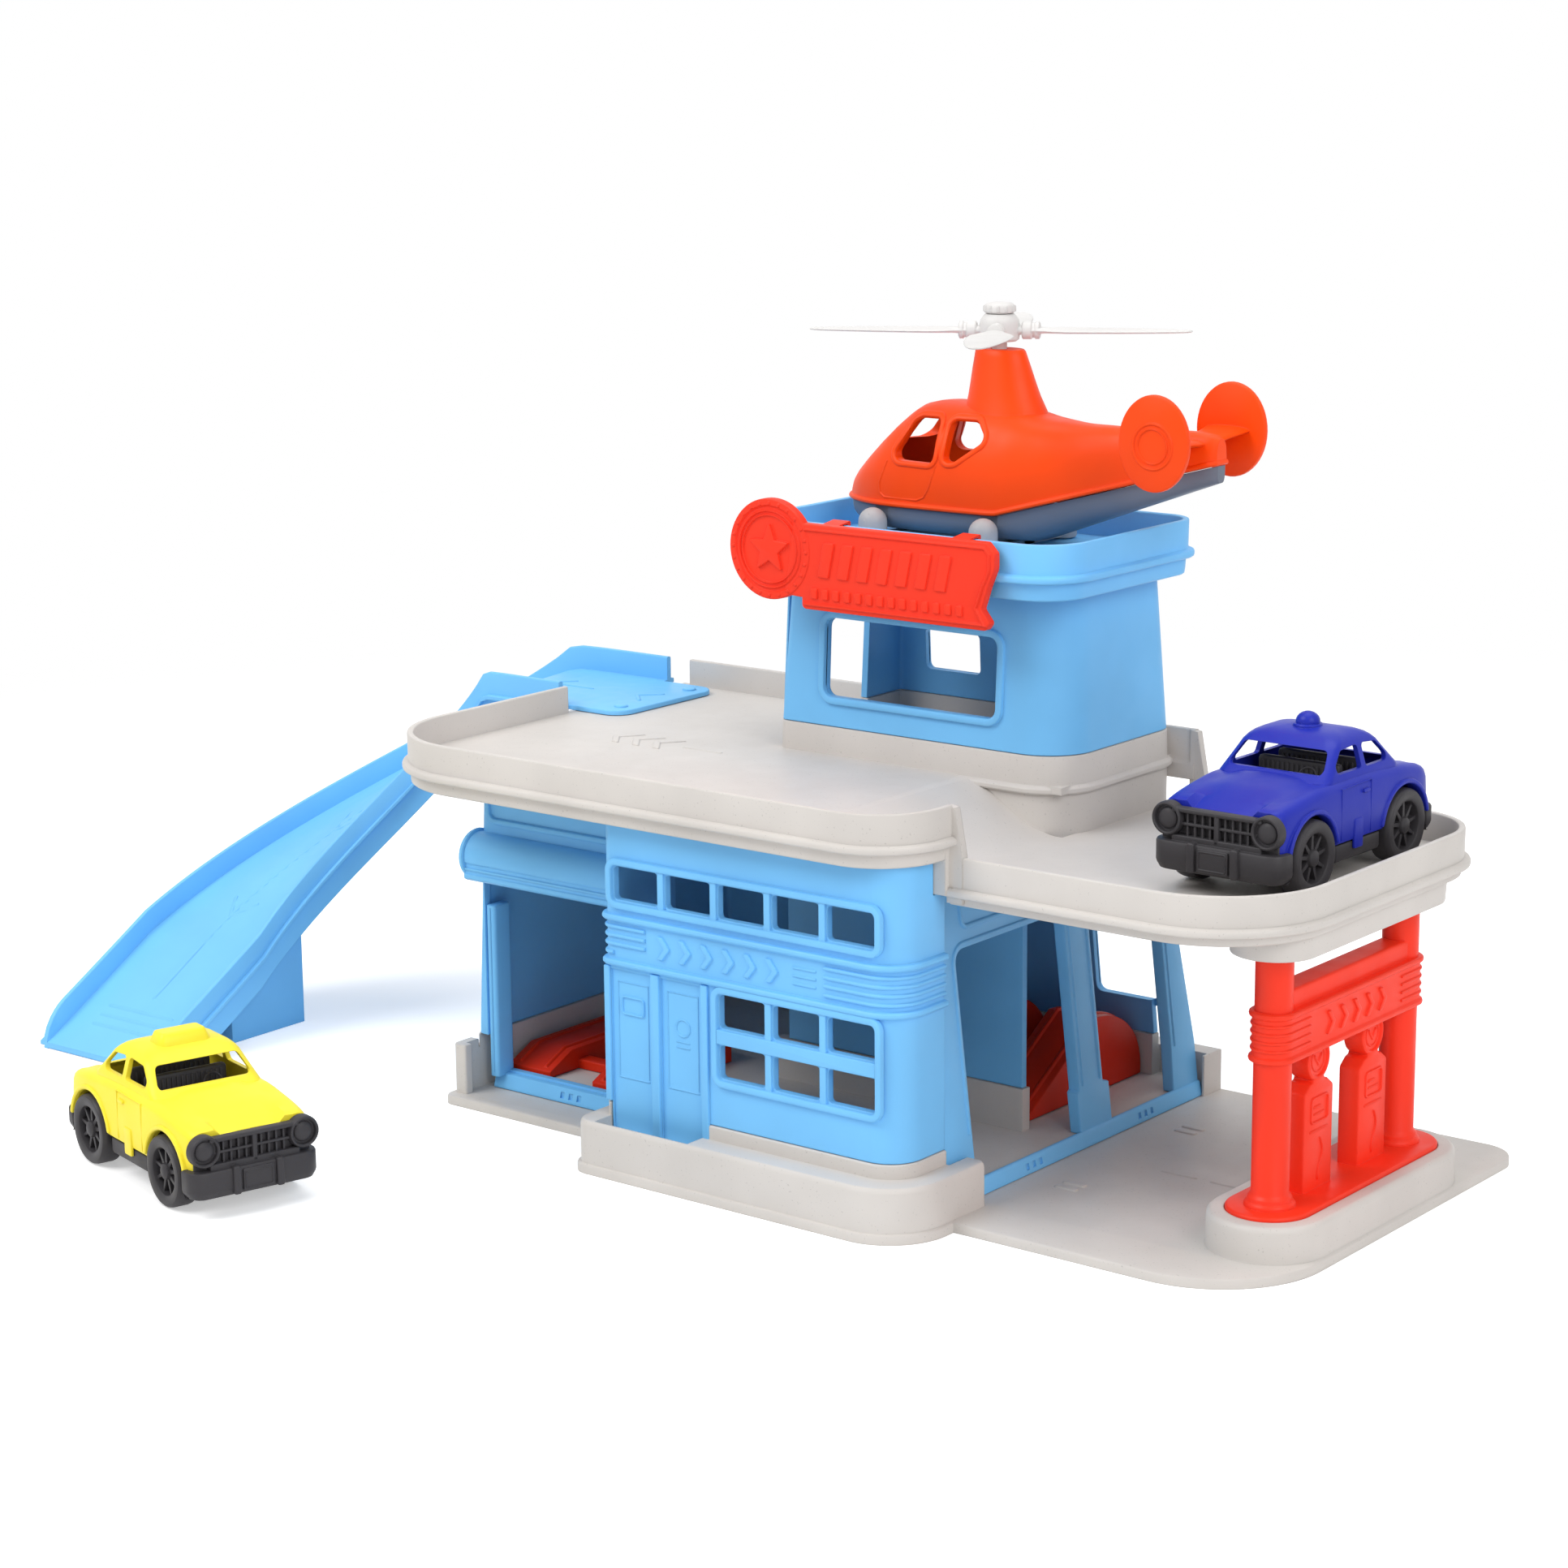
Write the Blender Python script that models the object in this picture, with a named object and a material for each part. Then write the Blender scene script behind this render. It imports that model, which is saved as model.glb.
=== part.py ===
"""Toy parking garage playset: garage with ramp, canopy and tower, a helicopter and two cars.

Sizes are in millimetres and become metres where a mesh is made. +X runs along the front to the right, +Y to the
back and +Z up. The origin is on the floor, in the middle of the ground moulding.
"""

import math

import bmesh
import bpy
from mathutils import Vector

MM = 0.001
GAP = 0.3
CUT = 60.0

# Ground moulding
TRAY_HALF_LENGTH = 197.0
TRAY_HALF_DEPTH = 117.0
APRON_SETBACK = 31.0
APRON_RADIUS = 45.0
BAY_SETBACK = 34.0
FLOOR = 4.0
FLOOR_BEVEL = 1.2
KERB_INSET = 1.5
ROOM_FLOOR = 9.5
SLAB = 3.0
FLOOR_RIB = 4.0
KERB_HEIGHT = 21.5
KERB_LEDGE = 13.0
KERB_SIDE_LEDGE = 4.0
KERB_LEFT = -97.0
KERB_RIGHT = 67.0
KERB_RADIUS = 26.0
KERB_END = -60.0
KERB_WALL = 2.5
RISER_HEIGHT = 27.0
RISER_PROUD = 0.8
RISER_THICKNESS = 5.0
KERB_POST = 25.0
POST_WIDTH = 7.5
STEP_HEIGHT = 8.0
THRESHOLD = 16.0
STEP_LEFT = -85.0
STEP_RIGHT = -38.0
ISLAND_RADIUS = 24.6
ISLAND_HEIGHT = 17.8

# Lower walls
WALL = 3.0
BLOCK_LEFT = -88.0
BLOCK_RIGHT = 55.0
BLOCK_RADIUS = 14.0
WALL_RADIUS = 5.0
BLOCK_SIDE_END = -75.0
BAY_FRONT = -66.0
LEFT_LEAN = 6.5
BACK_LEAN = 17.5
LEFT_BAY_HEIGHT = 95.0
LEFT_BAY_JAMB = 7.0
FRAME_RELIEF = 1.2
FRAME_BORDER = 3.2
WINDOW_PITCH = 26.0
WINDOW_WIDTH = 22.0
WINDOW_LEFT = -81.5
UPPER_WINDOW_SILL = 109.7
LOWER_WINDOW_SILLS = (46.8, 66.8)
WINDOW_HEIGHT = 13.3
DOOR_WIDTH = 20.5
DOOR_LEFT = -84.0
DOOR_PITCH = 25.0
DOOR_TOP = 81.5
DOOR_RECESS = 0.9
RIB_HEIGHTS = (84.5, 102.5)
RIB_HALF = 1.3
RIB_PROUD = 2.0
SHUTTER_RADIUS = 10.0
SHUTTER_HEIGHT = 105.0
BACK_WINDOW_LEFT = 9.0
BACK_WINDOW_RIGHT = 38.0
BACK_WINDOW_SILL = 42.0
BACK_WINDOW_TOP = 75.0

# Bay frames and inside wall
BAY_LEAN = 0.12
BAY_OUTER = 57.5
BAY_SILL_EDGE = 58.7
BAY_SILL_TOP = 10.5
BAY_POST_DEPTH = 5.5
BAY_HEIGHT = 98.5
FRONT_POST_END = -56.0
MID_POST = (17.0, 34.0)
FAR_POST = (90.0, 103.0)
FRAME_INNER = 36.0
LEFT_SILL_EDGE = -63.5
LEFT_POST_WIDTH = 5.0
PARTITION_FRONT = 5.5

# Deck and canopy
DECK_SURFACE = 150.0
DECK_PLATE = 3.0
RIM_HEIGHT = 11.5
RIM_WALL = 2.5
RIM_RIB = 2.5
DECK_OVERHANG = 10.5
DECK_RIGHT = 61.0
DECK_FRONT = -113.0
DECK_BACK = 91.5
DECK_FRONT_RADIUS = 45.0
DECK_STEP_RADIUS = 28.0
DECK_SKIRT = 9.0
CANOPY_DROP = 19.5
CANOPY_FRONT = -79.0
CANOPY_INSET = 4.5
CANOPY_FRONT_RADIUS = 45.0
CANOPY_BACK_RADIUS = 30.0
CANOPY_SKIRT = 7.0
SLOPE_START = 3.0
SLOPE_END = 48.0
RAMP_GAP_FRONT = 10.0
RAMP_GAP_BACK = 88.0
BOSS_HEIGHT = 13.0

# Tower
TOWER_LEFT = -88.0
TOWER_RIGHT = 51.5
TOWER_FRONT = 8.0
TOWER_BACK = 90.9
TOWER_RADIUS = 20.0
TOWER_BACK_RADIUS = 12.0
TOWER_LEFT_RADIUS = 4.5
TOWER_LEAN = 3.8
TOWER_DOOR_BACK = 64.0
TOWER_DOOR_HEIGHT = 74.0
PLINTH_WALL = 3.6
TOWER_WINDOW_LEFT = -64.4
TOWER_WINDOW_RIGHT = 19.6
TOWER_WINDOW_RISE = 24.0
TOWER_WINDOW_HEIGHT = 32.0
BACK_LIGHT_LEFT = -71.0
BACK_LIGHT_RIGHT = -43.0
BACK_LIGHT_RISE = 22.5
BACK_LIGHT_HEIGHT = 17.5

# Landing tray and sign
TOWER_HEIGHT = 85.5
LANDING_LEFT = -91.0
LANDING_RIGHT = 59.5
LANDING_FRONT = -8.0
LANDING_BACK = 94.0
LANDING_RADIUS = 20.0
LANDING_SKIRT = 10.5
SIGN_THICKNESS = 4.0
SIGN_LEFT = -58.0
SIGN_RIGHT = 34.6
SIGN_DROP = 22.1
SIGN_RISE = 12.0
BADGE_RADIUS = 20.2
BADGE_X = -73.9
BADGE_RISE = 0.4

# Exit ramp
RAMP_HALF_WIDTH = 37.5
RAMP_CENTRE = 48.0
RAMP_STRAIGHT = 30.0
RAMP_RADIUS = 116.0
RAMP_RUN_OUT = 62.0
RAMP_FLAT = 0.18
RAMP_EASE = 0.87
RAMP_RAIL = 10.5
RAMP_NOSE = 12.0
RAMP_PLATE = 2.5
RAMP_SKIRT = 14.0
RAMP_WALL = 2.5
RAMP_LIP = 2.0
TONGUE_REACH = 27.5
TONGUE_RADIUS = 9.0
TONGUE_HALF_WIDTH = 33.0
TONGUE_THICKNESS = 2.0
LEG_AHEAD = 8.0
LEG_BEHIND = 36.0
LEG_HALF_WIDTH = 25.5
LEG_WALL = 3.0

# Pump frame
COLUMN_RADIUS = 7.0
COLUMN_FOOT_RADIUS = 9.5
COLUMN_SPAN = 93.6
FRAME_CENTRE = 11.2
PLATE_RADIUS = 16.3
PLATE_THICKNESS = 5.0
PLATE_RECESS = 3.5
BAND_BOTTOM = 74.0
BAND_TOP = 93.0
BAND_PROUD = 0.8
BAND_RIB = 1.9
BEAM_TOP = 100.0
BEAM_HALF = 5.5
PUMP_SPACING = 40.4
PUMP_HALF_WIDTH = 10.5
PUMP_HALF_DEPTH = 4.5
PUMP_BODY_TOP = 60.0
PUMP_HEAD_RADIUS = 8.2
PUMP_HEAD_HEIGHT = 68.5
COLUMN_INSERT = 6.0

# Service ramps in the bays
TRACK_WIDTH = 23.0
TRACK_SPACING = 46.0
LEFT_TRACK_INSET = 19.0
LEFT_TRACK_FRONT = -54.0
LEFT_TRACK_LENGTH = 64.0
LEFT_TRACK_HEIGHT = 9.0
TRACK_TIP = 14.0
BAR_WIDTH = 7.0
BAR_HEIGHT = 4.0
BAR_INSET = 18.0
BAR_SPACING = 32.0
CREST_BARS = (-20.0, 16.0)
RIGHT_TRACK_X = -26.5
RIGHT_TRACK_FRONT = 16.0
RIGHT_TRACK_CREST = 64.0
RIGHT_TRACK_BACK = 99.0
RIGHT_TRACK_HEIGHT = 32.0

# Helicopter, with heights above its feet and lengths from its rotor's axis
HELI_X = -9.0
HELI_Y = 51.0
FOOT_SPACING_X = 54.0
FOOT_SPACING_Y = 56.0
FOOT_OFFSET = -15.0
FOOT_RADIUS = 5.8
FOOT_HEIGHT = 14.2
GEAR_BOTTOM = 0.9
GEAR_THICKNESS = 2.2
CABIN_HALF_WIDTH = 25.0
BELT = 14.7
BELT_TAIL = 39.0
BELT_RISE_START = 14.0
TAIL_END = 103.0
NOSE_END = -68.5
ROOF = 56.0
BOOM_TOP = 51.0
HELI_WALL = 2.0
KEEL = 3.6
MAST_TOP = 77.7
MAST_BORE = 3.3
SHAFT_RADIUS = 3.0
SHAFT_INSERT = 10.0
HUB_RADIUS = 8.0
HUB_BOTTOM = 80.5
HUB_HEIGHT = 11.0
CAP_RADIUS = 6.2
CAP_HEIGHT = 4.5
CAP_PIN = 2.0
ROTOR_RADIUS = 76.0
BLADE_HEIGHT = 85.0
BLADE_THICKNESS = 2.6
BLADE_CHORD = 18.0
BLADE_COUNT = 4
BLADE_ANGLE = 28.0
FIN_X = 90.5
FIN_SPACING = 56.0
FIN_HEIGHT = 49.0
FIN_HALF_LENGTH = 15.5
FIN_HALF_HEIGHT = 18.5
FIN_THICKNESS = 3.0

# Cars, with heights above the ground that their wheels stand on
WHEEL_RADIUS = 14.2
WHEEL_WIDTH = 9.5
WHEEL_INSIDE = 18.0
WHEELBASE = 65.7
AXLE_RADIUS = 2.0
AXLE_END = 22.5
REAR_OVERHANG = 21.15
FRONT_OVERHANG = 20.65
CAR_HALF_WIDTH = 26.0
CAR_SILL = 15.5
CAR_BELT = 39.0
CAR_ROOF = 54.0
CAR_WALL = 2.0
CABIN_FRONT = 21.0
CABIN_BACK = -33.0
ROOF_FRONT = 6.0
ROOF_BACK = -20.0
CABIN_HALF = 23.5
ROOF_HALF = 18.5
ARCH_CLEARANCE = 1.8
CHASSIS_BOTTOM = 8.0
CHASSIS_FLOOR = 3.0
CHASSIS_HALF = 15.5
BUMPER_HALF = 27.5
BUMPER_REACH = 5.5
GRILLE_TOP = 33.7
LAMP_RADIUS = 5.2
LAMP_SPACING = 42.0
BEACON_RADIUS = 4.6
BLUE_CAR_INSET = 43.0
BLUE_CAR_Y = 19.0
BLUE_CAR_HEADING = -91.0
YELLOW_CAR_AT = (-215.5, -208.0)
YELLOW_CAR_HEADING = -16.0

# Places that follow from the sizes above
DECK_LEFT = -TRAY_HALF_LENGTH - DECK_OVERHANG
CANOPY_RIGHT = TRAY_HALF_LENGTH - CANOPY_INSET
TONGUE_END = DECK_LEFT + TONGUE_REACH
TRAY_SURFACE = DECK_SURFACE + TOWER_HEIGHT
TOWER_DOOR_TOP = DECK_SURFACE + TOWER_DOOR_HEIGHT
TOWER_WINDOW_SILL = DECK_SURFACE + TOWER_WINDOW_RISE
TOWER_WINDOW_TOP = TOWER_WINDOW_SILL + TOWER_WINDOW_HEIGHT
BACK_LIGHT_SILL = DECK_SURFACE + BACK_LIGHT_RISE
BACK_LIGHT_TOP = BACK_LIGHT_SILL + BACK_LIGHT_HEIGHT
SIGN_BOTTOM = TRAY_SURFACE - SIGN_DROP
SIGN_TOP = TRAY_SURFACE + SIGN_RISE
BADGE_Z = TRAY_SURFACE + BADGE_RISE
LEG_FRONT = RAMP_CENTRE - RAMP_RADIUS - LEG_AHEAD
LEG_BACK = RAMP_CENTRE - RAMP_RADIUS + LEG_BEHIND
CAR_BACK = -WHEELBASE / 2 - REAR_OVERHANG
CAR_NOSE = WHEELBASE / 2 + FRONT_OVERHANG
BLUE_CAR_AT = (CANOPY_RIGHT - BLUE_CAR_INSET, BLUE_CAR_Y)
FACADE = -TRAY_HALF_DEPTH + KERB_LEDGE
BACK_WALL = TRAY_HALF_DEPTH - KERB_LEDGE
LEFT_WALL = -TRAY_HALF_LENGTH + KERB_SIDE_LEDGE
LEFT_TRACK_X = LEFT_WALL + LEFT_TRACK_INSET
WALL_BOTTOM = RISER_HEIGHT + GAP
WALL_TOP = DECK_SURFACE - DECK_PLATE - GAP
CANOPY_SURFACE = DECK_SURFACE - CANOPY_DROP
CANOPY_UNDER = CANOPY_SURFACE - DECK_PLATE
RIM_TOP = DECK_SURFACE + RIM_HEIGHT
TOWER_BASE = RIM_TOP + GAP
TRAY_UNDER = TRAY_SURFACE - DECK_PLATE
FRAME_X = TRAY_HALF_LENGTH - ISLAND_RADIUS
COLUMN_YS = (FRAME_CENTRE - COLUMN_SPAN / 2, FRAME_CENTRE + COLUMN_SPAN / 2)
PLATE_BOTTOM = ISLAND_HEIGHT - PLATE_RECESS
BOSS_BOTTOM = CANOPY_UNDER - BOSS_HEIGHT
ROOM_EDGE = BAY_OUTER - 2.0
LEFT_ROOM_EDGE = LEFT_SILL_EDGE + 5.8
RAMP_START = DECK_LEFT - RIM_RIB - 2 * GAP
RAMP_END_X = RAMP_START - RAMP_STRAIGHT - RAMP_RADIUS
RAMP_BEND = RAMP_RADIUS * math.pi / 2
RAMP_LENGTH = RAMP_STRAIGHT + RAMP_BEND + RAMP_RUN_OUT
RAMP_SURFACE = DECK_SURFACE + GAP + TONGUE_THICKNESS
RAMP_FOOT = RAMP_PLATE + GAP


def clear_scene():
    for item in list(bpy.data.objects):
        bpy.data.objects.remove(item, do_unlink=True)


def plastic(name, colour, roughness=0.42):
    """A Principled plastic of one colour, given as red, green and blue from 0 to 1 in linear light."""
    material = bpy.data.materials.new(name)
    material.use_nodes = True
    shader = material.node_tree.nodes["Principled BSDF"]
    shader.inputs["Base Color"].default_value = (*colour, 1.0)
    shader.inputs["Roughness"].default_value = roughness
    shader.inputs["Metallic"].default_value = 0.0
    return material


def outline(corners, steps=5):
    """A closed outline, counter-clockwise, from (x, y, radius) corners: (point, outward direction) pairs."""
    found = []
    for i, (x, y, radius) in enumerate(corners):
        here = Vector((x, y))
        inward = (here - Vector(corners[i - 1][:2])).normalized()
        onward = (Vector(corners[(i + 1) % len(corners)][:2]) - here).normalized()
        out_before = Vector((inward.y, -inward.x))
        out_after = Vector((onward.y, -onward.x))
        mitre = (out_before + out_after) / (1 + out_before.dot(out_after))
        if radius == 0:
            found.append((here, mitre))
            continue
        turn = math.atan2(inward.x * onward.y - inward.y * onward.x, inward.dot(onward))
        side = 1 if turn > 0 else -1
        centre = here - mitre * radius * side
        first = math.atan2(out_before.y, out_before.x)
        for k in range(steps + 1):
            angle = first + turn * k / steps
            out = Vector((math.cos(angle), math.sin(angle)))
            found.append((centre + out * radius * side, out))
    return found


def moved(corners, offset):
    """The corners of an outline moved outward, with their radii grown or shrunk to match."""
    sharp = outline([(x, y, 0) for x, y, _ in corners])
    return [(point.x + out.x * offset, point.y + out.y * offset, max(radius + offset, 0) if radius else 0)
            for (point, out), (_, _, radius) in zip(sharp, corners)]


def stadium(x, y_front, y_back, radius, steps=8):
    """A stadium with its ends at y_front and y_back: (point, outward direction) pairs."""
    found = []
    for centre_y, first in ((y_back, 0.0), (y_front, math.pi)):
        for k in range(steps + 1):
            angle = first + math.pi * k / steps
            out = Vector((math.cos(angle), math.sin(angle)))
            found.append((Vector((x, centre_y)) + out * radius, out))
    return found


def ring(path, offset, z):
    """The outline at height z, moved outward by offset."""
    return [(point.x + out.x * offset, point.y + out.y * offset, z) for point, out in path]


def solid(rings, loop=False):
    """A closed mesh through rings of equally many points: capped at both ends, or closed on itself as a loop."""
    shape = bmesh.new()
    rows = [[shape.verts.new(Vector(point) * MM) for point in row] for row in rings]
    pairs = list(zip(rows, rows[1:]))
    if loop:
        pairs.append((rows[-1], rows[0]))
    else:
        shape.faces.new(rows[0])
        shape.faces.new(rows[-1])
    for low, high in pairs:
        for i in range(len(low)):
            shape.faces.new((low[i - 1], low[i], high[i], high[i - 1]))
    bmesh.ops.recalc_face_normals(shape, faces=shape.faces)
    if shape.calc_volume(signed=True) < 0:
        bmesh.ops.reverse_faces(shape, faces=shape.faces)
    mesh = bpy.data.meshes.new("solid")
    shape.to_mesh(mesh)
    shape.free()
    return mesh


def turned(path, profile, loop=False):
    """An outline raised through (offset, height) pairs."""
    return solid([ring(path, offset, z) for offset, z in profile], loop)


def prism(path, low, high, offset=0.0):
    return turned(path, [(offset, low), (offset, high)])


def box(x_range, y_range, z_range):
    (x0, x1), (y0, y1), (z0, z1) = x_range, y_range, z_range
    corners = ((x0, y0), (x1, y0), (x1, y1), (x0, y1))
    return solid([[(x, y, z) for x, y in corners] for z in (z0, z1)])


def together(parts):
    """Meshes that don't touch each other, as one mesh."""
    shape = bmesh.new()
    for part in parts:
        shape.from_mesh(part)
    mesh = bpy.data.meshes.new("together")
    shape.to_mesh(mesh)
    shape.free()
    return mesh


def across(points, low, high, axis):
    """A polygon carried along X or Y: its points are (y, z) for X and (x, z) for Y."""
    if axis == "X":
        return solid([[(reach, a, b) for a, b in points] for reach in (low, high)])
    return solid([[(a, reach, b) for a, b in points] for reach in (low, high)])


def rod(centre, axis, profile, steps=16):
    """A turned piece: (radius, place along the axis) pairs about centre, with the axis along X, Y or Z."""
    rings = []
    for radius, reach in profile:
        row = []
        for k in range(steps):
            angle = 2 * math.pi * k / steps
            a = radius * math.cos(angle)
            b = radius * math.sin(angle)
            offset = {"X": (reach, a, b), "Y": (a, reach, b), "Z": (a, b, reach)}[axis]
            row.append([c + o for c, o in zip(centre, offset)])
        rings.append(row)
    return solid(rings)


def lofted(stations, power, count=8):
    """A body along X with a flat underside: stations are (x, half width, bottom, top), and power squares its arch."""
    rings = []
    for x, half, bottom, top in stations:
        row = []
        for k in range(count + 1):
            angle = math.pi * k / count
            y = half * math.copysign(abs(math.cos(angle)) ** power, math.cos(angle))
            row.append((x, y, bottom + (top - bottom) * math.sin(angle) ** power))
        rings.append(row)
    return solid(rings)


def add(mesh):
    return "UNION", mesh


def cut(mesh):
    return "DIFFERENCE", mesh


def piece(name, mesh, finish, changes=(), parent=None, at=(0, 0, 0), turn=0.0):
    """One sub-part: a mesh with its finish, changed in order by the meshes that it is joined with or cut by."""
    item = bpy.data.objects.new(name, mesh)
    bpy.context.scene.collection.objects.link(item)
    item.parent = parent
    item.location = Vector(at) * MM
    item.rotation_euler = (0.0, 0.0, math.radians(turn))
    for number, (operation, tool_mesh) in enumerate(changes, 1):
        tool = bpy.data.objects.new(f"{name}.tool.{number}", tool_mesh)
        bpy.context.scene.collection.objects.link(tool)
        tool.parent = item
        tool.hide_render = True
        tool.display_type = "WIRE"
        modifier = item.modifiers.new(tool.name, "BOOLEAN")
        modifier.operation = operation
        modifier.solver = "EXACT"
        modifier.object = tool
    if not mesh.materials:
        mesh.materials.append(finish)
        mesh.shade_smooth()
        mesh.set_sharp_from_angle(angle=math.radians(30))
    return item


def empty(name, at, turn=0.0, parent=None):
    item = bpy.data.objects.new(name, None)
    bpy.context.scene.collection.objects.link(item)
    item.parent = parent
    item.location = Vector(at) * MM
    item.rotation_euler = (0.0, 0.0, math.radians(turn))
    return item


def slope_height(x):
    """The driving surface between the deck and the canopy."""
    share = min(max((x - SLOPE_START) / (SLOPE_END - SLOPE_START), 0.0), 1.0)
    return DECK_SURFACE - CANOPY_DROP * share * share * (3 - 2 * share)


def slope_stations(first, last, count=8):
    return [first + (last - first) * k / count for k in range(count + 1)]


def wall_outline(left_lean=0.0, back_lean=0.0, offset=0.0):
    """The plan of the lower walls; the two leans move the left and the back wall inward."""
    return outline(moved([
        (BLOCK_LEFT, FACADE, WALL_RADIUS),
        (BLOCK_RIGHT, FACADE, BLOCK_RADIUS),
        (BLOCK_RIGHT, BACK_WALL - back_lean, WALL_RADIUS),
        (LEFT_WALL + left_lean, BACK_WALL - back_lean, WALL_RADIUS),
        (LEFT_WALL + left_lean, BAY_FRONT, WALL_RADIUS),
        (BLOCK_LEFT, BAY_FRONT, 0),
    ], offset), steps=4)


def base_tray(finish, parent):
    """Light gray ground moulding: floor, kerbs and risers under the walls, door step, apron and pump island."""
    half, deep = TRAY_HALF_LENGTH, TRAY_HALF_DEPTH
    bay_edge = -deep + BAY_SETBACK
    apron_edge = -deep + APRON_SETBACK
    ground = outline([
        (-half, bay_edge, 5.0),
        (KERB_LEFT, bay_edge, 0),
        (KERB_LEFT, -deep, 9.0),
        (KERB_RIGHT, -deep, KERB_RADIUS),
        (KERB_RIGHT, apron_edge, 0),
        (half, apron_edge, APRON_RADIUS),
        (half, deep, 14.0),
        (-half, deep, 10.0),
    ])
    floor = turned(ground, [(0, 0), (0, FLOOR - FLOOR_BEVEL), (-FLOOR_BEVEL, FLOOR)])
    kerb = outline([
        (KERB_LEFT, -deep, 9.0),
        (KERB_RIGHT, -deep, KERB_RADIUS),
        (KERB_RIGHT, KERB_END, 5.0),
        (KERB_LEFT, KERB_END, 5.0),
    ])
    front_kerb = turned(kerb, [
        (-KERB_INSET, FLOOR - 1),
        (-KERB_INSET, KERB_HEIGHT - 1.8),
        (-KERB_INSET - 1.6, KERB_HEIGHT),
    ])
    riser_inside = RISER_PROUD - RISER_THICKNESS
    outside = wall_outline(offset=RISER_PROUD)
    inside = wall_outline(offset=riser_inside)
    riser = solid([
        ring(outside, 0, FLOOR - 1.3),
        ring(outside, 0, RISER_HEIGHT),
        ring(inside, 0, RISER_HEIGHT),
        ring(inside, 0, FLOOR - 1.3),
    ], loop=True)
    room_floor = prism(wall_outline(offset=riser_inside + 1), FLOOR - 1.7, ROOM_FLOOR)
    kerb_room = prism(inside, ROOM_FLOOR - 1, CUT)
    kerb_x = -half + KERB_INSET
    rear_kerb = turned(outline([
        (kerb_x, BAY_FRONT - 3, 0),
        (LEFT_WALL + 2, BAY_FRONT - 3, 0),
        (LEFT_WALL + 2, BACK_WALL - 2, 0),
        (BLOCK_RIGHT + 5, BACK_WALL - 2, 0),
        (BLOCK_RIGHT + 5, deep - KERB_INSET, 0),
        (kerb_x, deep - KERB_INSET, 8.0),
    ]), [(0, FLOOR - 1.5), (0, KERB_HEIGHT)])
    post = prism(outline([
        (kerb_x + 0.1, BAY_FRONT - 12, 3.0),
        (kerb_x + POST_WIDTH, BAY_FRONT - 12, 1.0),
        (kerb_x + POST_WIDTH, BAY_FRONT - 0.5, 0),
        (kerb_x + 0.1, BAY_FRONT - 0.5, 0),
    ], steps=3), FLOOR - 2.5, KERB_POST)
    partition_riser = box((BLOCK_LEFT, FRAME_INNER), (PARTITION_FRONT - 1, PARTITION_FRONT + WALL + 1),
                          (ROOM_FLOOR - 1, RISER_HEIGHT))
    bay_side = box((FRAME_INNER, BAY_OUTER - GAP), (BLOCK_SIDE_END, BACK_WALL + RISER_PROUD + 1),
                   (ROOM_FLOOR, CUT))
    bay_edge_side = box((ROOM_EDGE, BLOCK_RIGHT + 4), (KERB_END + 0.5, BACK_WALL + RISER_PROUD + 1), (FLOOR, CUT))
    corner_side = box((ROOM_EDGE, BLOCK_RIGHT + 4), (BLOCK_SIDE_END, KERB_END + 1), (KERB_HEIGHT, CUT))
    left_bay = box((LEFT_WALL + POST_WIDTH, BLOCK_LEFT - 1.5), (BAY_FRONT - 8, BAY_FRONT + 8), (ROOM_FLOOR, CUT))
    left_edge = box((LEFT_WALL + 2, KERB_LEFT - 0.02), (BAY_FRONT - 8, LEFT_ROOM_EDGE), (FLOOR, CUT))
    step = box((STEP_LEFT, STEP_RIGHT), (-deep + 3, FACADE - 3), (STEP_HEIGHT, CUT))
    threshold = box((STEP_LEFT, STEP_RIGHT), (FACADE - 3.2, FACADE + RISER_THICKNESS), (THRESHOLD, CUT))
    island_path = stadium(FRAME_X, *COLUMN_YS, ISLAND_RADIUS)
    island = turned(island_path, [
        (-KERB_INSET, FLOOR - 1),
        (-KERB_INSET, ISLAND_HEIGHT - 1.8),
        (-KERB_INSET - 1.8, ISLAND_HEIGHT),
    ])
    recess = prism(stadium(FRAME_X, *COLUMN_YS, PLATE_RADIUS), PLATE_BOTTOM - GAP, CUT, offset=GAP)
    island_pocket = prism(island_path, -1.0, PLATE_BOTTOM - KERB_WALL - GAP, offset=-3.2)
    room_pocket = prism(wall_outline(offset=-KERB_LEDGE), -1.0, ROOM_FLOOR - SLAB)
    rib = box((-FLOOR_RIB, FLOOR_RIB), (FACADE + KERB_LEDGE - 1, BACK_WALL - KERB_LEDGE + 1), (0, ROOM_FLOOR - 1))
    changes = [
        add(front_kerb), add(rear_kerb), cut(kerb_room), add(riser), add(room_floor),
        add(partition_riser), cut(bay_side), cut(bay_edge_side), cut(corner_side), cut(left_bay), add(post),
        cut(left_edge), cut(step), cut(threshold), add(island), cut(recess),
        cut(together([island_pocket, room_pocket])), add(rib),
    ]
    return piece("base_tray", floor, finish, changes, parent)


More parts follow.
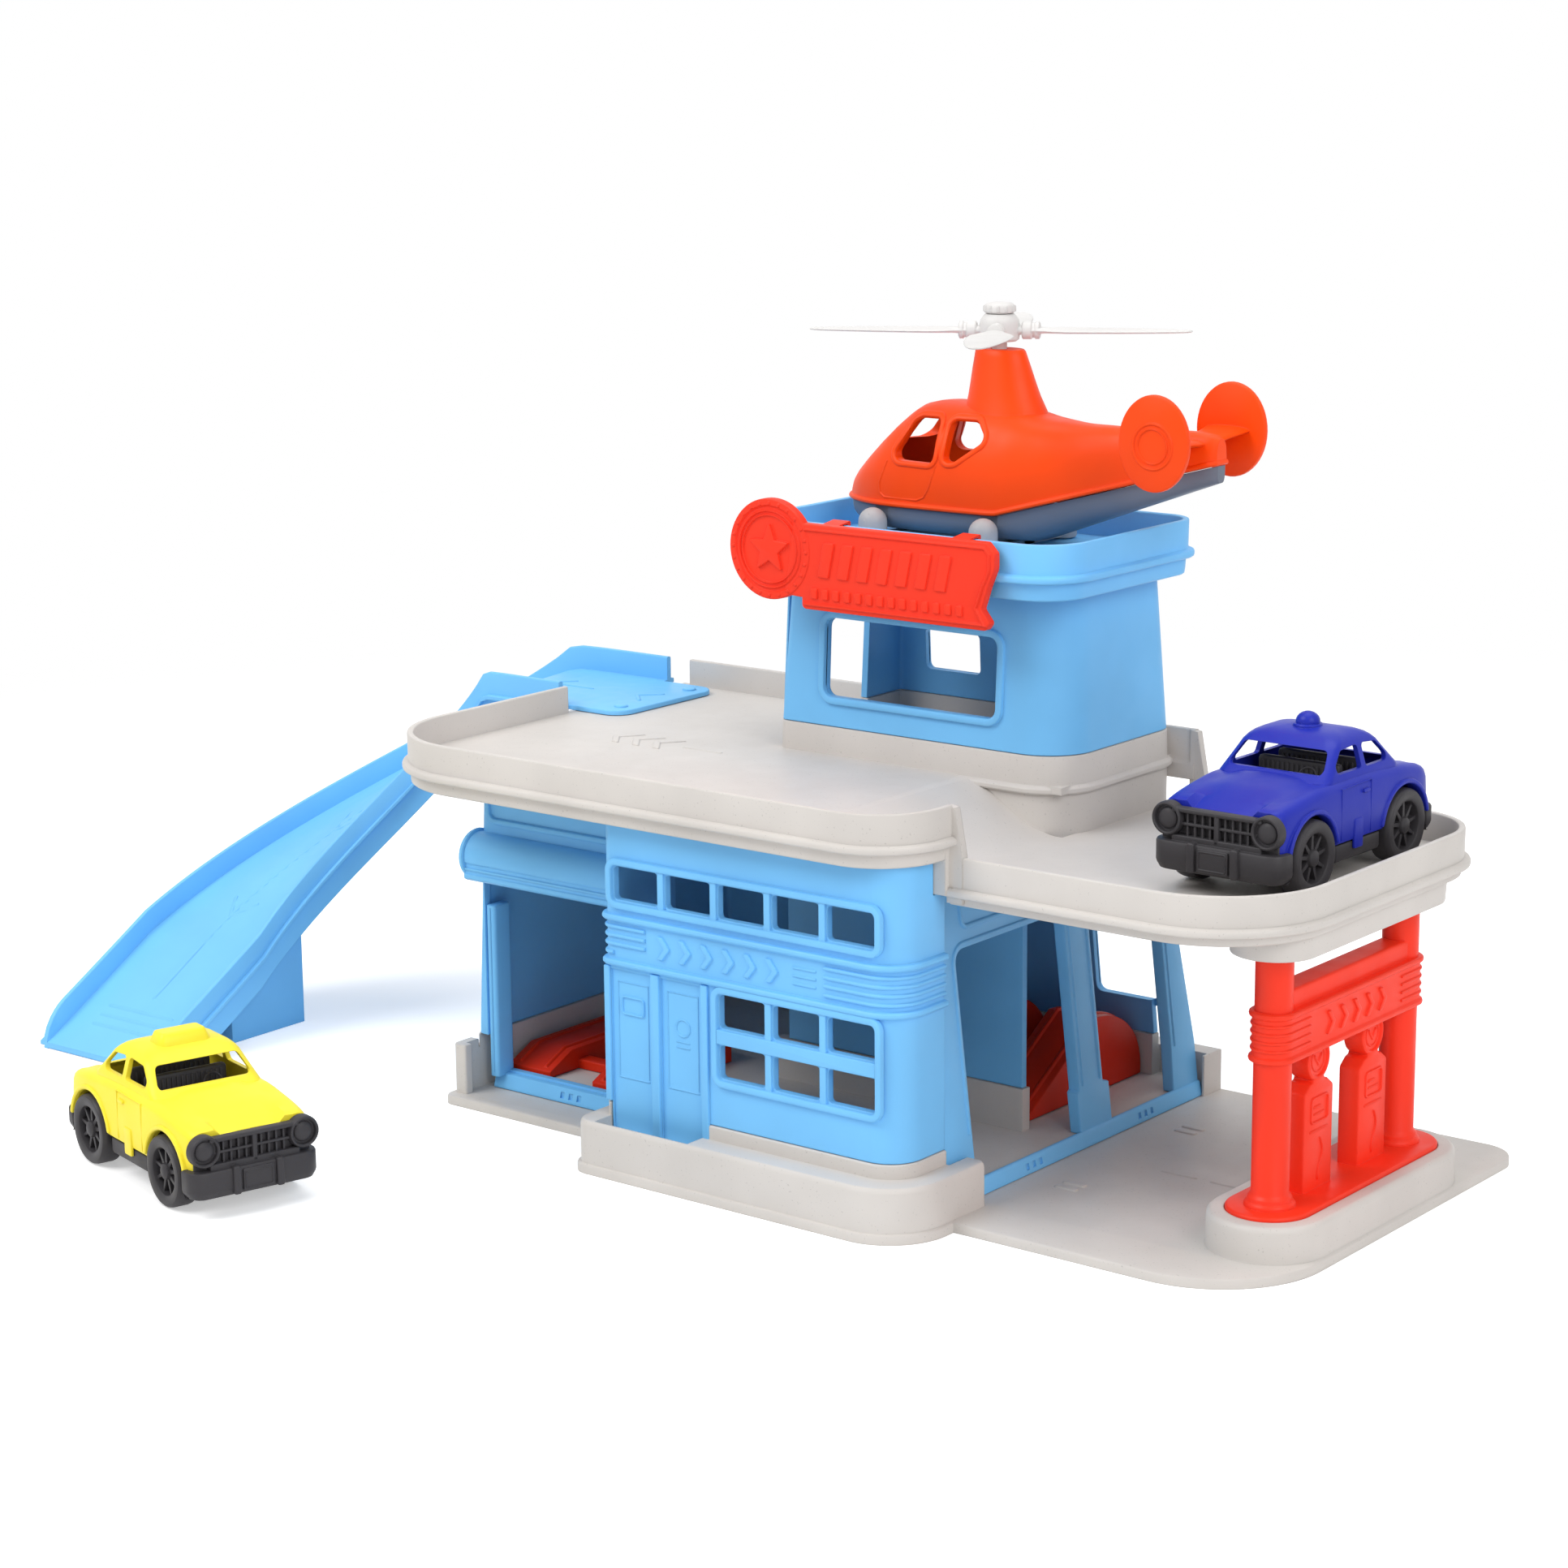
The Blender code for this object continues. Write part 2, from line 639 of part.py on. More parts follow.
def rib_band(height):
    """One rib round the front block, from its left side to the end of its right side."""
    path = wall_outline()
    front = [pair for pair in path if pair[0].y < BAY_FRONT - 1 and pair[0].x > BLOCK_LEFT - 1]
    start = (Vector((BLOCK_LEFT, BAY_FRONT - 2)), Vector((-1, 0)))
    end = (Vector((BLOCK_RIGHT, BLOCK_SIDE_END)), Vector((1, 0)))
    rings = []
    for point, out in [start, *front, end]:
        section = ((-1.0, -RIB_HALF), (RIB_PROUD, -RIB_HALF * 0.5), (RIB_PROUD, RIB_HALF * 0.5), (-1.0, RIB_HALF))
        rings.append([(point.x + out.x * a, point.y + out.y * a, height + b) for a, b in section])
    return solid(rings)


def window_row(sill, first, count):
    left = WINDOW_LEFT + first * WINDOW_PITCH
    return [box((left + k * WINDOW_PITCH, left + k * WINDOW_PITCH + WINDOW_WIDTH), (FACADE - 5, FACADE + 12),
                (sill, sill + WINDOW_HEIGHT)) for k in range(count)]


def window_frame(sill, top, first, count):
    """The raised border plate round a group of windows and the recess inside it."""
    left = WINDOW_LEFT + first * WINDOW_PITCH
    right = left + (count - 1) * WINDOW_PITCH + WINDOW_WIDTH
    edge = FRAME_BORDER
    plate = box((left - edge, right + edge), (FACADE - FRAME_RELIEF, FACADE + 1), (sill - edge, top + edge))
    return plate


def garage_walls(finish, parent):
    """Sky-blue lower walls: windowed front block with two doors, left bay front with rolled shutter, sides, back."""
    low = wall_outline()
    high = wall_outline(LEFT_LEAN, BACK_LEAN)
    shell = solid([
        ring(low, 0, WALL_BOTTOM),
        ring(high, 0, WALL_TOP),
        ring(high, -WALL, WALL_TOP),
        ring(low, -WALL, WALL_BOTTOM),
    ], loop=True)
    frame_side = box((FRAME_INNER, BLOCK_RIGHT + 10), (BLOCK_SIDE_END, BACK_WALL + 10), (0, WALL_TOP + 10))
    slope_xs = slope_stations(SLOPE_START, SLOPE_END)
    under_slope = [(x, slope_height(x) - DECK_PLATE - GAP) for x in slope_xs]
    above_slope = [(SLOPE_START - 0.5, WALL_TOP + 10), *[(x, z) for x, z in under_slope],
                   (BLOCK_RIGHT + 5, CANOPY_UNDER - GAP), (BLOCK_RIGHT + 5, WALL_TOP + 10)]
    slope_clear = across(above_slope, CANOPY_FRONT - 3.4, TOWER_FRONT - 0.4, "Y")
    left_bay = box((LEFT_WALL + LEFT_BAY_JAMB, BLOCK_LEFT - 0.2), (BAY_FRONT - 3, BAY_FRONT + 5),
                   (0, LEFT_BAY_HEIGHT))
    return_wall = box((FRAME_INNER - 6, BLOCK_RIGHT - 0.5), (BLOCK_SIDE_END - WALL - 0.3, BLOCK_SIDE_END - 0.3),
                      (WALL_BOTTOM, CANOPY_UNDER - GAP))
    door_front = FACADE + DOOR_RECESS
    doors = [box((DOOR_LEFT + k * DOOR_PITCH, DOOR_LEFT + k * DOOR_PITCH + DOOR_WIDTH),
                 (FACADE - 4, door_front), (0, DOOR_TOP)) for k in range(2)]
    door_foot = box((STEP_LEFT + 0.5, STEP_RIGHT - 0.5), (FACADE + 0.1, FACADE + WALL - 0.1),
                    (THRESHOLD + GAP, WALL_BOTTOM + 1))
    back_light = box((BACK_WINDOW_LEFT, BACK_WINDOW_RIGHT), (BACK_WALL - 20, BACK_WALL + 5),
                     (BACK_WINDOW_SILL, BACK_WINDOW_TOP))
    shutter_left = LEFT_WALL + 2.5
    shutter = rod((0, BAY_FRONT, SHUTTER_HEIGHT), "X", [
        (SHUTTER_RADIUS + 0.8, shutter_left),
        (SHUTTER_RADIUS + 0.8, shutter_left + 2.5),
        (SHUTTER_RADIUS - 0.3, shutter_left + 2.5),
        (SHUTTER_RADIUS - 0.3, BLOCK_LEFT + 1),
    ])
    upper_windows = window_row(UPPER_WINDOW_SILL, 0, 5)
    lower_windows = [w for sill in LOWER_WINDOW_SILLS for w in window_row(sill, 2, 3)]
    changes = [
        cut(frame_side), cut(slope_clear), cut(left_bay), add(return_wall), add(door_foot),
        add(window_frame(UPPER_WINDOW_SILL, UPPER_WINDOW_SILL + WINDOW_HEIGHT, 0, 5)),
        add(window_frame(LOWER_WINDOW_SILLS[0], LOWER_WINDOW_SILLS[1] + WINDOW_HEIGHT, 2, 3)),
        add(together([rib_band(height) for height in RIB_HEIGHTS])),
        add(shutter), cut(together(doors)), cut(together(upper_windows + lower_windows + [back_light])),
    ]
    return piece("garage_walls", shell, finish, changes, parent)


def bay_frame(finish, parent):
    """Sky-blue right-hand frame: front, middle and far posts and the lintel over two bays, and their sill."""
    top = CANOPY_UNDER - 2 * GAP
    foot = ROOM_FLOOR + GAP
    step = RISER_HEIGHT
    faces = [
        (BLOCK_SIDE_END + GAP, foot),
        (FRONT_POST_END, foot),
        (FRONT_POST_END, BAY_HEIGHT),
        (MID_POST[0], BAY_HEIGHT),
        (MID_POST[0], step),
        (MID_POST[0] - 1.5, step - 1),
        (MID_POST[0] - 1.5, foot),
        (MID_POST[1] + 4, foot),
        (MID_POST[1] + 4, step - 1),
        (MID_POST[1], step),
        (MID_POST[1], BAY_HEIGHT),
        (FAR_POST[0] - 5, BAY_HEIGHT),
        (FAR_POST[0] - 5, step),
        (FAR_POST[0] - 6, foot),
        (FAR_POST[1], foot),
        (FAR_POST[1], step),
        (FAR_POST[1] - 11.5, top),
        (BLOCK_SIDE_END + GAP, top),
    ]
    frame = solid([[(BAY_OUTER - BAY_LEAN * (z - FLOOR) - depth, y, z) for y, z in faces]
                   for depth in (0, BAY_POST_DEPTH)])
    sill = across([
        (ROOM_EDGE + GAP, FLOOR + GAP),
        (BAY_SILL_EDGE, FLOOR + GAP),
        (BAY_SILL_EDGE, FLOOR + 1),
        (BAY_SILL_EDGE - 1.5, BAY_SILL_TOP),
        (ROOM_EDGE + GAP, BAY_SILL_TOP),
    ], KERB_END + 1, FAR_POST[1], "Y")
    return piece("bay_frame", frame, finish, [add(sill)], parent)


def left_bay_frame(finish, parent):
    """Sky-blue sill and two uprights of the left-hand bay."""
    left = LEFT_WALL + LEFT_BAY_JAMB + GAP
    right = BLOCK_LEFT - 1.5 - GAP
    foot = ROOM_FLOOR + GAP
    sill = across([
        (LEFT_SILL_EDGE, FLOOR + GAP),
        (LEFT_ROOM_EDGE - GAP, FLOOR + GAP),
        (LEFT_ROOM_EDGE - GAP, BAY_SILL_TOP),
        (LEFT_SILL_EDGE + 2, BAY_SILL_TOP),
        (LEFT_SILL_EDGE, FLOOR + 1),
    ], left, KERB_LEFT - GAP, "X")
    uprights = [box(x_range, (BAY_FRONT + 0.1, LEFT_ROOM_EDGE + 2), (foot, LEFT_BAY_HEIGHT - 11.5))
                for x_range in ((left, left + LEFT_POST_WIDTH), (right - LEFT_POST_WIDTH, right))]
    threshold = box((left + 1, right - 1), (LEFT_ROOM_EDGE - 1, LEFT_ROOM_EDGE + 1.9), (foot, foot + 1.5))
    changes = [add(threshold), add(together(uprights))]
    return piece("left_bay_frame", sill, finish, changes, parent)


def partition_wall(finish, parent):
    """Sky-blue inside wall between the two right-hand bays."""
    wall = box((BLOCK_LEFT + 6, FRAME_INNER - 1), (PARTITION_FRONT, PARTITION_FRONT + WALL),
               (WALL_BOTTOM, CANOPY_UNDER - 2 * GAP))
    return piece("partition_wall", wall, finish, (), parent)


def rim_section(point, out, surface, skirt, rim):
    """The deck's edge at one place: skirt, rib and rim, as a closed section."""
    under = surface - DECK_PLATE
    section = (
        (-RIM_WALL - 1, surface - skirt),
        (-1.0, surface - skirt),
        (-0.7, under - 0.8),
        (RIM_RIB, under - 0.4),
        (RIM_RIB, surface - 0.6),
        (0.0, surface),
        (0.2, surface + rim),
        (0.2 - RIM_WALL, surface + rim),
        (-RIM_WALL, surface - 1),
        (-RIM_WALL - 1, under),
    )
    return [(point.x + out.x * a, point.y + out.y * a, z) for a, z in section]


def deck_edge():
    """The edge of the upper deck, from its back right end round to the step, open where the ramp joins."""
    low_rim = 0.2
    left, back = Vector((-1, 0)), Vector((0, 1))
    route = [
        (Vector((DECK_RIGHT, DECK_BACK)), back, RIM_HEIGHT),
        (Vector((DECK_LEFT + 5, DECK_BACK)), back, RIM_HEIGHT),
        (Vector((DECK_LEFT + 4.9, DECK_BACK)), back, low_rim),
        (Vector((DECK_LEFT, DECK_BACK)), (left + back), low_rim),
        (Vector((DECK_LEFT, RAMP_GAP_FRONT + 0.1)), left, low_rim),
        (Vector((DECK_LEFT, RAMP_GAP_FRONT)), left, RIM_HEIGHT),
    ]
    corner = outline([
        (DECK_LEFT, DECK_FRONT, DECK_FRONT_RADIUS),
        (DECK_RIGHT, DECK_FRONT, DECK_STEP_RADIUS),
        (DECK_RIGHT, DECK_BACK, 0),
        (DECK_LEFT, DECK_BACK, 0),
    ], steps=7)[:-2]
    route += [(point, out, RIM_HEIGHT) for point, out in corner]
    route.append((Vector((DECK_RIGHT, CANOPY_FRONT)), Vector((1, 0)), RIM_HEIGHT))
    return solid([rim_section(point, out, DECK_SURFACE, DECK_SKIRT, rim) for point, out, rim in route])


def canopy_edge():
    """The edge of the canopy, from the step round to the back."""
    corner = outline([
        (DECK_RIGHT, CANOPY_FRONT, 0),
        (CANOPY_RIGHT, CANOPY_FRONT, CANOPY_FRONT_RADIUS),
        (CANOPY_RIGHT, DECK_BACK, CANOPY_BACK_RADIUS),
        (DECK_RIGHT, DECK_BACK, 0),
    ], steps=7)[1:-1]
    start = (Vector((DECK_RIGHT - 1.6, CANOPY_FRONT)), Vector((0, -1)))
    end = (Vector((DECK_RIGHT - 1.4, DECK_BACK)), Vector((0, 1)))
    return solid([rim_section(point, out, CANOPY_SURFACE, CANOPY_SKIRT, RIM_HEIGHT)
                  for point, out in [start, *corner, end]])


def strip(stations):
    """A plate along X: stations are (x, front, back, surface height)."""
    rings = []
    for x, front, back, surface in stations:
        low = surface - DECK_PLATE
        rings.append([(x, front, low), (x, back, low), (x, back, surface), (x, front, surface)])
    return solid(rings)


def corner_front(x):
    """The front edge of the deck plate at x, along the two round corners."""
    inset = 1.2
    if x < DECK_LEFT + DECK_FRONT_RADIUS:
        radius = DECK_FRONT_RADIUS
        centre = DECK_LEFT + radius
    elif x > DECK_RIGHT - DECK_STEP_RADIUS:
        radius = DECK_STEP_RADIUS
        centre = DECK_RIGHT - radius
    else:
        return DECK_FRONT + inset
    reach = max((radius - inset) ** 2 - (x - centre) ** 2, 0.0)
    return DECK_FRONT + radius - math.sqrt(reach)


def deck_plates():
    """The flat deck, the strip beside the slope, the slope and the canopy's plate."""
    inset = 1.2
    back = DECK_BACK - inset
    left_centre = DECK_LEFT + DECK_FRONT_RADIUS
    left_reach = DECK_FRONT_RADIUS - inset
    xs = [left_centre - left_reach * math.cos(math.radians(15 * k)) for k in range(7)]
    flat = [(x, corner_front(x), back, DECK_SURFACE) for x in [*xs, SLOPE_START]]
    step_centre = DECK_RIGHT - DECK_STEP_RADIUS
    step_reach = DECK_STEP_RADIUS - inset
    step_xs = [step_centre + step_reach * math.sin(math.radians(15 * k)) for k in range(6)]
    front = [(x, corner_front(x), CANOPY_FRONT, DECK_SURFACE) for x in [SLOPE_START - 1, *step_xs]]
    slope_back = TOWER_FRONT + PLINTH_WALL - 1.5
    slope = [(x, CANOPY_FRONT - 1.5, slope_back, slope_height(x) - 0.01)
             for x in [SLOPE_START - 1, *slope_stations(SLOPE_START, SLOPE_END), DECK_RIGHT + 1]]
    right_centre = CANOPY_RIGHT - CANOPY_FRONT_RADIUS
    right_reach = CANOPY_FRONT_RADIUS - inset
    back_centre = CANOPY_RIGHT - CANOPY_BACK_RADIUS
    back_reach = CANOPY_BACK_RADIUS - inset
    canopy = []
    canopy_xs = [TOWER_RIGHT - 1.5, right_centre]
    canopy_xs += [right_centre + right_reach * math.sin(math.radians(15 * k)) for k in range(1, 6)]
    for x in canopy_xs:
        front_reach = math.sqrt(right_reach ** 2 - max(x - right_centre, 0.0) ** 2)
        side_reach = math.sqrt(max(back_reach ** 2 - max(x - back_centre, 0.0) ** 2, 1.0))
        canopy.append((x, CANOPY_FRONT + CANOPY_FRONT_RADIUS - front_reach,
                       DECK_BACK - CANOPY_BACK_RADIUS + side_reach, CANOPY_SURFACE))
    canopy.append((CANOPY_RIGHT - inset, CANOPY_FRONT + CANOPY_FRONT_RADIUS,
                   DECK_BACK - CANOPY_BACK_RADIUS, CANOPY_SURFACE))
    return [strip(part) for part in (flat, front, slope, canopy)]


def tower_outline(lean=0.0):
    """The plan of the tower; the lean moves every side inward."""
    return outline([
        (TOWER_LEFT + lean, TOWER_FRONT + lean, TOWER_LEFT_RADIUS),
        (TOWER_RIGHT - lean, TOWER_FRONT + lean, TOWER_RADIUS),
        (TOWER_RIGHT - lean, TOWER_BACK - lean, TOWER_BACK_RADIUS),
        (TOWER_LEFT + lean, TOWER_BACK - lean, TOWER_LEFT_RADIUS),
    ])


def upper_deck(finish, parent):
    """Light gray deck: rim, slope down to the canopy, plinth under the tower and the boss over the pump frame."""
    flat, front, slope, canopy = deck_plates()
    side_xs = slope_stations(SLOPE_START, SLOPE_END)
    side = across([(SLOPE_START, DECK_SURFACE - 0.5), *[(x, slope_height(x) - DECK_PLATE + 0.1) for x in side_xs],
                   (DECK_RIGHT - 0.8, CANOPY_UNDER + 0.1), (DECK_RIGHT - 0.8, DECK_SURFACE - 0.5)],
                  CANOPY_FRONT - 3.0, CANOPY_FRONT - 0.2, "Y")
    step_post = across([
        (DECK_RIGHT - 2, CANOPY_UNDER - 3),
        (DECK_RIGHT + 5, CANOPY_UNDER - 3),
        (DECK_RIGHT + 5, CANOPY_SURFACE + RIM_HEIGHT),
        (DECK_RIGHT + 1.5, RIM_TOP - 1),
        (DECK_RIGHT - 2, RIM_TOP - 0.3),
    ], CANOPY_FRONT - 0.5, CANOPY_FRONT + 3, "Y")
    back_post = across([
        (DECK_RIGHT - 2, CANOPY_UNDER - 3),
        (DECK_RIGHT + 5, CANOPY_UNDER - 3),
        (DECK_RIGHT + 5, CANOPY_SURFACE + RIM_HEIGHT),
        (DECK_RIGHT + 1.5, RIM_TOP - 0.2),
        (DECK_RIGHT - 2, RIM_TOP - 0.2),
    ], DECK_BACK - 3, DECK_BACK + 0.4, "Y")
    plinth_path = tower_outline()
    plinth = turned(plinth_path, [
        (0.6, DECK_SURFACE - 2.0),
        (0.2, RIM_TOP),
        (-PLINTH_WALL, RIM_TOP),
        (-PLINTH_WALL, DECK_SURFACE - 2.0),
    ], loop=True)
    doorway = box((TOWER_LEFT - 5, TOWER_LEFT + PLINTH_WALL + 1), (TOWER_FRONT + PLINTH_WALL, TOWER_DOOR_BACK),
                  (DECK_SURFACE, CUT + RIM_TOP))
    tower_floor = box((SLOPE_START - 1, TOWER_RIGHT - 2), (TOWER_FRONT + 2, TOWER_BACK - 1.5),
                      (DECK_SURFACE - DECK_PLATE, DECK_SURFACE))
    low_wall = [pair for pair in plinth_path if pair[0].x > SLOPE_END - TOWER_RADIUS - 20 and pair[0].x > 0]
    low_wall = [(Vector((SLOPE_START, TOWER_FRONT)), Vector((0, -1))), *low_wall]
    rings = []
    for point, out in low_wall:
        section = (
            (-PLINTH_WALL + 0.3, CANOPY_UNDER + 0.4),
            (0.5, CANOPY_UNDER + 0.4),
            (0.5, DECK_SURFACE - DECK_PLATE - 0.8),
            (RIM_RIB, DECK_SURFACE - DECK_PLATE - 0.4),
            (RIM_RIB, DECK_SURFACE - 0.6),
            (0.5, DECK_SURFACE),
            (-PLINTH_WALL + 0.3, DECK_SURFACE - 0.5),
        )
        rings.append([(point.x + out.x * a, point.y + out.y * a, z) for a, z in section])
    skirt = solid(rings)
    boss = turned(stadium(FRAME_X, *COLUMN_YS, PLATE_RADIUS), [
        (0, BOSS_BOTTOM),
        (0.8, CANOPY_UNDER + 1),
    ])
    sockets = [rod((FRAME_X, y, 0), "Z", [(COLUMN_RADIUS + GAP, BOSS_BOTTOM - 5),
                                         (COLUMN_RADIUS + GAP, BOSS_BOTTOM + COLUMN_INSERT + GAP)])
               for y in COLUMN_YS]
    changes = [
        add(front), add(side), add(slope), add(canopy), add(tower_floor), add(skirt), add(plinth),
        add(deck_edge()), add(canopy_edge()), add(step_post), add(back_post), cut(doorway), add(boss),
        cut(together(sockets)),
    ]
    return piece("upper_deck", flat, finish, changes, parent)


def tower_walls(finish, parent):
    """Sky-blue tower with a wide front window, a back window and an open left side."""
    low = tower_outline()
    high = tower_outline(TOWER_LEAN)
    top = TRAY_UNDER - GAP
    shell = solid([
        ring(low, 0, TOWER_BASE),
        ring(high, 0, top),
        ring(high, -WALL, top),
        ring(low, -WALL, TOWER_BASE),
    ], loop=True)
    door = box((TOWER_LEFT - 5, TOWER_LEFT + 12), (TOWER_FRONT + TOWER_LEAN + WALL, TOWER_DOOR_BACK),
               (0, TOWER_DOOR_TOP))
    edge = FRAME_BORDER
    frame = box((TOWER_WINDOW_LEFT - edge, TOWER_WINDOW_RIGHT + edge), (TOWER_FRONT - 0.6, TOWER_FRONT + 3.2),
                (TOWER_WINDOW_SILL - edge, TOWER_WINDOW_TOP + edge))
    front_window = box((TOWER_WINDOW_LEFT, TOWER_WINDOW_RIGHT), (TOWER_FRONT - 5, TOWER_FRONT + 12),
                       (TOWER_WINDOW_SILL, TOWER_WINDOW_TOP))
    back_window = box((BACK_LIGHT_LEFT, BACK_LIGHT_RIGHT), (TOWER_BACK - 12, TOWER_BACK + 5),
                      (BACK_LIGHT_SILL, BACK_LIGHT_TOP))
    return piece("tower_walls", shell, finish, [add(frame), cut(door), cut(together([front_window, back_window]))],
                 parent)


def helipad_tray(finish, parent):
    """Sky-blue landing tray with the same rim as the deck."""
    path = outline([
        (LANDING_LEFT, LANDING_FRONT, LANDING_RADIUS),
        (LANDING_RIGHT, LANDING_FRONT, LANDING_RADIUS),
        (LANDING_RIGHT, LANDING_BACK, LANDING_RADIUS - 6),
        (LANDING_LEFT, LANDING_BACK, LANDING_RADIUS - 6),
    ])
    bottom = TRAY_SURFACE - LANDING_SKIRT
    tray = turned(path, [
        (-RIM_WALL - 1.5, TRAY_UNDER),
        (-RIM_WALL - 1.5, bottom),
        (-1.5, bottom),
        (-0.8, TRAY_UNDER - 0.8),
        (RIM_RIB, TRAY_UNDER - 0.4),
        (RIM_RIB, TRAY_SURFACE - 0.6),
        (0.0, TRAY_SURFACE),
        (0.2, TRAY_SURFACE + RIM_HEIGHT),
        (0.2 - RIM_WALL, TRAY_SURFACE + RIM_HEIGHT),
        (-RIM_WALL, TRAY_SURFACE),
    ])
    return piece("helipad_tray", tray, finish, (), parent)


def sign_board(finish, parent):
    """Red-orange board with a round badge at its left end, hooked over the landing tray's rim."""
    back = LANDING_FRONT - RIM_RIB - GAP
    front = back - SIGN_THICKNESS
    board = across([
        (SIGN_LEFT, SIGN_BOTTOM),
        (SIGN_RIGHT - 4, SIGN_BOTTOM),
        (SIGN_RIGHT - 2, SIGN_BOTTOM + 3),
        (SIGN_RIGHT - 6, SIGN_BOTTOM + 8),
        (SIGN_RIGHT - 3, SIGN_BOTTOM + 17),
        (SIGN_RIGHT, SIGN_BOTTOM + 24),
        (SIGN_RIGHT, SIGN_TOP - 4),
        (SIGN_RIGHT - 4, SIGN_TOP),
        (SIGN_LEFT - 4, SIGN_TOP),
        (SIGN_LEFT - 9, SIGN_BOTTOM + 5),
        (SIGN_LEFT, SIGN_BOTTOM + 4.5),
    ], front, back, "Y")
    badge = rod((BADGE_X, 0, BADGE_Z), "Y", [(BADGE_RADIUS, front - 0.4), (BADGE_RADIUS, back)], steps=32)
    rim_top = TRAY_SURFACE + RIM_HEIGHT
    hooks = [across([
        (back - 1, rim_top - 4),
        (LANDING_FRONT - 0.2 - GAP, rim_top - 4),
        (LANDING_FRONT - 0.2 - GAP, rim_top + GAP),
        (LANDING_FRONT + RIM_WALL + GAP, rim_top + GAP),
        (LANDING_FRONT + RIM_WALL + GAP, rim_top - 5),
        (LANDING_FRONT + RIM_WALL + 2, rim_top - 5),
        (LANDING_FRONT + RIM_WALL + 2, rim_top + 1.5),
        (back - 1, rim_top + 0.4),
    ], x, x + 8, "X") for x in (SIGN_LEFT + 8, SIGN_RIGHT - 22)]
    return piece("sign_board", board, finish, [add(badge), add(together(hooks))], parent)


def ramp_point(reach):
    """Place, heading and surface height of the ramp's middle line, reach millimetres from its top."""
    if reach < RAMP_STRAIGHT:
        place = Vector((RAMP_START - reach, RAMP_CENTRE))
        heading = Vector((-1.0, 0.0))
    elif reach < RAMP_STRAIGHT + RAMP_BEND:
        angle = (reach - RAMP_STRAIGHT) / RAMP_RADIUS
        place = Vector((RAMP_START - RAMP_STRAIGHT - RAMP_RADIUS * math.sin(angle),
                        RAMP_CENTRE - RAMP_RADIUS * (1 - math.cos(angle))))
        heading = Vector((-math.cos(angle), -math.sin(angle)))
    else:
        place = Vector((RAMP_END_X, RAMP_CENTRE - RAMP_RADIUS - (reach - RAMP_STRAIGHT - RAMP_BEND)))
        heading = Vector((0.0, -1.0))
    share = max(0.0, (reach / RAMP_LENGTH - RAMP_FLAT) / (1 - RAMP_FLAT))
    height = RAMP_FOOT + (RAMP_SURFACE - RAMP_FOOT) * (1 - share ** RAMP_EASE)
    return place, heading, height


def ramp_reach(x, y):
    """How far down the ramp a place lies, measured along its middle line."""
    centre_x = RAMP_START - RAMP_STRAIGHT
    centre_y = RAMP_CENTRE - RAMP_RADIUS
    if y < centre_y:
        return RAMP_STRAIGHT + RAMP_BEND + centre_y - y
    return RAMP_STRAIGHT + RAMP_RADIUS * math.atan2(centre_x - x, y - centre_y)


def ramp_stations():
    straight = [0.0, RAMP_STRAIGHT * 0.5]
    bend = [RAMP_STRAIGHT + RAMP_BEND * k / 12 for k in range(13)]
    run_out = [RAMP_LENGTH - RAMP_RUN_OUT * k for k in (0.8, 0.55, 0.3, 0.15, 0.06, 0.0)]
    return straight + bend + run_out


def ramp_sweep(section):
    """A solid along the ramp; section(height, reach) gives (sideways, height) points."""
    rings = []
    for reach in ramp_stations():
        place, heading, height = ramp_point(reach)
        side = Vector((heading.y, -heading.x))
        rings.append([(place.x + side.x * a, place.y + side.y * a, z) for a, z in section(height, reach)])
    return solid(rings)


def ramp_section(height, reach):
    """Track with rails, lips and skirts; the rails round off at the foot of the ramp."""
    half = RAMP_HALF_WIDTH
    into_nose = max(0.0, (reach - (RAMP_LENGTH - RAMP_NOSE)) / RAMP_NOSE)
    rail = height + max(1.0, RAMP_RAIL * math.sqrt(max(0.0, 1 - into_nose ** 2)))
    skirt = max(0.0, height - RAMP_SKIRT)
    under = height - RAMP_PLATE
    lip_low = max(height - 1.5, 0.2)
    right = [
        (half - RAMP_WALL, height),
        (half - RAMP_WALL, rail),
        (half, rail),
        (half, height + 0.6),
        (half + RAMP_LIP, height + 0.5),
        (half + RAMP_LIP, lip_low),
        (half - 0.5, lip_low),
        (half - 0.5, skirt),
        (half - 0.5 - RAMP_WALL, skirt),
        (half - 0.5 - RAMP_WALL, under),
    ]
    return right + [(-a, z) for a, z in reversed(right)]


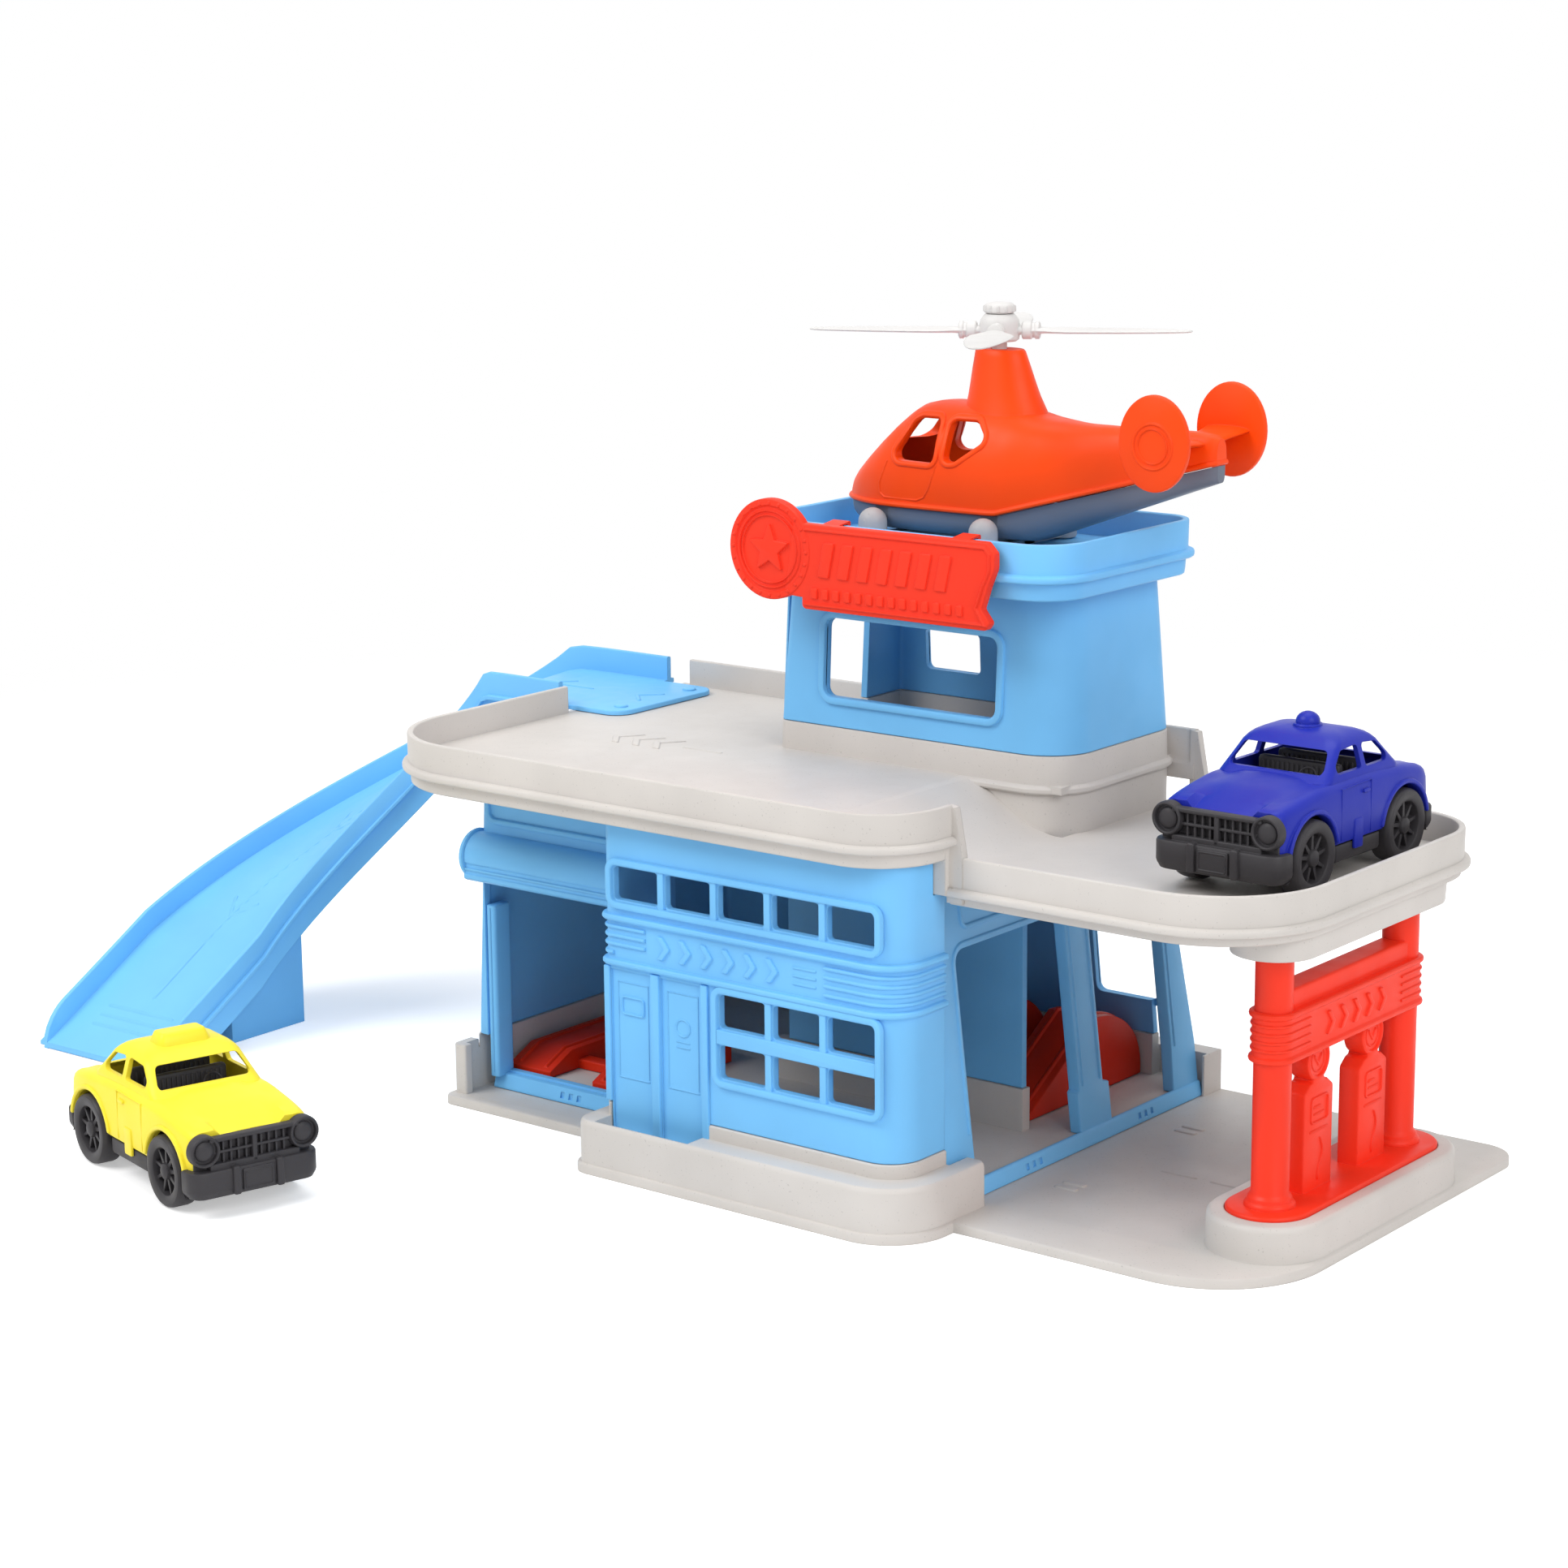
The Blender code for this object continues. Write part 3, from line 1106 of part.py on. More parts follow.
def exit_ramp(finish, parent):
    """Sky-blue ramp, a quarter turn down from the deck, with a tongue over the deck's edge and a hollow leg."""
    leg_rings = []
    for inset, at_top in ((0, False), (0, True), (LEG_WALL, True), (LEG_WALL, False)):
        left = RAMP_END_X - LEG_HALF_WIDTH + inset
        right = RAMP_END_X + LEG_HALF_WIDTH - inset
        ys = [LEG_FRONT + inset, RAMP_CENTRE - RAMP_RADIUS, (LEG_FRONT + LEG_BACK) / 2, LEG_BACK - inset]
        row = [(left, y) for y in ys] + [(right, y) for y in reversed(ys)]
        leg_rings.append([(x, y, ramp_point(ramp_reach(x, y))[2] - RAMP_PLATE / 2 if at_top else 0)
                          for x, y in row])
    leg = solid(leg_rings, loop=True)
    tongue = prism(outline([
        (RAMP_START - 2, RAMP_CENTRE - TONGUE_HALF_WIDTH, 0),
        (TONGUE_END, RAMP_CENTRE - TONGUE_HALF_WIDTH, TONGUE_RADIUS),
        (TONGUE_END, RAMP_CENTRE + TONGUE_HALF_WIDTH, TONGUE_RADIUS),
        (RAMP_START - 2, RAMP_CENTRE + TONGUE_HALF_WIDTH, 0),
    ]), RAMP_SURFACE - TONGUE_THICKNESS, RAMP_SURFACE)
    return piece("exit_ramp", ramp_sweep(ramp_section), finish, [add(tongue), add(leg)], parent)


def pump_frame(finish, parent):
    """Red-orange frame: foot plate, two columns into the canopy's boss, band, beam and two pumps."""
    x = FRAME_X
    plate_top = PLATE_BOTTOM + PLATE_THICKNESS
    plate = turned(stadium(x, *COLUMN_YS, PLATE_RADIUS), [(0, PLATE_BOTTOM), (0, plate_top - 1), (-1, plate_top)])
    column_top = BOSS_BOTTOM + COLUMN_INSERT
    columns = [rod((x, y, 0), "Z", [
        (COLUMN_FOOT_RADIUS, plate_top - 1),
        (COLUMN_FOOT_RADIUS, plate_top + 1),
        (COLUMN_RADIUS, plate_top + 5),
        (COLUMN_RADIUS, column_top),
    ]) for y in COLUMN_YS]
    band = turned(stadium(x, *COLUMN_YS, COLUMN_RADIUS), [
        (BAND_RIB, BAND_BOTTOM),
        (BAND_RIB, BAND_BOTTOM + 2.2),
        (BAND_PROUD, BAND_BOTTOM + 2.6),
        (BAND_PROUD, BAND_TOP - 2.6),
        (BAND_RIB, BAND_TOP - 2.2),
        (BAND_RIB, BAND_TOP),
    ])
    beam = box((x - BEAM_HALF, x + BEAM_HALF), COLUMN_YS, (BAND_TOP - 1, BEAM_TOP))
    pump_ys = (FRAME_CENTRE - PUMP_SPACING / 2, FRAME_CENTRE + PUMP_SPACING / 2)
    depth = (x - PUMP_HALF_DEPTH, x + PUMP_HALF_DEPTH)
    bodies = [across([
        (y - PUMP_HALF_WIDTH, plate_top - 1),
        (y + PUMP_HALF_WIDTH, plate_top - 1),
        (y + PUMP_HALF_WIDTH, PUMP_BODY_TOP - 3),
        (y + PUMP_HALF_WIDTH - 4, PUMP_BODY_TOP),
        (y + 3.5, PUMP_BODY_TOP + 0.5),
        (y + 3.5, PUMP_HEAD_HEIGHT),
        (y - 3.5, PUMP_HEAD_HEIGHT),
        (y - 3.5, PUMP_BODY_TOP + 0.5),
        (y - PUMP_HALF_WIDTH + 4, PUMP_BODY_TOP),
        (y - PUMP_HALF_WIDTH, PUMP_BODY_TOP - 3),
    ], *depth, "X") for y in pump_ys]
    heads = [rod((x, y, PUMP_HEAD_HEIGHT), "X", [
        (PUMP_HEAD_RADIUS, -PUMP_HALF_DEPTH + 0.5),
        (PUMP_HEAD_RADIUS, PUMP_HALF_DEPTH - 0.5),
    ]) for y in pump_ys]
    changes = [add(together(columns)), add(band), add(beam), add(together(bodies)), add(together(heads))]
    return piece("pump_frame", plate, finish, changes, parent)


def service_ramp(name, first_x, profile, bar_ys, finish, parent):
    """A red drive-on ramp on a bay floor: two tracks of one (y, height) profile, tied by cross bars."""
    low = ROOM_FLOOR + GAP
    centres = (first_x, first_x + TRACK_SPACING)
    tracks = [across([(y, low + height) for y, height in profile], x - TRACK_WIDTH / 2, x + TRACK_WIDTH / 2, "X")
              for x in centres]
    bars = [box(centres, (y, y + BAR_WIDTH), (low, low + BAR_HEIGHT)) for y in bar_ys]
    return piece(name, together(tracks), finish, [add(together(bars))], parent)


def left_ramp_profile():
    front = LEFT_TRACK_FRONT
    back = front + LEFT_TRACK_LENGTH
    return [(front, 0), (back, 0), (back, LEFT_TRACK_HEIGHT), (front + TRACK_TIP, LEFT_TRACK_HEIGHT), (front, 2.5)]


def right_ramp_profile():
    """A long rise from the front, a crest, and a rounded fall toward the back wall."""
    fall = RIGHT_TRACK_BACK - RIGHT_TRACK_CREST
    crown = [(RIGHT_TRACK_CREST + fall * math.sin(math.radians(15 * k)),
              RIGHT_TRACK_HEIGHT * math.cos(math.radians(14 * k))) for k in range(6, -1, -1)]
    return [(RIGHT_TRACK_FRONT, 0), (RIGHT_TRACK_BACK, 0), *crown, (RIGHT_TRACK_FRONT, 2.5)]


def belt_height(x):
    """Where the helicopter's body meets its hull: level under the cabin, then rising to the tail."""
    share = max(0.0, (x - BELT_RISE_START) / (TAIL_END - BELT_RISE_START))
    return BELT + (BELT_TAIL - BELT) * share


def heli_stations():
    """The body's length, half width and top: nose, windscreen, roof, boom and tail."""
    wide = CABIN_HALF_WIDTH
    return [
        (NOSE_END, 5.0, 17.5),
        (-64.0, 12.0, 25.0),
        (-55.0, 19.0, 35.0),
        (-43.0, 23.5, 46.0),
        (-30.0, wide, ROOF),
        (-8.0, wide, ROOF - 0.5),
        (BELT_RISE_START, wide - 1, ROOF - 1.5),
        (28.0, 19.5, BOOM_TOP + 0.5),
        (45.0, 13.5, BOOM_TOP - 0.5),
        (70.0, 9.0, BOOM_TOP),
        (95.0, 6.5, BOOM_TOP),
        (TAIL_END, 4.0, BOOM_TOP - 2),
    ]


def mast_ring(x_back, x_front, half, z, steps=12):
    middle = (x_back + x_front) / 2
    reach = (x_back - x_front) / 2
    return [(middle + reach * math.cos(2 * math.pi * k / steps), half * math.sin(2 * math.pi * k / steps), z)
            for k in range(steps)]


def heli_fuselage(finish, parent):
    """Orange body: hollow cabin with windows, mast, tail boom, stabiliser and two round fins."""
    outer = lofted([(x, half, belt_height(x), top) for x, half, top in heli_stations()], 0.72)
    inner = lofted([(x, half - HELI_WALL, -5.0, top - HELI_WALL) for x, half, top in heli_stations()[2:8]], 0.72)
    mast = solid([
        mast_ring(23.0, -14.0, 14.0, ROOF - 8),
        mast_ring(17.0, -12.5, 10.5, ROOF + 6),
        mast_ring(12.0, -10.5, 7.5, MAST_TOP),
    ])
    bore = rod((0, 0, 0), "Z", [(MAST_BORE, MAST_TOP - SHAFT_INSERT - 1), (MAST_BORE, MAST_TOP + 5)], steps=12)
    wing_y = FIN_SPACING / 2
    wing = across([
        (FIN_X - 11, FIN_HEIGHT - 3.0),
        (FIN_X + 10, FIN_HEIGHT - 3.0),
        (FIN_X + 8, FIN_HEIGHT + 0.2),
        (FIN_X - 8, FIN_HEIGHT + 0.2),
    ], -wing_y, wing_y, "Y")
    fins = []
    for side in (-1, 1):
        y = side * wing_y
        rows = [[(FIN_X + FIN_HALF_LENGTH * math.cos(2 * math.pi * k / 16), y + reach,
                  FIN_HEIGHT + FIN_HALF_HEIGHT * math.sin(2 * math.pi * k / 16)) for k in range(16)]
                for reach in (-FIN_THICKNESS / 2, FIN_THICKNESS / 2)]
        fins.append(solid(rows))
    high = 50.0
    low = 33.0
    door_light = across([(-38, low), (-19, low), (-19, high), (-31, high)], -CUT, CUT, "Y")
    rear_light = across([(-14, low + 1), (-6, low + 1), (2, low + 10), (-3, high), (-14, high)], -CUT, CUT, "Y")
    windscreen = across([(-16, 40), (16, 40), (13, 52), (-13, 52)], -60, -32, "X")
    changes = [
        add(mast), cut(inner), cut(together([door_light, rear_light])), cut(windscreen), cut(bore),
        add(wing), add(together(fins)),
    ]
    return piece("heli_fuselage", outer, finish, changes, parent)


def foot_places():
    return [(FOOT_OFFSET + sx * FOOT_SPACING_X / 2, sy * FOOT_SPACING_Y / 2) for sx in (-1, 1) for sy in (-1, 1)]


def heli_hull(finish, parent):
    """Slate lower hull, a tub under the body that follows its belt up to the tail."""
    rings = []
    for x, half, _ in heli_stations():
        reach = half - 0.8
        top = belt_height(x) - GAP
        if x < -50:
            keel = KEEL + (top - KEEL) * 0.12 * (-50 - x) / 4
        else:
            keel = KEEL + max(0.0, x - 24.0) * (BELT_TAIL - 7 - KEEL) / (TAIL_END - 24.0)
        row = []
        for k in range(9):
            angle = math.pi * k / 8
            y = reach * math.copysign(abs(math.cos(angle)) ** 0.6, math.cos(angle))
            row.append((x, y, top - (top - keel) * math.sin(angle) ** 0.6))
        rings.append(row)
    tub = lofted([(x, half - 4.5, KEEL + 2.5, BELT + 12) for x, half, _ in heli_stations()[3:7]], 0.3)
    notches = [rod((x, y, 0), "Z", [(FOOT_RADIUS + GAP, -5), (FOOT_RADIUS + GAP, BELT + 5)], steps=12)
               for x, y in foot_places()]
    return piece("heli_hull", solid(rings), finish, [cut(tub), cut(together(notches))], parent)


def heli_landing_gear(finish, parent):
    """Four domed gray feet tied by a flat frame under the hull."""
    ys = FOOT_SPACING_Y / 2
    low = GEAR_BOTTOM
    high = GEAR_BOTTOM + GEAR_THICKNESS
    xs = sorted({x for x, _ in foot_places()})
    spine = box((xs[0] - 3, xs[1] + 3), (-5, 5), (low, high))
    bars = [box((x - 3, x + 3), (-ys, ys), (low, high)) for x in xs]
    feet = [rod((x, y, 0), "Z", [
        (FOOT_RADIUS - 1, 0),
        (FOOT_RADIUS, 1.2),
        (FOOT_RADIUS, FOOT_HEIGHT - 4),
        (FOOT_RADIUS * 0.8, FOOT_HEIGHT - 1.3),
        (FOOT_RADIUS * 0.35, FOOT_HEIGHT),
    ], steps=12) for x, y in foot_places()]
    return piece("heli_landing_gear", spine, finish, [add(together(bars)), add(together(feet))], parent)


def heli_rotor(finish, parent):
    """Light gray hub with its shaft down into the mast and four paddle blades."""
    top = HUB_BOTTOM + HUB_HEIGHT
    hub = rod((0, 0, 0), "Z", [
        (SHAFT_RADIUS, MAST_TOP - SHAFT_INSERT),
        (SHAFT_RADIUS, HUB_BOTTOM),
        (HUB_RADIUS, HUB_BOTTOM + 0.5),
        (HUB_RADIUS, top - 3),
        (HUB_RADIUS - 2, top),
    ])
    blades = []
    for k in range(BLADE_COUNT):
        angle = math.radians(BLADE_ANGLE + 360 * k / BLADE_COUNT)
        along = Vector((math.cos(angle), math.sin(angle)))
        side = Vector((-along.y, along.x))
        shape = [(6.2, 3.5), (17, 4.0), (24, BLADE_CHORD / 2), (50, BLADE_CHORD / 2 - 1.5), (70, 5.0),
                 (ROTOR_RADIUS, 2.0)]
        edge = shape + [(reach, -half) for reach, half in reversed(shape)]
        rings = []
        for z in (BLADE_HEIGHT - BLADE_THICKNESS / 2, BLADE_HEIGHT + BLADE_THICKNESS / 2):
            rings.append([(along.x * reach + side.x * half, along.y * reach + side.y * half, z)
                          for reach, half in edge])
        blades.append(solid(rings))
    bore = rod((0, 0, 0), "Z", [(CAP_PIN + GAP, top - 6), (CAP_PIN + GAP, top + 5)], steps=12)
    return piece("heli_rotor", hub, finish, [add(together(blades)), cut(bore)], parent)


def heli_rotor_cap(finish, parent):
    """Round cap pressed on the hub with a short pin."""
    top = HUB_BOTTOM + HUB_HEIGHT
    cap = rod((0, 0, 0), "Z", [
        (CAP_PIN, top - 5),
        (CAP_PIN, top + GAP),
        (CAP_RADIUS, top + GAP),
        (CAP_RADIUS, top + CAP_HEIGHT - 1.5),
        (CAP_RADIUS - 1.5, top + CAP_HEIGHT),
    ])
    return piece("heli_rotor_cap", cap, finish, (), parent)


def helicopter(finishes):
    place = empty("helicopter", (HELI_X, HELI_Y, TRAY_SURFACE + GAP))
    rotor_axis = empty("rotor_axis", (0, 0, 0), parent=place)
    heli_fuselage(finishes["orange"], place)
    heli_hull(finishes["slate"], place)
    heli_landing_gear(finishes["silver"], place)
    heli_rotor(finishes["light"], rotor_axis)
    heli_rotor_cap(finishes["light"], rotor_axis)


def cabin_ring(front, back, half, z, radius, shrink=0.0):
    return ring(outline([
        (back + shrink, -half + shrink, radius),
        (front - shrink, -half + shrink, radius),
        (front - shrink, half - shrink, radius),
        (back + shrink, half - shrink, radius),
    ], steps=3), 0, z)


def arch_cutters():
    return together([rod((x, 0, WHEEL_RADIUS), "Y", [
        (WHEEL_RADIUS + ARCH_CLEARANCE, -CUT),
        (WHEEL_RADIUS + ARCH_CLEARANCE, CUT),
    ]) for x in (-WHEELBASE / 2, WHEELBASE / 2)])


def car_body(name, finish, roof_mark, parent):
    """A saloon body open underneath: bonnet, cabin with open windows, boot, wheel arches and its roof mark."""
    wide = CAR_HALF_WIDTH
    stations = [
        (CAR_BACK, wide - 3, CAR_SILL + 2, CAR_BELT - 6),
        (CAR_BACK + 3, wide - 1, CAR_SILL, CAR_BELT - 3.5),
        (CABIN_BACK, wide, CAR_SILL, CAR_BELT - 1),
        (CABIN_FRONT, wide, CAR_SILL, CAR_BELT),
        (CAR_NOSE - 10, wide - 0.5, CAR_SILL, CAR_BELT - 2.5),
        (CAR_NOSE - 1.5, wide - 1.5, CAR_SILL, CAR_BELT - 4),
        (CAR_NOSE, wide - 2, CAR_SILL + 0.5, CAR_BELT - 5),
    ]
    lower = lofted(stations, 0.38)
    inside = lofted([(x, half - CAR_WALL, -5.0, top - CAR_WALL) for x, half, _, top in stations[1:6]], 0.38)
    cabin = solid([
        cabin_ring(CABIN_FRONT, CABIN_BACK, CABIN_HALF, CAR_BELT - 4, 5.0),
        cabin_ring(ROOF_FRONT + 2, ROOF_BACK - 2, ROOF_HALF + 0.8, CAR_ROOF - 2.2, 5.0),
        cabin_ring(ROOF_FRONT, ROOF_BACK, ROOF_HALF, CAR_ROOF, 5.0, 2.0),
    ])
    room = solid([
        cabin_ring(CABIN_FRONT, CABIN_BACK, CABIN_HALF, CAR_BELT - 12, 3.5, CAR_WALL),
        cabin_ring(CABIN_FRONT, CABIN_BACK, CABIN_HALF, CAR_BELT - 4, 3.5, CAR_WALL + 0.3),
        cabin_ring(ROOF_FRONT + 2, ROOF_BACK - 2, ROOF_HALF, CAR_ROOF - CAR_WALL - 0.5, 3.5, CAR_WALL),
    ])
    low = CAR_BELT + 1.5
    high = CAR_ROOF - 5
    screens = [box((ROOF_FRONT + 1.5, CABIN_FRONT + 5), (-ROOF_HALF + 1.5, ROOF_HALF - 1.5), (low, high)),
               box((CABIN_BACK - 5, ROOF_BACK - 1.5), (-ROOF_HALF + 1.5, ROOF_HALF - 1.5), (low, high))]
    sides = [across([(-5, low), (12, low), (ROOF_FRONT, high), (-5, high)], -CUT, CUT, "Y"),
             across([(-25, low), (-9, low), (-9, high), (ROOF_BACK + 1, high)], -CUT, CUT, "Y")]
    if roof_mark == "dome":
        mark = rod((-5.0, 0, CAR_ROOF), "Z", [
            (BEACON_RADIUS + 0.8, -1),
            (BEACON_RADIUS + 0.8, 0.7),
            (BEACON_RADIUS, 0.8),
            (BEACON_RADIUS * 0.8, 3.5),
            (BEACON_RADIUS * 0.35, 5.0),
        ], steps=12)
    else:
        mark = solid([cabin_ring(2.0, -8.0, 10.5, z, 1.4, shrink)
                      for z, shrink in ((CAR_ROOF - 1, 0.0), (CAR_ROOF + 4, 1.2))])
    changes = [add(cabin), cut(inside), cut(room), cut(together(screens)), cut(together(sides)),
               cut(arch_cutters()), add(mark)]
    return piece(name, lower, finish, changes, parent)


def car_chassis(name, finish, parent):
    """Dark chassis: floor, side sills, bumpers, grille with two lamps and the saddles of the axles."""
    low = CHASSIS_BOTTOM
    top = CHASSIS_BOTTOM + CHASSIS_FLOOR
    under_body = CAR_SILL - GAP
    floor = box((CAR_BACK + 2, CAR_NOSE), (-CHASSIS_HALF, CHASSIS_HALF), (low, top))
    sill_reach = WHEELBASE / 2 - WHEEL_RADIUS - ARCH_CLEARANCE - 1
    sills = box((-sill_reach, sill_reach), (-CAR_HALF_WIDTH + 0.2, CAR_HALF_WIDTH - 0.2), (low + 0.5, under_body))
    clear = WHEELBASE / 2 + WHEEL_RADIUS + ARCH_CLEARANCE
    front = [
        box((clear, CAR_NOSE + 2), (-BUMPER_HALF + 1, BUMPER_HALF - 1), (low, under_body)),
        box((CAR_BACK - 2.3, -clear), (-BUMPER_HALF + 1, BUMPER_HALF - 1), (low + 1, under_body)),
    ]
    grille = box((CAR_NOSE + GAP, CAR_NOSE + 3), (-BUMPER_HALF + 2, BUMPER_HALF - 2), (low + 3, GRILLE_TOP - 1))
    blades = [
        box((CAR_NOSE + 0.5, CAR_NOSE + BUMPER_REACH), (-BUMPER_HALF, BUMPER_HALF), (low + 1.5, CAR_SILL + 3.5)),
        box((CAR_BACK - 3.2, CAR_BACK - GAP), (-BUMPER_HALF + 1, BUMPER_HALF - 1), (low + 1.5, CAR_SILL + 3)),
    ]
    lamps = [rod((CAR_NOSE, side * LAMP_SPACING / 2, GRILLE_TOP - LAMP_RADIUS - 0.7), "X",
                 [(LAMP_RADIUS + 0.7, 0.6), (LAMP_RADIUS + 0.5, 4.2)], steps=12) for side in (-1, 1)]
    saddles = []
    for centre in (-WHEELBASE / 2, WHEELBASE / 2):
        for side in (-1, 1):
            near = AXLE_RADIUS + GAP
            far = near + 3
            ends = sorted((centre + side * near, centre + side * far))
            saddles.append(box(ends, (-CHASSIS_HALF + 2, CHASSIS_HALF - 2), (top - 1, WHEEL_RADIUS + 1)))
    changes = [add(sills), add(together(front)), add(grille), add(together(blades)), add(together(lamps)),
               add(together(saddles))]
    return piece(name, floor, finish, changes, parent)


def car_seats(name, finish, parent):
    """Dark bench seats on their shared base."""
    low = CAR_SILL
    half = ROOF_HALF
    base = box((-17, 13), (-half, half), (low, low + 4))
    backs = [box((x, x + 3.5), (-half + 1, half - 1), (low + 3, low + 28.5)) for x in (-16, -2)]
    dash = box((10, 12.5), (-half + 1, half - 1), (low + 3, low + 21))
    return piece(name, base, finish, [add(together(backs + [dash]))], parent)


def wheel_mesh():
    """A wheel about Y, its outer face at +Y: tyre, sunk hub face and a blind bore for the axle."""
    return rod((0, 0, 0), "Y", [
        (WHEEL_RADIUS - 1, 0),
        (WHEEL_RADIUS, 1),
        (WHEEL_RADIUS, WHEEL_WIDTH - 1),
        (WHEEL_RADIUS - 1.5, WHEEL_WIDTH),
        (WHEEL_RADIUS - 3.4, WHEEL_WIDTH),
        (WHEEL_RADIUS - 4.4, WHEEL_WIDTH - 1.2),
    ], steps=20)


def car(prefix, at, heading, ground, body_finish, dark, roof_mark):
    """One car standing on the ground height, heading in degrees from +X."""
    place = empty(f"{prefix}_place", (*at, ground), heading)
    car_body(f"{prefix}_body", body_finish, roof_mark, place)
    car_chassis(f"{prefix}_chassis", dark, place)
    car_seats(f"{prefix}_seats", dark, place)
    for end, x in (("front", WHEELBASE / 2), ("rear", -WHEELBASE / 2)):
        axis = empty(f"{prefix}_{end}_axis", (x, 0, WHEEL_RADIUS), parent=place)
        axle = rod((0, 0, 0), "Y", [(AXLE_RADIUS, -AXLE_END), (AXLE_RADIUS, AXLE_END)], steps=12)
        piece(f"{prefix}_{end}_axle", axle, dark, (), axis)
        bore = rod((0, 0, 0), "Y", [(AXLE_RADIUS + GAP, -5), (AXLE_RADIUS + GAP, AXLE_END - WHEEL_INSIDE + GAP)],
                   steps=12)
        for letter, side, turn in (("l", 1, 0.0), ("r", -1, 180.0)):
            piece(f"{prefix}_wheel_{end[0]}{letter}", wheel_mesh(), dark, [cut(bore)], axis,
                  at=(0, side * WHEEL_INSIDE, 0), turn=turn)


def main():
    clear_scene()
    finishes = {
        "gray": plastic("plastic_warm_gray", (0.65, 0.61, 0.57)),
        "sky": plastic("plastic_sky_blue", (0.20, 0.51, 0.87)),
        "red": plastic("plastic_red_orange", (1.0, 0.07, 0.02)),
        "lift": plastic("plastic_red", (0.75, 0.04, 0.01)),
        "orange": plastic("plastic_orange", (1.0, 0.11, 0.01)),
        "slate": plastic("plastic_slate", (0.15, 0.18, 0.23)),
        "silver": plastic("plastic_light_gray", (0.48, 0.47, 0.46)),
        "light": plastic("plastic_pale_gray", (0.72, 0.70, 0.68)),
        "blue": plastic("plastic_deep_blue", (0.04, 0.05, 0.55)),
        "yellow": plastic("plastic_yellow", (1.0, 0.86, 0.07)),
        "dark": plastic("plastic_dark_gray", (0.06, 0.055, 0.055), 0.5),
    }
    garage = empty("garage", (0, 0, 0))
    base_tray(finishes["gray"], garage)
    garage_walls(finishes["sky"], garage)
    bay_frame(finishes["sky"], garage)
    left_bay_frame(finishes["sky"], garage)
    partition_wall(finishes["sky"], garage)
    upper_deck(finishes["gray"], garage)
    tower_walls(finishes["sky"], garage)
    helipad_tray(finishes["sky"], garage)
    sign_board(finishes["red"], garage)
    exit_ramp(finishes["sky"], garage)
    pump_frame(finishes["red"], garage)
    first_bar = LEFT_TRACK_FRONT + BAR_INSET
    service_ramp("service_ramp_left", LEFT_TRACK_X, left_ramp_profile(), (first_bar, first_bar + BAR_SPACING),
                 finishes["lift"], garage)
    crest_bars = [RIGHT_TRACK_CREST + reach for reach in CREST_BARS]
    service_ramp("service_ramp_right", RIGHT_TRACK_X, right_ramp_profile(), crest_bars, finishes["lift"], garage)
    helicopter(finishes)
    car("blue_car", BLUE_CAR_AT, BLUE_CAR_HEADING, CANOPY_SURFACE + GAP, finishes["blue"], finishes["dark"], "dome")
    car("yellow_car", YELLOW_CAR_AT, YELLOW_CAR_HEADING, 0.0, finishes["yellow"], finishes["dark"], "block")


main()
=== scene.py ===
"""Looks of the toy parking garage playset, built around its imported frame.

Sizes are in millimetres and become metres where a mesh is made. +X runs along the front to the right, +Y to
the back and +Z up, with the origin on the floor in the middle of the ground moulding.
"""

import logging
import math
from collections.abc import Iterable, Sequence
from dataclasses import dataclass, field
from enum import Enum

import bmesh
import bpy
from mathutils import Matrix, Vector


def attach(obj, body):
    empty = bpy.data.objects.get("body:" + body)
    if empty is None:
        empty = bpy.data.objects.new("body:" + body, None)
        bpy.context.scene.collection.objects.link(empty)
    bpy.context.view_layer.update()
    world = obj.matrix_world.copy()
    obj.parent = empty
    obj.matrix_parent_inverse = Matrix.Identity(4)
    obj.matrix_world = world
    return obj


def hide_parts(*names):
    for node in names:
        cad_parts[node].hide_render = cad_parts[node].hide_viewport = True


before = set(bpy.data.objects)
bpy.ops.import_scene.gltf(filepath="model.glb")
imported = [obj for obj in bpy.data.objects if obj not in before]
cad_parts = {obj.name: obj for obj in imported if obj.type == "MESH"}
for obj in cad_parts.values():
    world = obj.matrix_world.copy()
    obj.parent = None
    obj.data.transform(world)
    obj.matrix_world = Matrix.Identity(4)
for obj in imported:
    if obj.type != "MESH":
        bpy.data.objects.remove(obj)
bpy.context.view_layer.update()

MM = 0.001
SHARP_ANGLE = 32.0

log = logging.getLogger("playset")

Corner = tuple[float, float, float]
Path = list[tuple[Vector, Vector]]
Ring = list[Vector]
Mesh = bpy.types.Mesh


def linear(code: str) -> tuple[float, float, float, float]:
    """Turns an sRGB hex colour into linear light.

    Args:
        code: the colour, such as "#7DBDF0".

    Returns:
        Red, green, blue and an alpha of 1.
    """
    parts = [int(code[k:k + 2], 16) / 255 for k in (1, 3, 5)]
    light = [c / 12.92 if c <= 0.04045 else ((c + 0.055) / 1.055) ** 2.4 for c in parts]
    return (*light, 1.0)


def add_node(tree: bpy.types.NodeTree, kind: str, sockets: dict | None = None,
        **settings: object) -> bpy.types.Node:
    """Adds a node with its settings, its socket values and the links into it.

    Args:
        tree: the node tree.
        kind: the node's type name.
        sockets: a value or another node's output for each input, by name or number.
        **settings: properties of the node.

    Returns:
        The new node.
    """
    made = tree.nodes.new(kind)
    for key, value in settings.items():
        setattr(made, key, value)
    for key, value in (sockets or {}).items():
        if isinstance(value, bpy.types.NodeSocket):
            tree.links.new(value, made.inputs[key])
        else:
            made.inputs[key].default_value = value
    return made


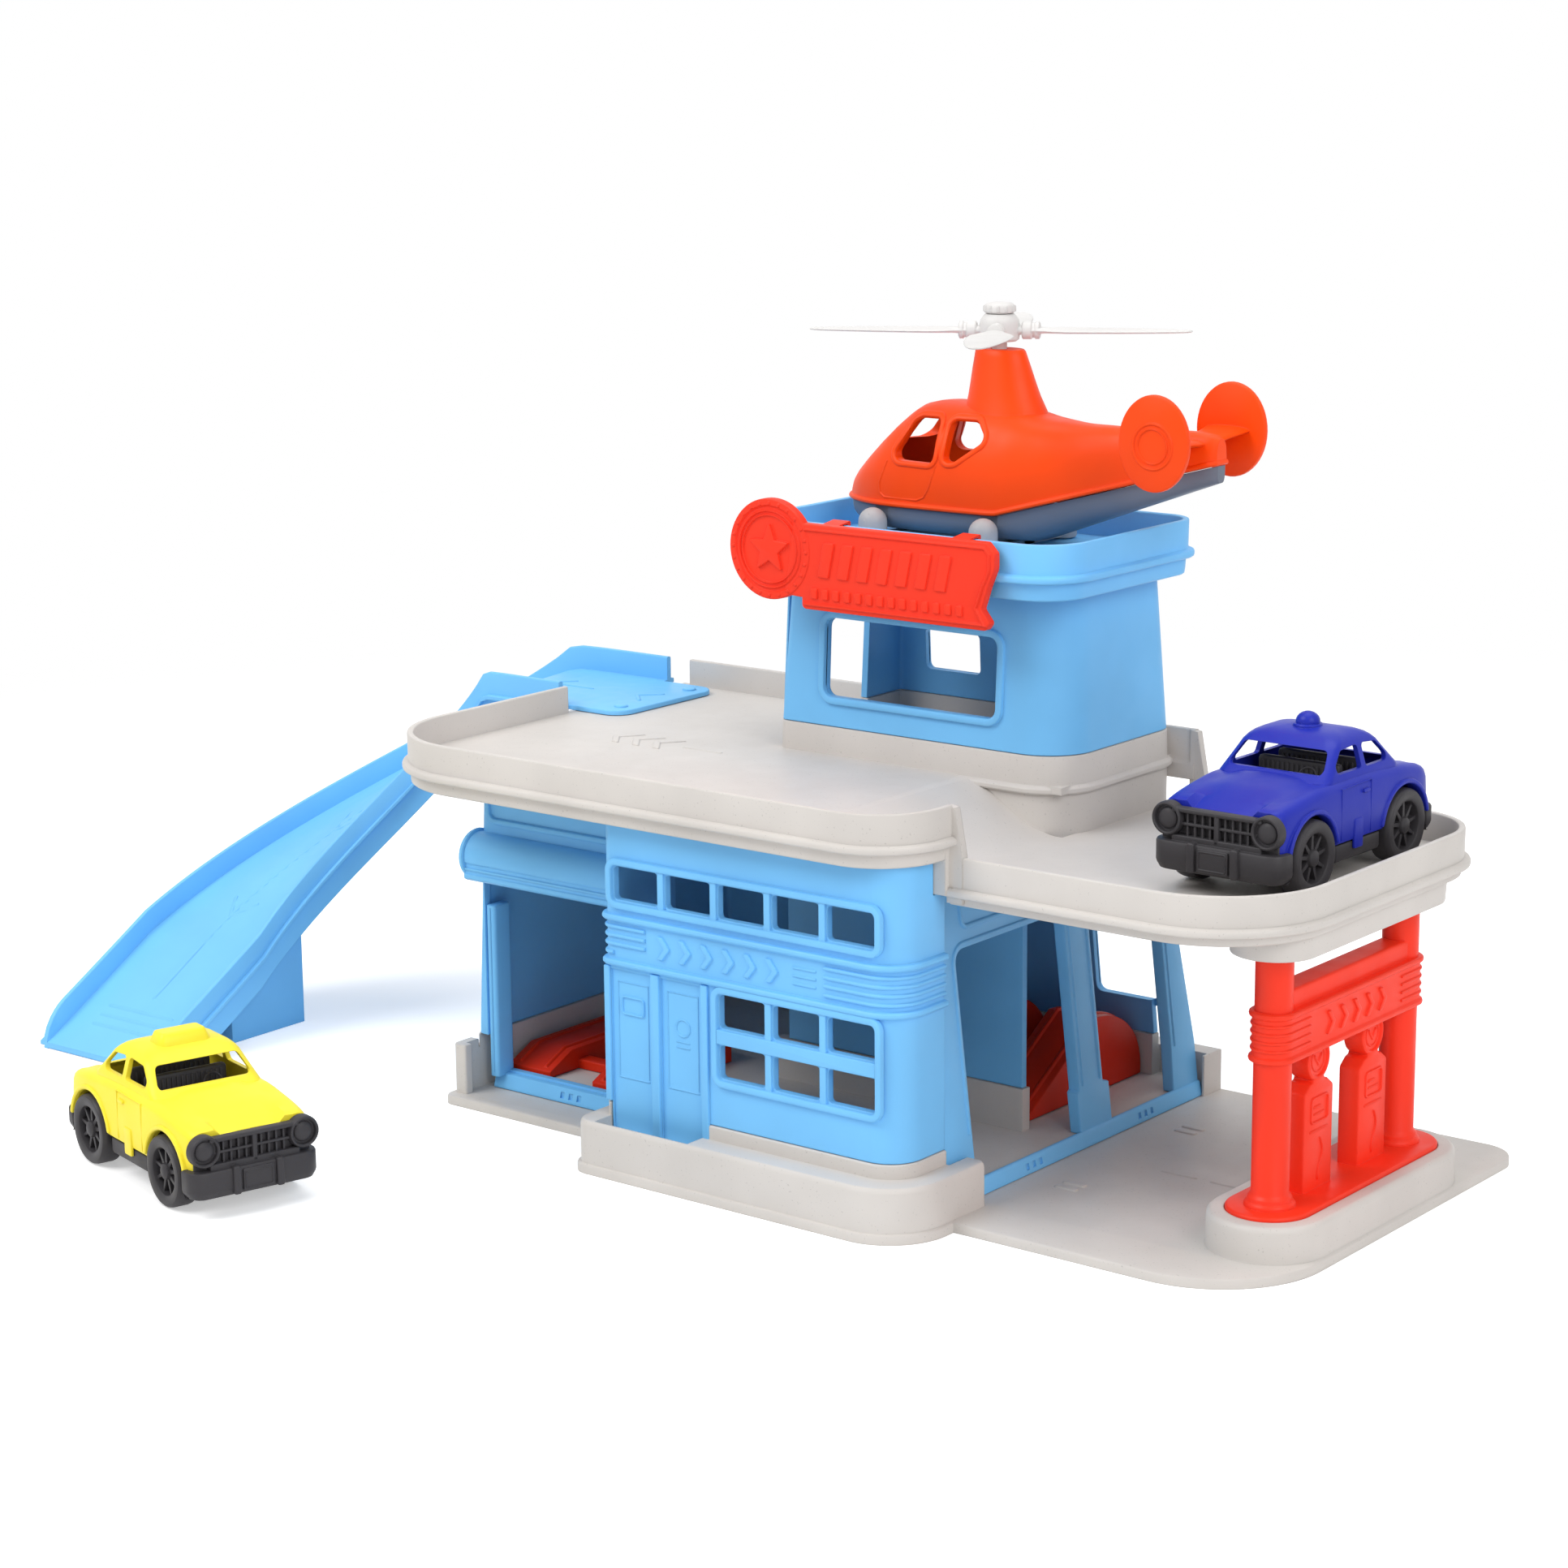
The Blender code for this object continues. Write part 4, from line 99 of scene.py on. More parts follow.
@dataclass(frozen=True)
class MouldedPlastic:
    """Injection-moulded polyethylene: an even colour, a satin skin with a fine grain and soft edges.

    The colour drifts a little where the melt flowed, and recycled grays carry faint specks.
    """

    name: str
    slot: str
    colour: str
    roughness: float = 0.42
    drift: float = 0.045
    drift_mm: float = 48.0
    grain_mm: float = 1.1
    grain_depth_mm: float = 0.012
    waves_mm: float = 17.0
    waves_depth_mm: float = 0.05
    edge_mm: float = 0.5
    specks: float = 0.0

    def material(self) -> bpy.types.Material:
        """Builds the finish, or finds it if it is already there.

        Returns:
            The material.
        """
        found = bpy.data.materials.get(self.name)
        if found:
            return found
        material = bpy.data.materials.new(self.name)
        material.use_nodes = True
        tree = material.node_tree
        tree.nodes.clear()
        place = add_node(tree, "ShaderNodeTexCoord").outputs["Object"]
        fields = {}
        for key, size_mm, detail, low, high, to_low, to_high in (
            ("flow", self.drift_mm, 3.0, 0.32, 0.68, 0.0, 1.0),
            ("speck", 0.9, 1.0, 0.70, 0.76, 0.0, self.specks),
            ("rough", 9.0, 4.0, 0.3, 0.7, self.roughness - 0.05, self.roughness + 0.07),
            ("waves", self.waves_mm, 1.0, 0.0, 1.0, 0.0, 1.0),
            ("grain", self.grain_mm, 2.0, 0.0, 1.0, 0.0, 1.0),
        ):
            noise = add_node(tree, "ShaderNodeTexNoise", {"Vector": place, "Scale": 1 / (size_mm * MM),
                    "Detail": detail})
            fields[key] = add_node(tree, "ShaderNodeMapRange", {
                "Value": noise.outputs["Fac"], "From Min": low, "From Max": high, "To Min": to_low,
                "To Max": to_high}).outputs["Result"]
        base = linear(self.colour)
        deep = (*(c * (1 - 2 * self.drift) for c in base[:3]), 1.0)
        dark = (*(c * 0.45 for c in base[:3]), 1.0)
        even = add_node(tree, "ShaderNodeMix", {"Factor": fields["flow"], 6: deep, 7: base},
            data_type="RGBA")
        colour = add_node(tree, "ShaderNodeMix", {"Factor": fields["speck"], 6: even.outputs[2], 7: dark},
                          data_type="RGBA").outputs[2]
        soft = add_node(tree, "ShaderNodeBevel", {"Radius": self.edge_mm * MM}, samples=4).outputs["Normal"]
        wavy = add_node(tree, "ShaderNodeBump", {
            "Height": fields["waves"], "Distance": self.waves_depth_mm * MM, "Strength": 1.0,
            "Normal": soft,
        }).outputs["Normal"]
        grained = add_node(tree, "ShaderNodeBump", {
            "Height": fields["grain"], "Distance": self.grain_depth_mm * MM, "Strength": 1.0,
            "Normal": wavy,
        }).outputs["Normal"]
        shader = add_node(tree, "ShaderNodeBsdfPrincipled", {
                "Base Color": colour, "Roughness": fields["rough"], "Normal": grained, "IOR": 1.5,
                "Metallic": 0.0, "Specular IOR Level": 0.24,
            })
        add_node(tree, "ShaderNodeOutputMaterial", {"Surface": shader.outputs["BSDF"]})
        material.diffuse_color = base
        return material


class Finish(Enum):
    """The finishes of the playset, one for each colour of plastic."""

    # Warm pale gray with faint specks, softly shaded: the ground, the deck and the canopy.
    GRAY = MouldedPlastic("recycled_polyethylene_warm_gray", "gray_plastic", "#D3CEC9", edge_mm=0.8,
        specks=0.35)
    # Clear light blue with a satin sheen: the building, the tower and the exit ramp.
    SKY = MouldedPlastic("polyethylene_sky_blue", "sky_plastic", "#7AC6FC", edge_mm=0.6)
    # Bright warm red that catches the lamps on its raised lines: the sign and the pump frame.
    SIGN = MouldedPlastic("polyethylene_red_orange", "red_orange_plastic", "#FC3A20", edge_mm=0.5)
    # Deeper red that stays readable in the shade of the bays: the service ramps.
    LIFT = MouldedPlastic("polyethylene_red", "red_plastic", "#DE2F12", edge_mm=0.6)
    # Strong orange with rounded highlights: the helicopter's body.
    ORANGE = MouldedPlastic("polyethylene_orange", "orange_plastic", "#FF4A02", edge_mm=0.5)
    # Dull blue gray that sets off the orange: the helicopter's hull.
    SLATE = MouldedPlastic("polyethylene_slate_gray", "slate_plastic", "#6F7684", edge_mm=0.5)
    # Middle gray with faint specks: the helicopter's feet.
    SILVER = MouldedPlastic("recycled_polyethylene_mid_gray", "silver_plastic", "#B4B3B4", edge_mm=0.5,
        specks=0.3)
    # Nearly white gray that almost melts into the background: the rotor and its cap.
    PALE = MouldedPlastic("recycled_polyethylene_pale_gray", "pale_plastic", "#DCDAD8", edge_mm=0.5,
        specks=0.25)
    # Deep blue, a little glossier than the building: the first car.
    BLUE = MouldedPlastic("polyethylene_deep_blue", "blue_plastic", "#1C2AA6", roughness=0.36, edge_mm=0.4)
    # Lemon yellow with broad soft highlights: the second car.
    YELLOW = MouldedPlastic("polyethylene_yellow", "yellow_plastic", "#FFEB3C", roughness=0.38, edge_mm=0.4)
    # Dark rubbery gray with a matt sheen and faint specks: tyres, chassis and seats.
    DARK = MouldedPlastic("recycled_polyethylene_dark_gray", "dark_plastic", "#3A383B", roughness=0.46,
        edge_mm=0.35, specks=0.2)


def outline(corners: Sequence[Corner], steps: int = 8) -> Path:
    """Rounds the corners of a closed outline.

    Args:
        corners: (x, y, radius) for each corner, counter-clockwise.
        steps: straight steps in each round corner.

    Returns:
        Pairs of a point and the outward direction there.
    """
    found = []
    for i, (x, y, radius) in enumerate(corners):
        here = Vector((x, y))
        inward = (here - Vector(corners[i - 1][:2])).normalized()
        onward = (Vector(corners[(i + 1) % len(corners)][:2]) - here).normalized()
        before = Vector((inward.y, -inward.x))
        after = Vector((onward.y, -onward.x))
        mitre = (before + after) / (1 + before.dot(after))
        if radius == 0:
            found.append((here, mitre))
            continue
        turn = math.atan2(inward.x * onward.y - inward.y * onward.x, inward.dot(onward))
        side = 1 if turn > 0 else -1
        centre = here - mitre * radius * side
        first = math.atan2(before.y, before.x)
        for k in range(steps + 1):
            angle = first + turn * k / steps
            out = Vector((math.cos(angle), math.sin(angle)))
            found.append((centre + out * radius * side, out))
    return found


def moved(corners: Sequence[Corner], offset: float) -> list[Corner]:
    """Moves an outline's corners outward, with their radii grown or shrunk to match.

    Args:
        corners: (x, y, radius) for each corner.
        offset: how far outward, in millimetres.

    Returns:
        The moved corners.
    """
    sharp = outline([(x, y, 0) for x, y, _ in corners])
    return [(point.x + out.x * offset, point.y + out.y * offset,
        max(radius + offset, 0.05) if radius else 0) for (point, out), (_, _, radius) in zip(sharp, corners)]


def rectangle(left: float, right: float, low: float, high: float, radius: float = 0.0) -> list[Corner]:
    """The four corners of a rectangle, with one radius."""
    return [(left, low, radius), (right, low, radius), (right, high, radius), (left, high, radius)]


def circle(x: float, y: float, radius: float, steps: int = 28, tall: float = 1.0) -> Path:
    """A circle, or an ellipse that is tall times as high, as an outline.

    Args:
        x: its middle.
        y: its middle.
        radius: its radius.
        steps: how many points it has.
        tall: its height as a share of its width.

    Returns:
        Pairs of a point and the outward direction there.
    """
    found = []
    for k in range(steps):
        angle = 2 * math.pi * k / steps
        out = Vector((math.cos(angle), math.sin(angle)))
        found.append((Vector((x + radius * out.x, y + radius * tall * out.y)), out))
    return found


def stadium(x: float, y_front: float, y_back: float, radius: float, steps: int = 14) -> Path:
    """A stadium along Y as an outline.

    Args:
        x: its middle line.
        y_front: centre of its front end.
        y_back: centre of its back end.
        radius: radius of both ends.
        steps: straight steps in each end.

    Returns:
        Pairs of a point and the outward direction there.
    """
    found = []
    for centre_y, first in ((y_back, 0.0), (y_front, math.pi)):
        for k in range(steps + 1):
            angle = first + math.pi * k / steps
            out = Vector((math.cos(angle), math.sin(angle)))
            found.append((Vector((x, centre_y)) + out * radius, out))
    return found


def solid(rings: Sequence[Sequence[Sequence[float]]], loop: bool = False) -> Mesh:
    """Skins rings of equally many points.

    Args:
        rings: the rings, in millimetres.
        loop: True closes the last ring on the first, False caps both ends.

    Returns:
        A closed mesh in metres, with its faces outward.
    """
    shape = bmesh.new()
    rows = [[shape.verts.new(Vector(point) * MM) for point in row] for row in rings]
    pairs = list(zip(rows, rows[1:]))
    if loop:
        pairs.append((rows[-1], rows[0]))
    else:
        shape.faces.new(rows[0])
        shape.faces.new(rows[-1])
    for low, high in pairs:
        for i in range(len(low)):
            shape.faces.new((low[i - 1], low[i], high[i], high[i - 1]))
    bmesh.ops.recalc_face_normals(shape, faces=shape.faces)
    if shape.calc_volume(signed=True) < 0:
        bmesh.ops.reverse_faces(shape, faces=shape.faces)
    return to_mesh(shape)


def to_mesh(shape: bmesh.types.BMesh) -> Mesh:
    """Writes a bmesh to a new mesh and frees it.

    Args:
        shape: the bmesh.

    Returns:
        The new mesh.
    """
    mesh = bpy.data.meshes.new("moulding")
    shape.to_mesh(mesh)
    shape.free()
    return mesh


def together(parts: Iterable[Mesh]) -> Mesh:
    """Joins meshes into one.

    Args:
        parts: the meshes.

    Returns:
        One mesh of them all.
    """
    shape = bmesh.new()
    for part in parts:
        shape.from_mesh(part)
    return to_mesh(shape)


def ring(path: Path, offset: float, z: float) -> Ring:
    """The outline at height z, moved outward by offset."""
    return [Vector((point.x + out.x * offset, point.y + out.y * offset, z)) for point, out in path]


def turned(path: Path, profile: Sequence[tuple[float, float]], loop: bool = False) -> Mesh:
    """An outline raised through (offset, height) pairs."""
    return solid([ring(path, offset, z) for offset, z in profile], loop)


def softened(low: float, high: float, edge: float, foot: float = 0.0) -> list[tuple[float, float]]:
    """The profile of an upright wall with a rounded top edge and, if foot isn't 0, a rounded bottom edge.

    Args:
        low: its bottom.
        high: its top.
        edge: radius of the top edge.
        foot: radius of the bottom edge.

    Returns:
        Pairs of an offset and a height.
    """
    found = []
    if foot:
        found += [(-foot, low), (-foot * 0.3, low + foot * 0.3), (0.0, low + foot)]
    else:
        found.append((0.0, low))
    return found + [(0.0, high - edge), (-edge * 0.13, high - edge * 0.5),
        (-edge * 0.5, high - edge * 0.13), (-edge, high)]


class Surface:
    """A place that relief stands on, told by its points u along, v up and out from it."""

    def at(self, u: float, v: float, out: float = 0.0) -> Vector:
        """The point u along, v up and out from the surface."""
        raise NotImplementedError

    def raised(self, path: Path, profile: Sequence[tuple[float, float]], loop: bool = False) -> Mesh:
        """An outline on the surface, raised through (offset, height) pairs.

        Args:
            path: the outline.
            profile: pairs of an offset and a height over the surface.
            loop: True closes the profile on itself, which makes a ring.

        Returns:
            The mesh.
        """
        rings = [[self.at(p.x + out.x * offset, p.y + out.y * offset, height) for p, out in path]
                 for offset, height in profile]
        return solid(rings, loop)

    def slab(self, corners: Sequence[Corner], low: float, high: float, edge: float = 0.4,
            steps: int = 5) -> Mesh:
        """A plate with rounded corners and a rounded top edge."""
        edge = min([edge, *(radius for _, _, radius in corners if radius)])
        return self.raised(outline(corners, steps), softened(low, high, edge))

    def hole(self, corners: Sequence[Corner], low: float, high: float, steps: int = 5) -> Mesh:
        """A plain cutter with rounded corners."""
        return self.raised(outline(corners, steps), [(0.0, low), (0.0, high)])

    def border(self, corners: Sequence[Corner], width: float, low: float, high: float,
            steps: int = 6) -> Mesh:
        """A raised band with rounded edges that grows outward from an outline by its width."""
        return self.band(outline(corners, steps), width, low, high)

    def band(self, path: Path, width: float, low: float, high: float) -> Mesh:
        """A raised band with rounded edges that grows outward from a path by its width.

        Args:
            path: its inner edge.
            width: its width.
            low: its foot.
            high: its top.

        Returns:
            The mesh.
        """
        edge = min(width * 0.45, high - low, 0.9)
        return self.raised(path, [
                (0.0, low), (0.0, high - edge), (edge * 0.3, high - edge * 0.3), (edge, high),
                (width - edge, high), (width - edge * 0.3, high - edge * 0.3), (width, high - edge),
                (width, low),
            ], loop=True)

    def bead(self, points: Sequence[tuple[float, float]], half: float = 0.6, height: float = 0.6,
             closed: bool = False, sink: float = 0.4) -> Mesh:
        """A half-round line of relief along points of the surface.

        Args:
            points: its middle line.
            half: half its width.
            height: its height.
            closed: True joins its end to its start.
            sink: how far its edges go into the surface.

        Returns:
            The mesh.
        """
        middle = [Vector(p) for p in points]
        count = len(middle)
        section = ((-1.0, -sink), (-0.8, 0.55 * height), (-0.35, 0.95 * height), (0.35, 0.95 * height),
                   (0.8, 0.55 * height), (1.0, -sink))
        rings = []
        for i, here in enumerate(middle):
            before = middle[i - 1] if closed or i else here
            after = middle[(i + 1) % count] if closed or i < count - 1 else here
            onward = (after - here).normalized() if after != here else (here - before).normalized()
            inward = (here - before).normalized() if here != before else onward
            side = Vector((inward.y + onward.y, -inward.x - onward.x)) / max(1 + inward.dot(onward), 0.3)
            ends = [(1.0, 0.0)]
            if not closed and i == 0:
                ends = [(0.25, -half), (0.8, -half * 0.6), (1.0, 0.0)]
            elif not closed and i == count - 1:
                ends = [(1.0, 0.0), (0.8, half * 0.6), (0.25, half)]
            for size, shift in ends:
                place = here + onward * shift
                rings.append([self.at(place.x + side.x * a * half * size, place.y + side.y * a * half * size,
                    b if b < 0 else b * (0.3 + 0.7 * size)) for a, b in section])
        return solid(rings, loop=closed)


@dataclass(frozen=True)
class Face(Surface):
    """A flat surface: its origin and the directions along and up it, in millimetres."""

    origin: Vector
    along: Vector
    up: Vector

    def at(self, u: float, v: float, out: float = 0.0) -> Vector:
        """The point u along, v up and out from the face."""
        return self.origin + self.along * u + self.up * v + self.along.cross(self.up).normalized() * out


def front(y: float) -> Face:
    """A face toward the front, with X along and Z up."""
    return Face(Vector((0, y, 0)), Vector((1, 0, 0)), Vector((0, 0, 1)))


def right(x: float, lean: float = 0.0) -> Face:
    """A face toward the right, with Y along and Z up, that may lean inward by lean for each unit of height.
    """
    return Face(Vector((x, 0, 0)), Vector((0, 1, 0)), Vector((-lean, 0, 1)))


def rear(y: float) -> Face:
    """A face toward the back, with -X along and Z up."""
    return Face(Vector((0, y, 0)), Vector((-1, 0, 0)), Vector((0, 0, 1)))


def left(x: float) -> Face:
    """A face toward the left, with -Y along and Z up."""
    return Face(Vector((x, 0, 0)), Vector((0, -1, 0)), Vector((0, 0, 1)))


def top(z: float) -> Face:
    """A face upward, with X along and Y up it."""
    return Face(Vector((0, 0, z)), Vector((1, 0, 0)), Vector((0, 1, 0)))


def box(x_range: Sequence[float], y_range: Sequence[float], z_range: Sequence[float]) -> Mesh:
    """A plain cutter or filler block."""
    (x0, x1), (y0, y1), (z0, z1) = x_range, y_range, z_range
    return solid([[(x, y, z) for x, y in ((x0, y0), (x1, y0), (x1, y1), (x0, y1))] for z in (z0, z1)])


def across(points: Sequence[tuple[float, float]], low: float, high: float, axis: str) -> Mesh:
    """A polygon carried along X, of (y, z) points, or along Y, of (x, z) points.

    Args:
        points: the polygon's points.
        low: where it starts.
        high: where it ends.
        axis: X or Y.

    Returns:
        The mesh.
    """
    if axis == "X":
        return solid([[(reach, a, b) for a, b in points] for reach in (low, high)])
    return solid([[(a, reach, b) for a, b in points] for reach in (low, high)])


def rod(centre: Sequence[float], axis: str, profile: Sequence[tuple[float, float]], steps: int = 32,
        loop: bool = False) -> Mesh:
    """A turned piece.

    Args:
        centre: a point on its axis.
        axis: X, Y or Z.
        profile: (radius, place along the axis) pairs.
        steps: how many sides it has.
        loop: True closes the profile on itself, which makes a ring.

    Returns:
        The mesh.
    """
    rings = []
    for radius, reach in profile:
        row = []
        for k in range(steps):
            angle = 2 * math.pi * k / steps
            a = radius * math.cos(angle)
            b = radius * math.sin(angle)
            offset = {"X": (reach, a, b), "Y": (a, reach, b), "Z": (a, b, reach)}[axis]
            row.append([c + o for c, o in zip(centre, offset)])
        rings.append(row)
    return solid(rings, loop)


def lofted(stations: Sequence[Sequence[float]], power: float, count: int = 24) -> Mesh:
    """A body along X with a flat underside.

    Args:
        stations: (x, half width, bottom, top) of each section.
        power: how square the arch of the sections is; 1 is round and lower is squarer.
        count: steps across the arch.

    Returns:
        The mesh.
    """
    rings = []
    for x, half, bottom, high in stations:
        row = []
        for k in range(count + 1):
            angle = math.pi * k / count
            y = half * math.copysign(abs(math.cos(angle)) ** power, math.cos(angle))
            row.append((x, y, bottom + (high - bottom) * math.sin(angle) ** power))
        rings.append(row)
    return solid(rings)


def add(mesh: Mesh) -> tuple[str, Mesh]:
    """A step that joins a mesh on."""
    return "UNION", mesh


def cut(mesh: Mesh) -> tuple[str, Mesh]:
    """A step that cuts a mesh away."""
    return "DIFFERENCE", mesh


def evaluated(item: bpy.types.Object) -> Mesh:
    """A plain mesh of an object with its modifiers applied; the object is removed.

    Args:
        item: the object.

    Returns:
        The finished mesh.
    """
    graph = bpy.context.evaluated_depsgraph_get()
    mesh = bpy.data.meshes.new_from_object(item.evaluated_get(graph))
    bpy.data.objects.remove(item, do_unlink=True)
    return mesh


def held(name: str, mesh: Mesh) -> bpy.types.Object:
    """A linked object that holds a mesh while it is being made.

    Args:
        name: the object's name.
        mesh: its mesh.

    Returns:
        The object.
    """
    item = bpy.data.objects.new(name, mesh)
    bpy.context.scene.collection.objects.link(item)
    return item


def moulded(base: Mesh, changes: Sequence[tuple[str, Mesh]] = (), relief: Iterable[Mesh] = ()) -> Mesh:
    """Changes a mesh by joins and cuts in order, then lays relief on it.

    Args:
        base: the mesh to start from.
        changes: what add() and cut() give.
        relief: meshes whose feet stand in the result.

    Returns:
        The finished mesh.
    """
    item = held("work", base)
    tools = []
    for operation, mesh in changes:
        tool = held("tool", mesh)
        tools.append(tool)
        step = item.modifiers.new("step", "BOOLEAN")
        step.operation = operation
        step.solver = "EXACT"
        step.object = tool
    body = evaluated(item)
    for tool in tools:
        bpy.data.objects.remove(tool, do_unlink=True)
    return together([body, *relief])


class Repeater:
    """Geometry nodes that set copies of a mesh along a line or round an axis."""

    def __init__(self) -> None:
        """Builds the node tree with its named inputs."""
        tree = bpy.data.node_groups.new("repeat_along_or_around", "GeometryNodeTree")
        self.tree = tree
        self.sockets = {}
        for name, kind in (("Geometry", "NodeSocketGeometry"), ("Count", "NodeSocketInt"),
                           ("Start", "NodeSocketVector"), ("Step", "NodeSocketVector"),
                           ("Turn", "NodeSocketVector"), ("Finish", "NodeSocketMaterial")):
            self.sockets[name] = tree.interface.new_socket(
                name, in_out="INPUT", socket_type=kind).identifier
        tree.interface.new_socket("Geometry", in_out="OUTPUT", socket_type="NodeSocketGeometry")
        given = add_node(tree, "NodeGroupInput").outputs
        line = add_node(tree, "GeometryNodeMeshLine", {
            "Count": given["Count"], "Start Location": given["Start"], "Offset": given["Step"],
        })
        number = add_node(tree, "GeometryNodeInputIndex").outputs["Index"]
        turn = add_node(tree, "ShaderNodeVectorMath", {0: given["Turn"], "Scale": number},
            operation="SCALE")
        angle = add_node(tree, "FunctionNodeEulerToRotation", {0: turn.outputs["Vector"]})
        copies = add_node(tree, "GeometryNodeInstanceOnPoints", {
                "Points": line.outputs["Mesh"], "Instance": given["Geometry"],
                "Rotation": angle.outputs["Rotation"],
            })
        real = add_node(tree, "GeometryNodeRealizeInstances", {0: copies.outputs["Instances"]})
        finished = add_node(tree, "GeometryNodeSetMaterial",
            {0: real.outputs[0], "Material": given["Finish"]})
        add_node(tree, "NodeGroupOutput", {0: finished.outputs[0]})

    def run(self, unit: Mesh, count: int, finish: Finish, start: Sequence[float] = (0, 0, 0),
            step: Sequence[float] = (0, 0, 0), turn: Sequence[float] = (0, 0, 0)) -> Mesh:
        """Repeats a mesh.

        Args:
            unit: the mesh, round the origin.
            count: how many copies.
            finish: the finish of the copies.
            start: place of the first copy, in millimetres.
            step: from one copy to the next, in millimetres.
            turn: from one copy to the next, in degrees about X, Y and Z.

        Returns:
            One mesh of all the copies.
        """
        item = held("repeat", unit)
        modifier = item.modifiers.new("repeat", "NODES")
        modifier.node_group = self.tree
        modifier[self.sockets["Count"]] = count
        modifier[self.sockets["Start"]] = [c * MM for c in start]
        modifier[self.sockets["Step"]] = [c * MM for c in step]
        modifier[self.sockets["Turn"]] = [math.radians(c) for c in turn]
        modifier[self.sockets["Finish"]] = finish.value.material()
        return evaluated(item)


@dataclass
class Assembly:
    """A sub-assembly of the playset that rides on one body."""

    body: str = "garage"
    repeater: Repeater | None = None

    def show(self, name: str, mesh: Mesh, finish: Finish, nodes: Sequence[str] = (),
             place: Matrix | None = None) -> bpy.types.Object:
        """Makes a finished piece of a mesh.

        Args:
            name: the piece's name.
            mesh: its mesh.
            finish: its finish.
            nodes: the CAD nodes that it stands for.
            place: where the mesh goes, if it was made about its own origin.

        Returns:
            The piece.
        """
        if place is not None:
            mesh.transform(place)
        mesh.materials.clear()
        mesh.materials.append(finish.value.material())
        mesh.shade_smooth()
        mesh.set_sharp_from_angle(angle=math.radians(SHARP_ANGLE))
        item = held(name, mesh)
        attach(item, self.body)
        if nodes:
            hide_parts(*nodes)
        log.info("%s: %d faces on %s", name, len(mesh.polygons), self.body)
        return item

    def dress(self, node: str, finish: Finish) -> None:
        """Gives a CAD node that stays its finish.

        Args:
            node: the node's name.
            finish: its finish.
        """
        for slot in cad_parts[node].material_slots:
            slot.material = finish.value.material()
        log.info("%s keeps its shape", node)

    def build(self) -> None:
        """Makes the pieces of the sub-assembly."""
        raise NotImplementedError


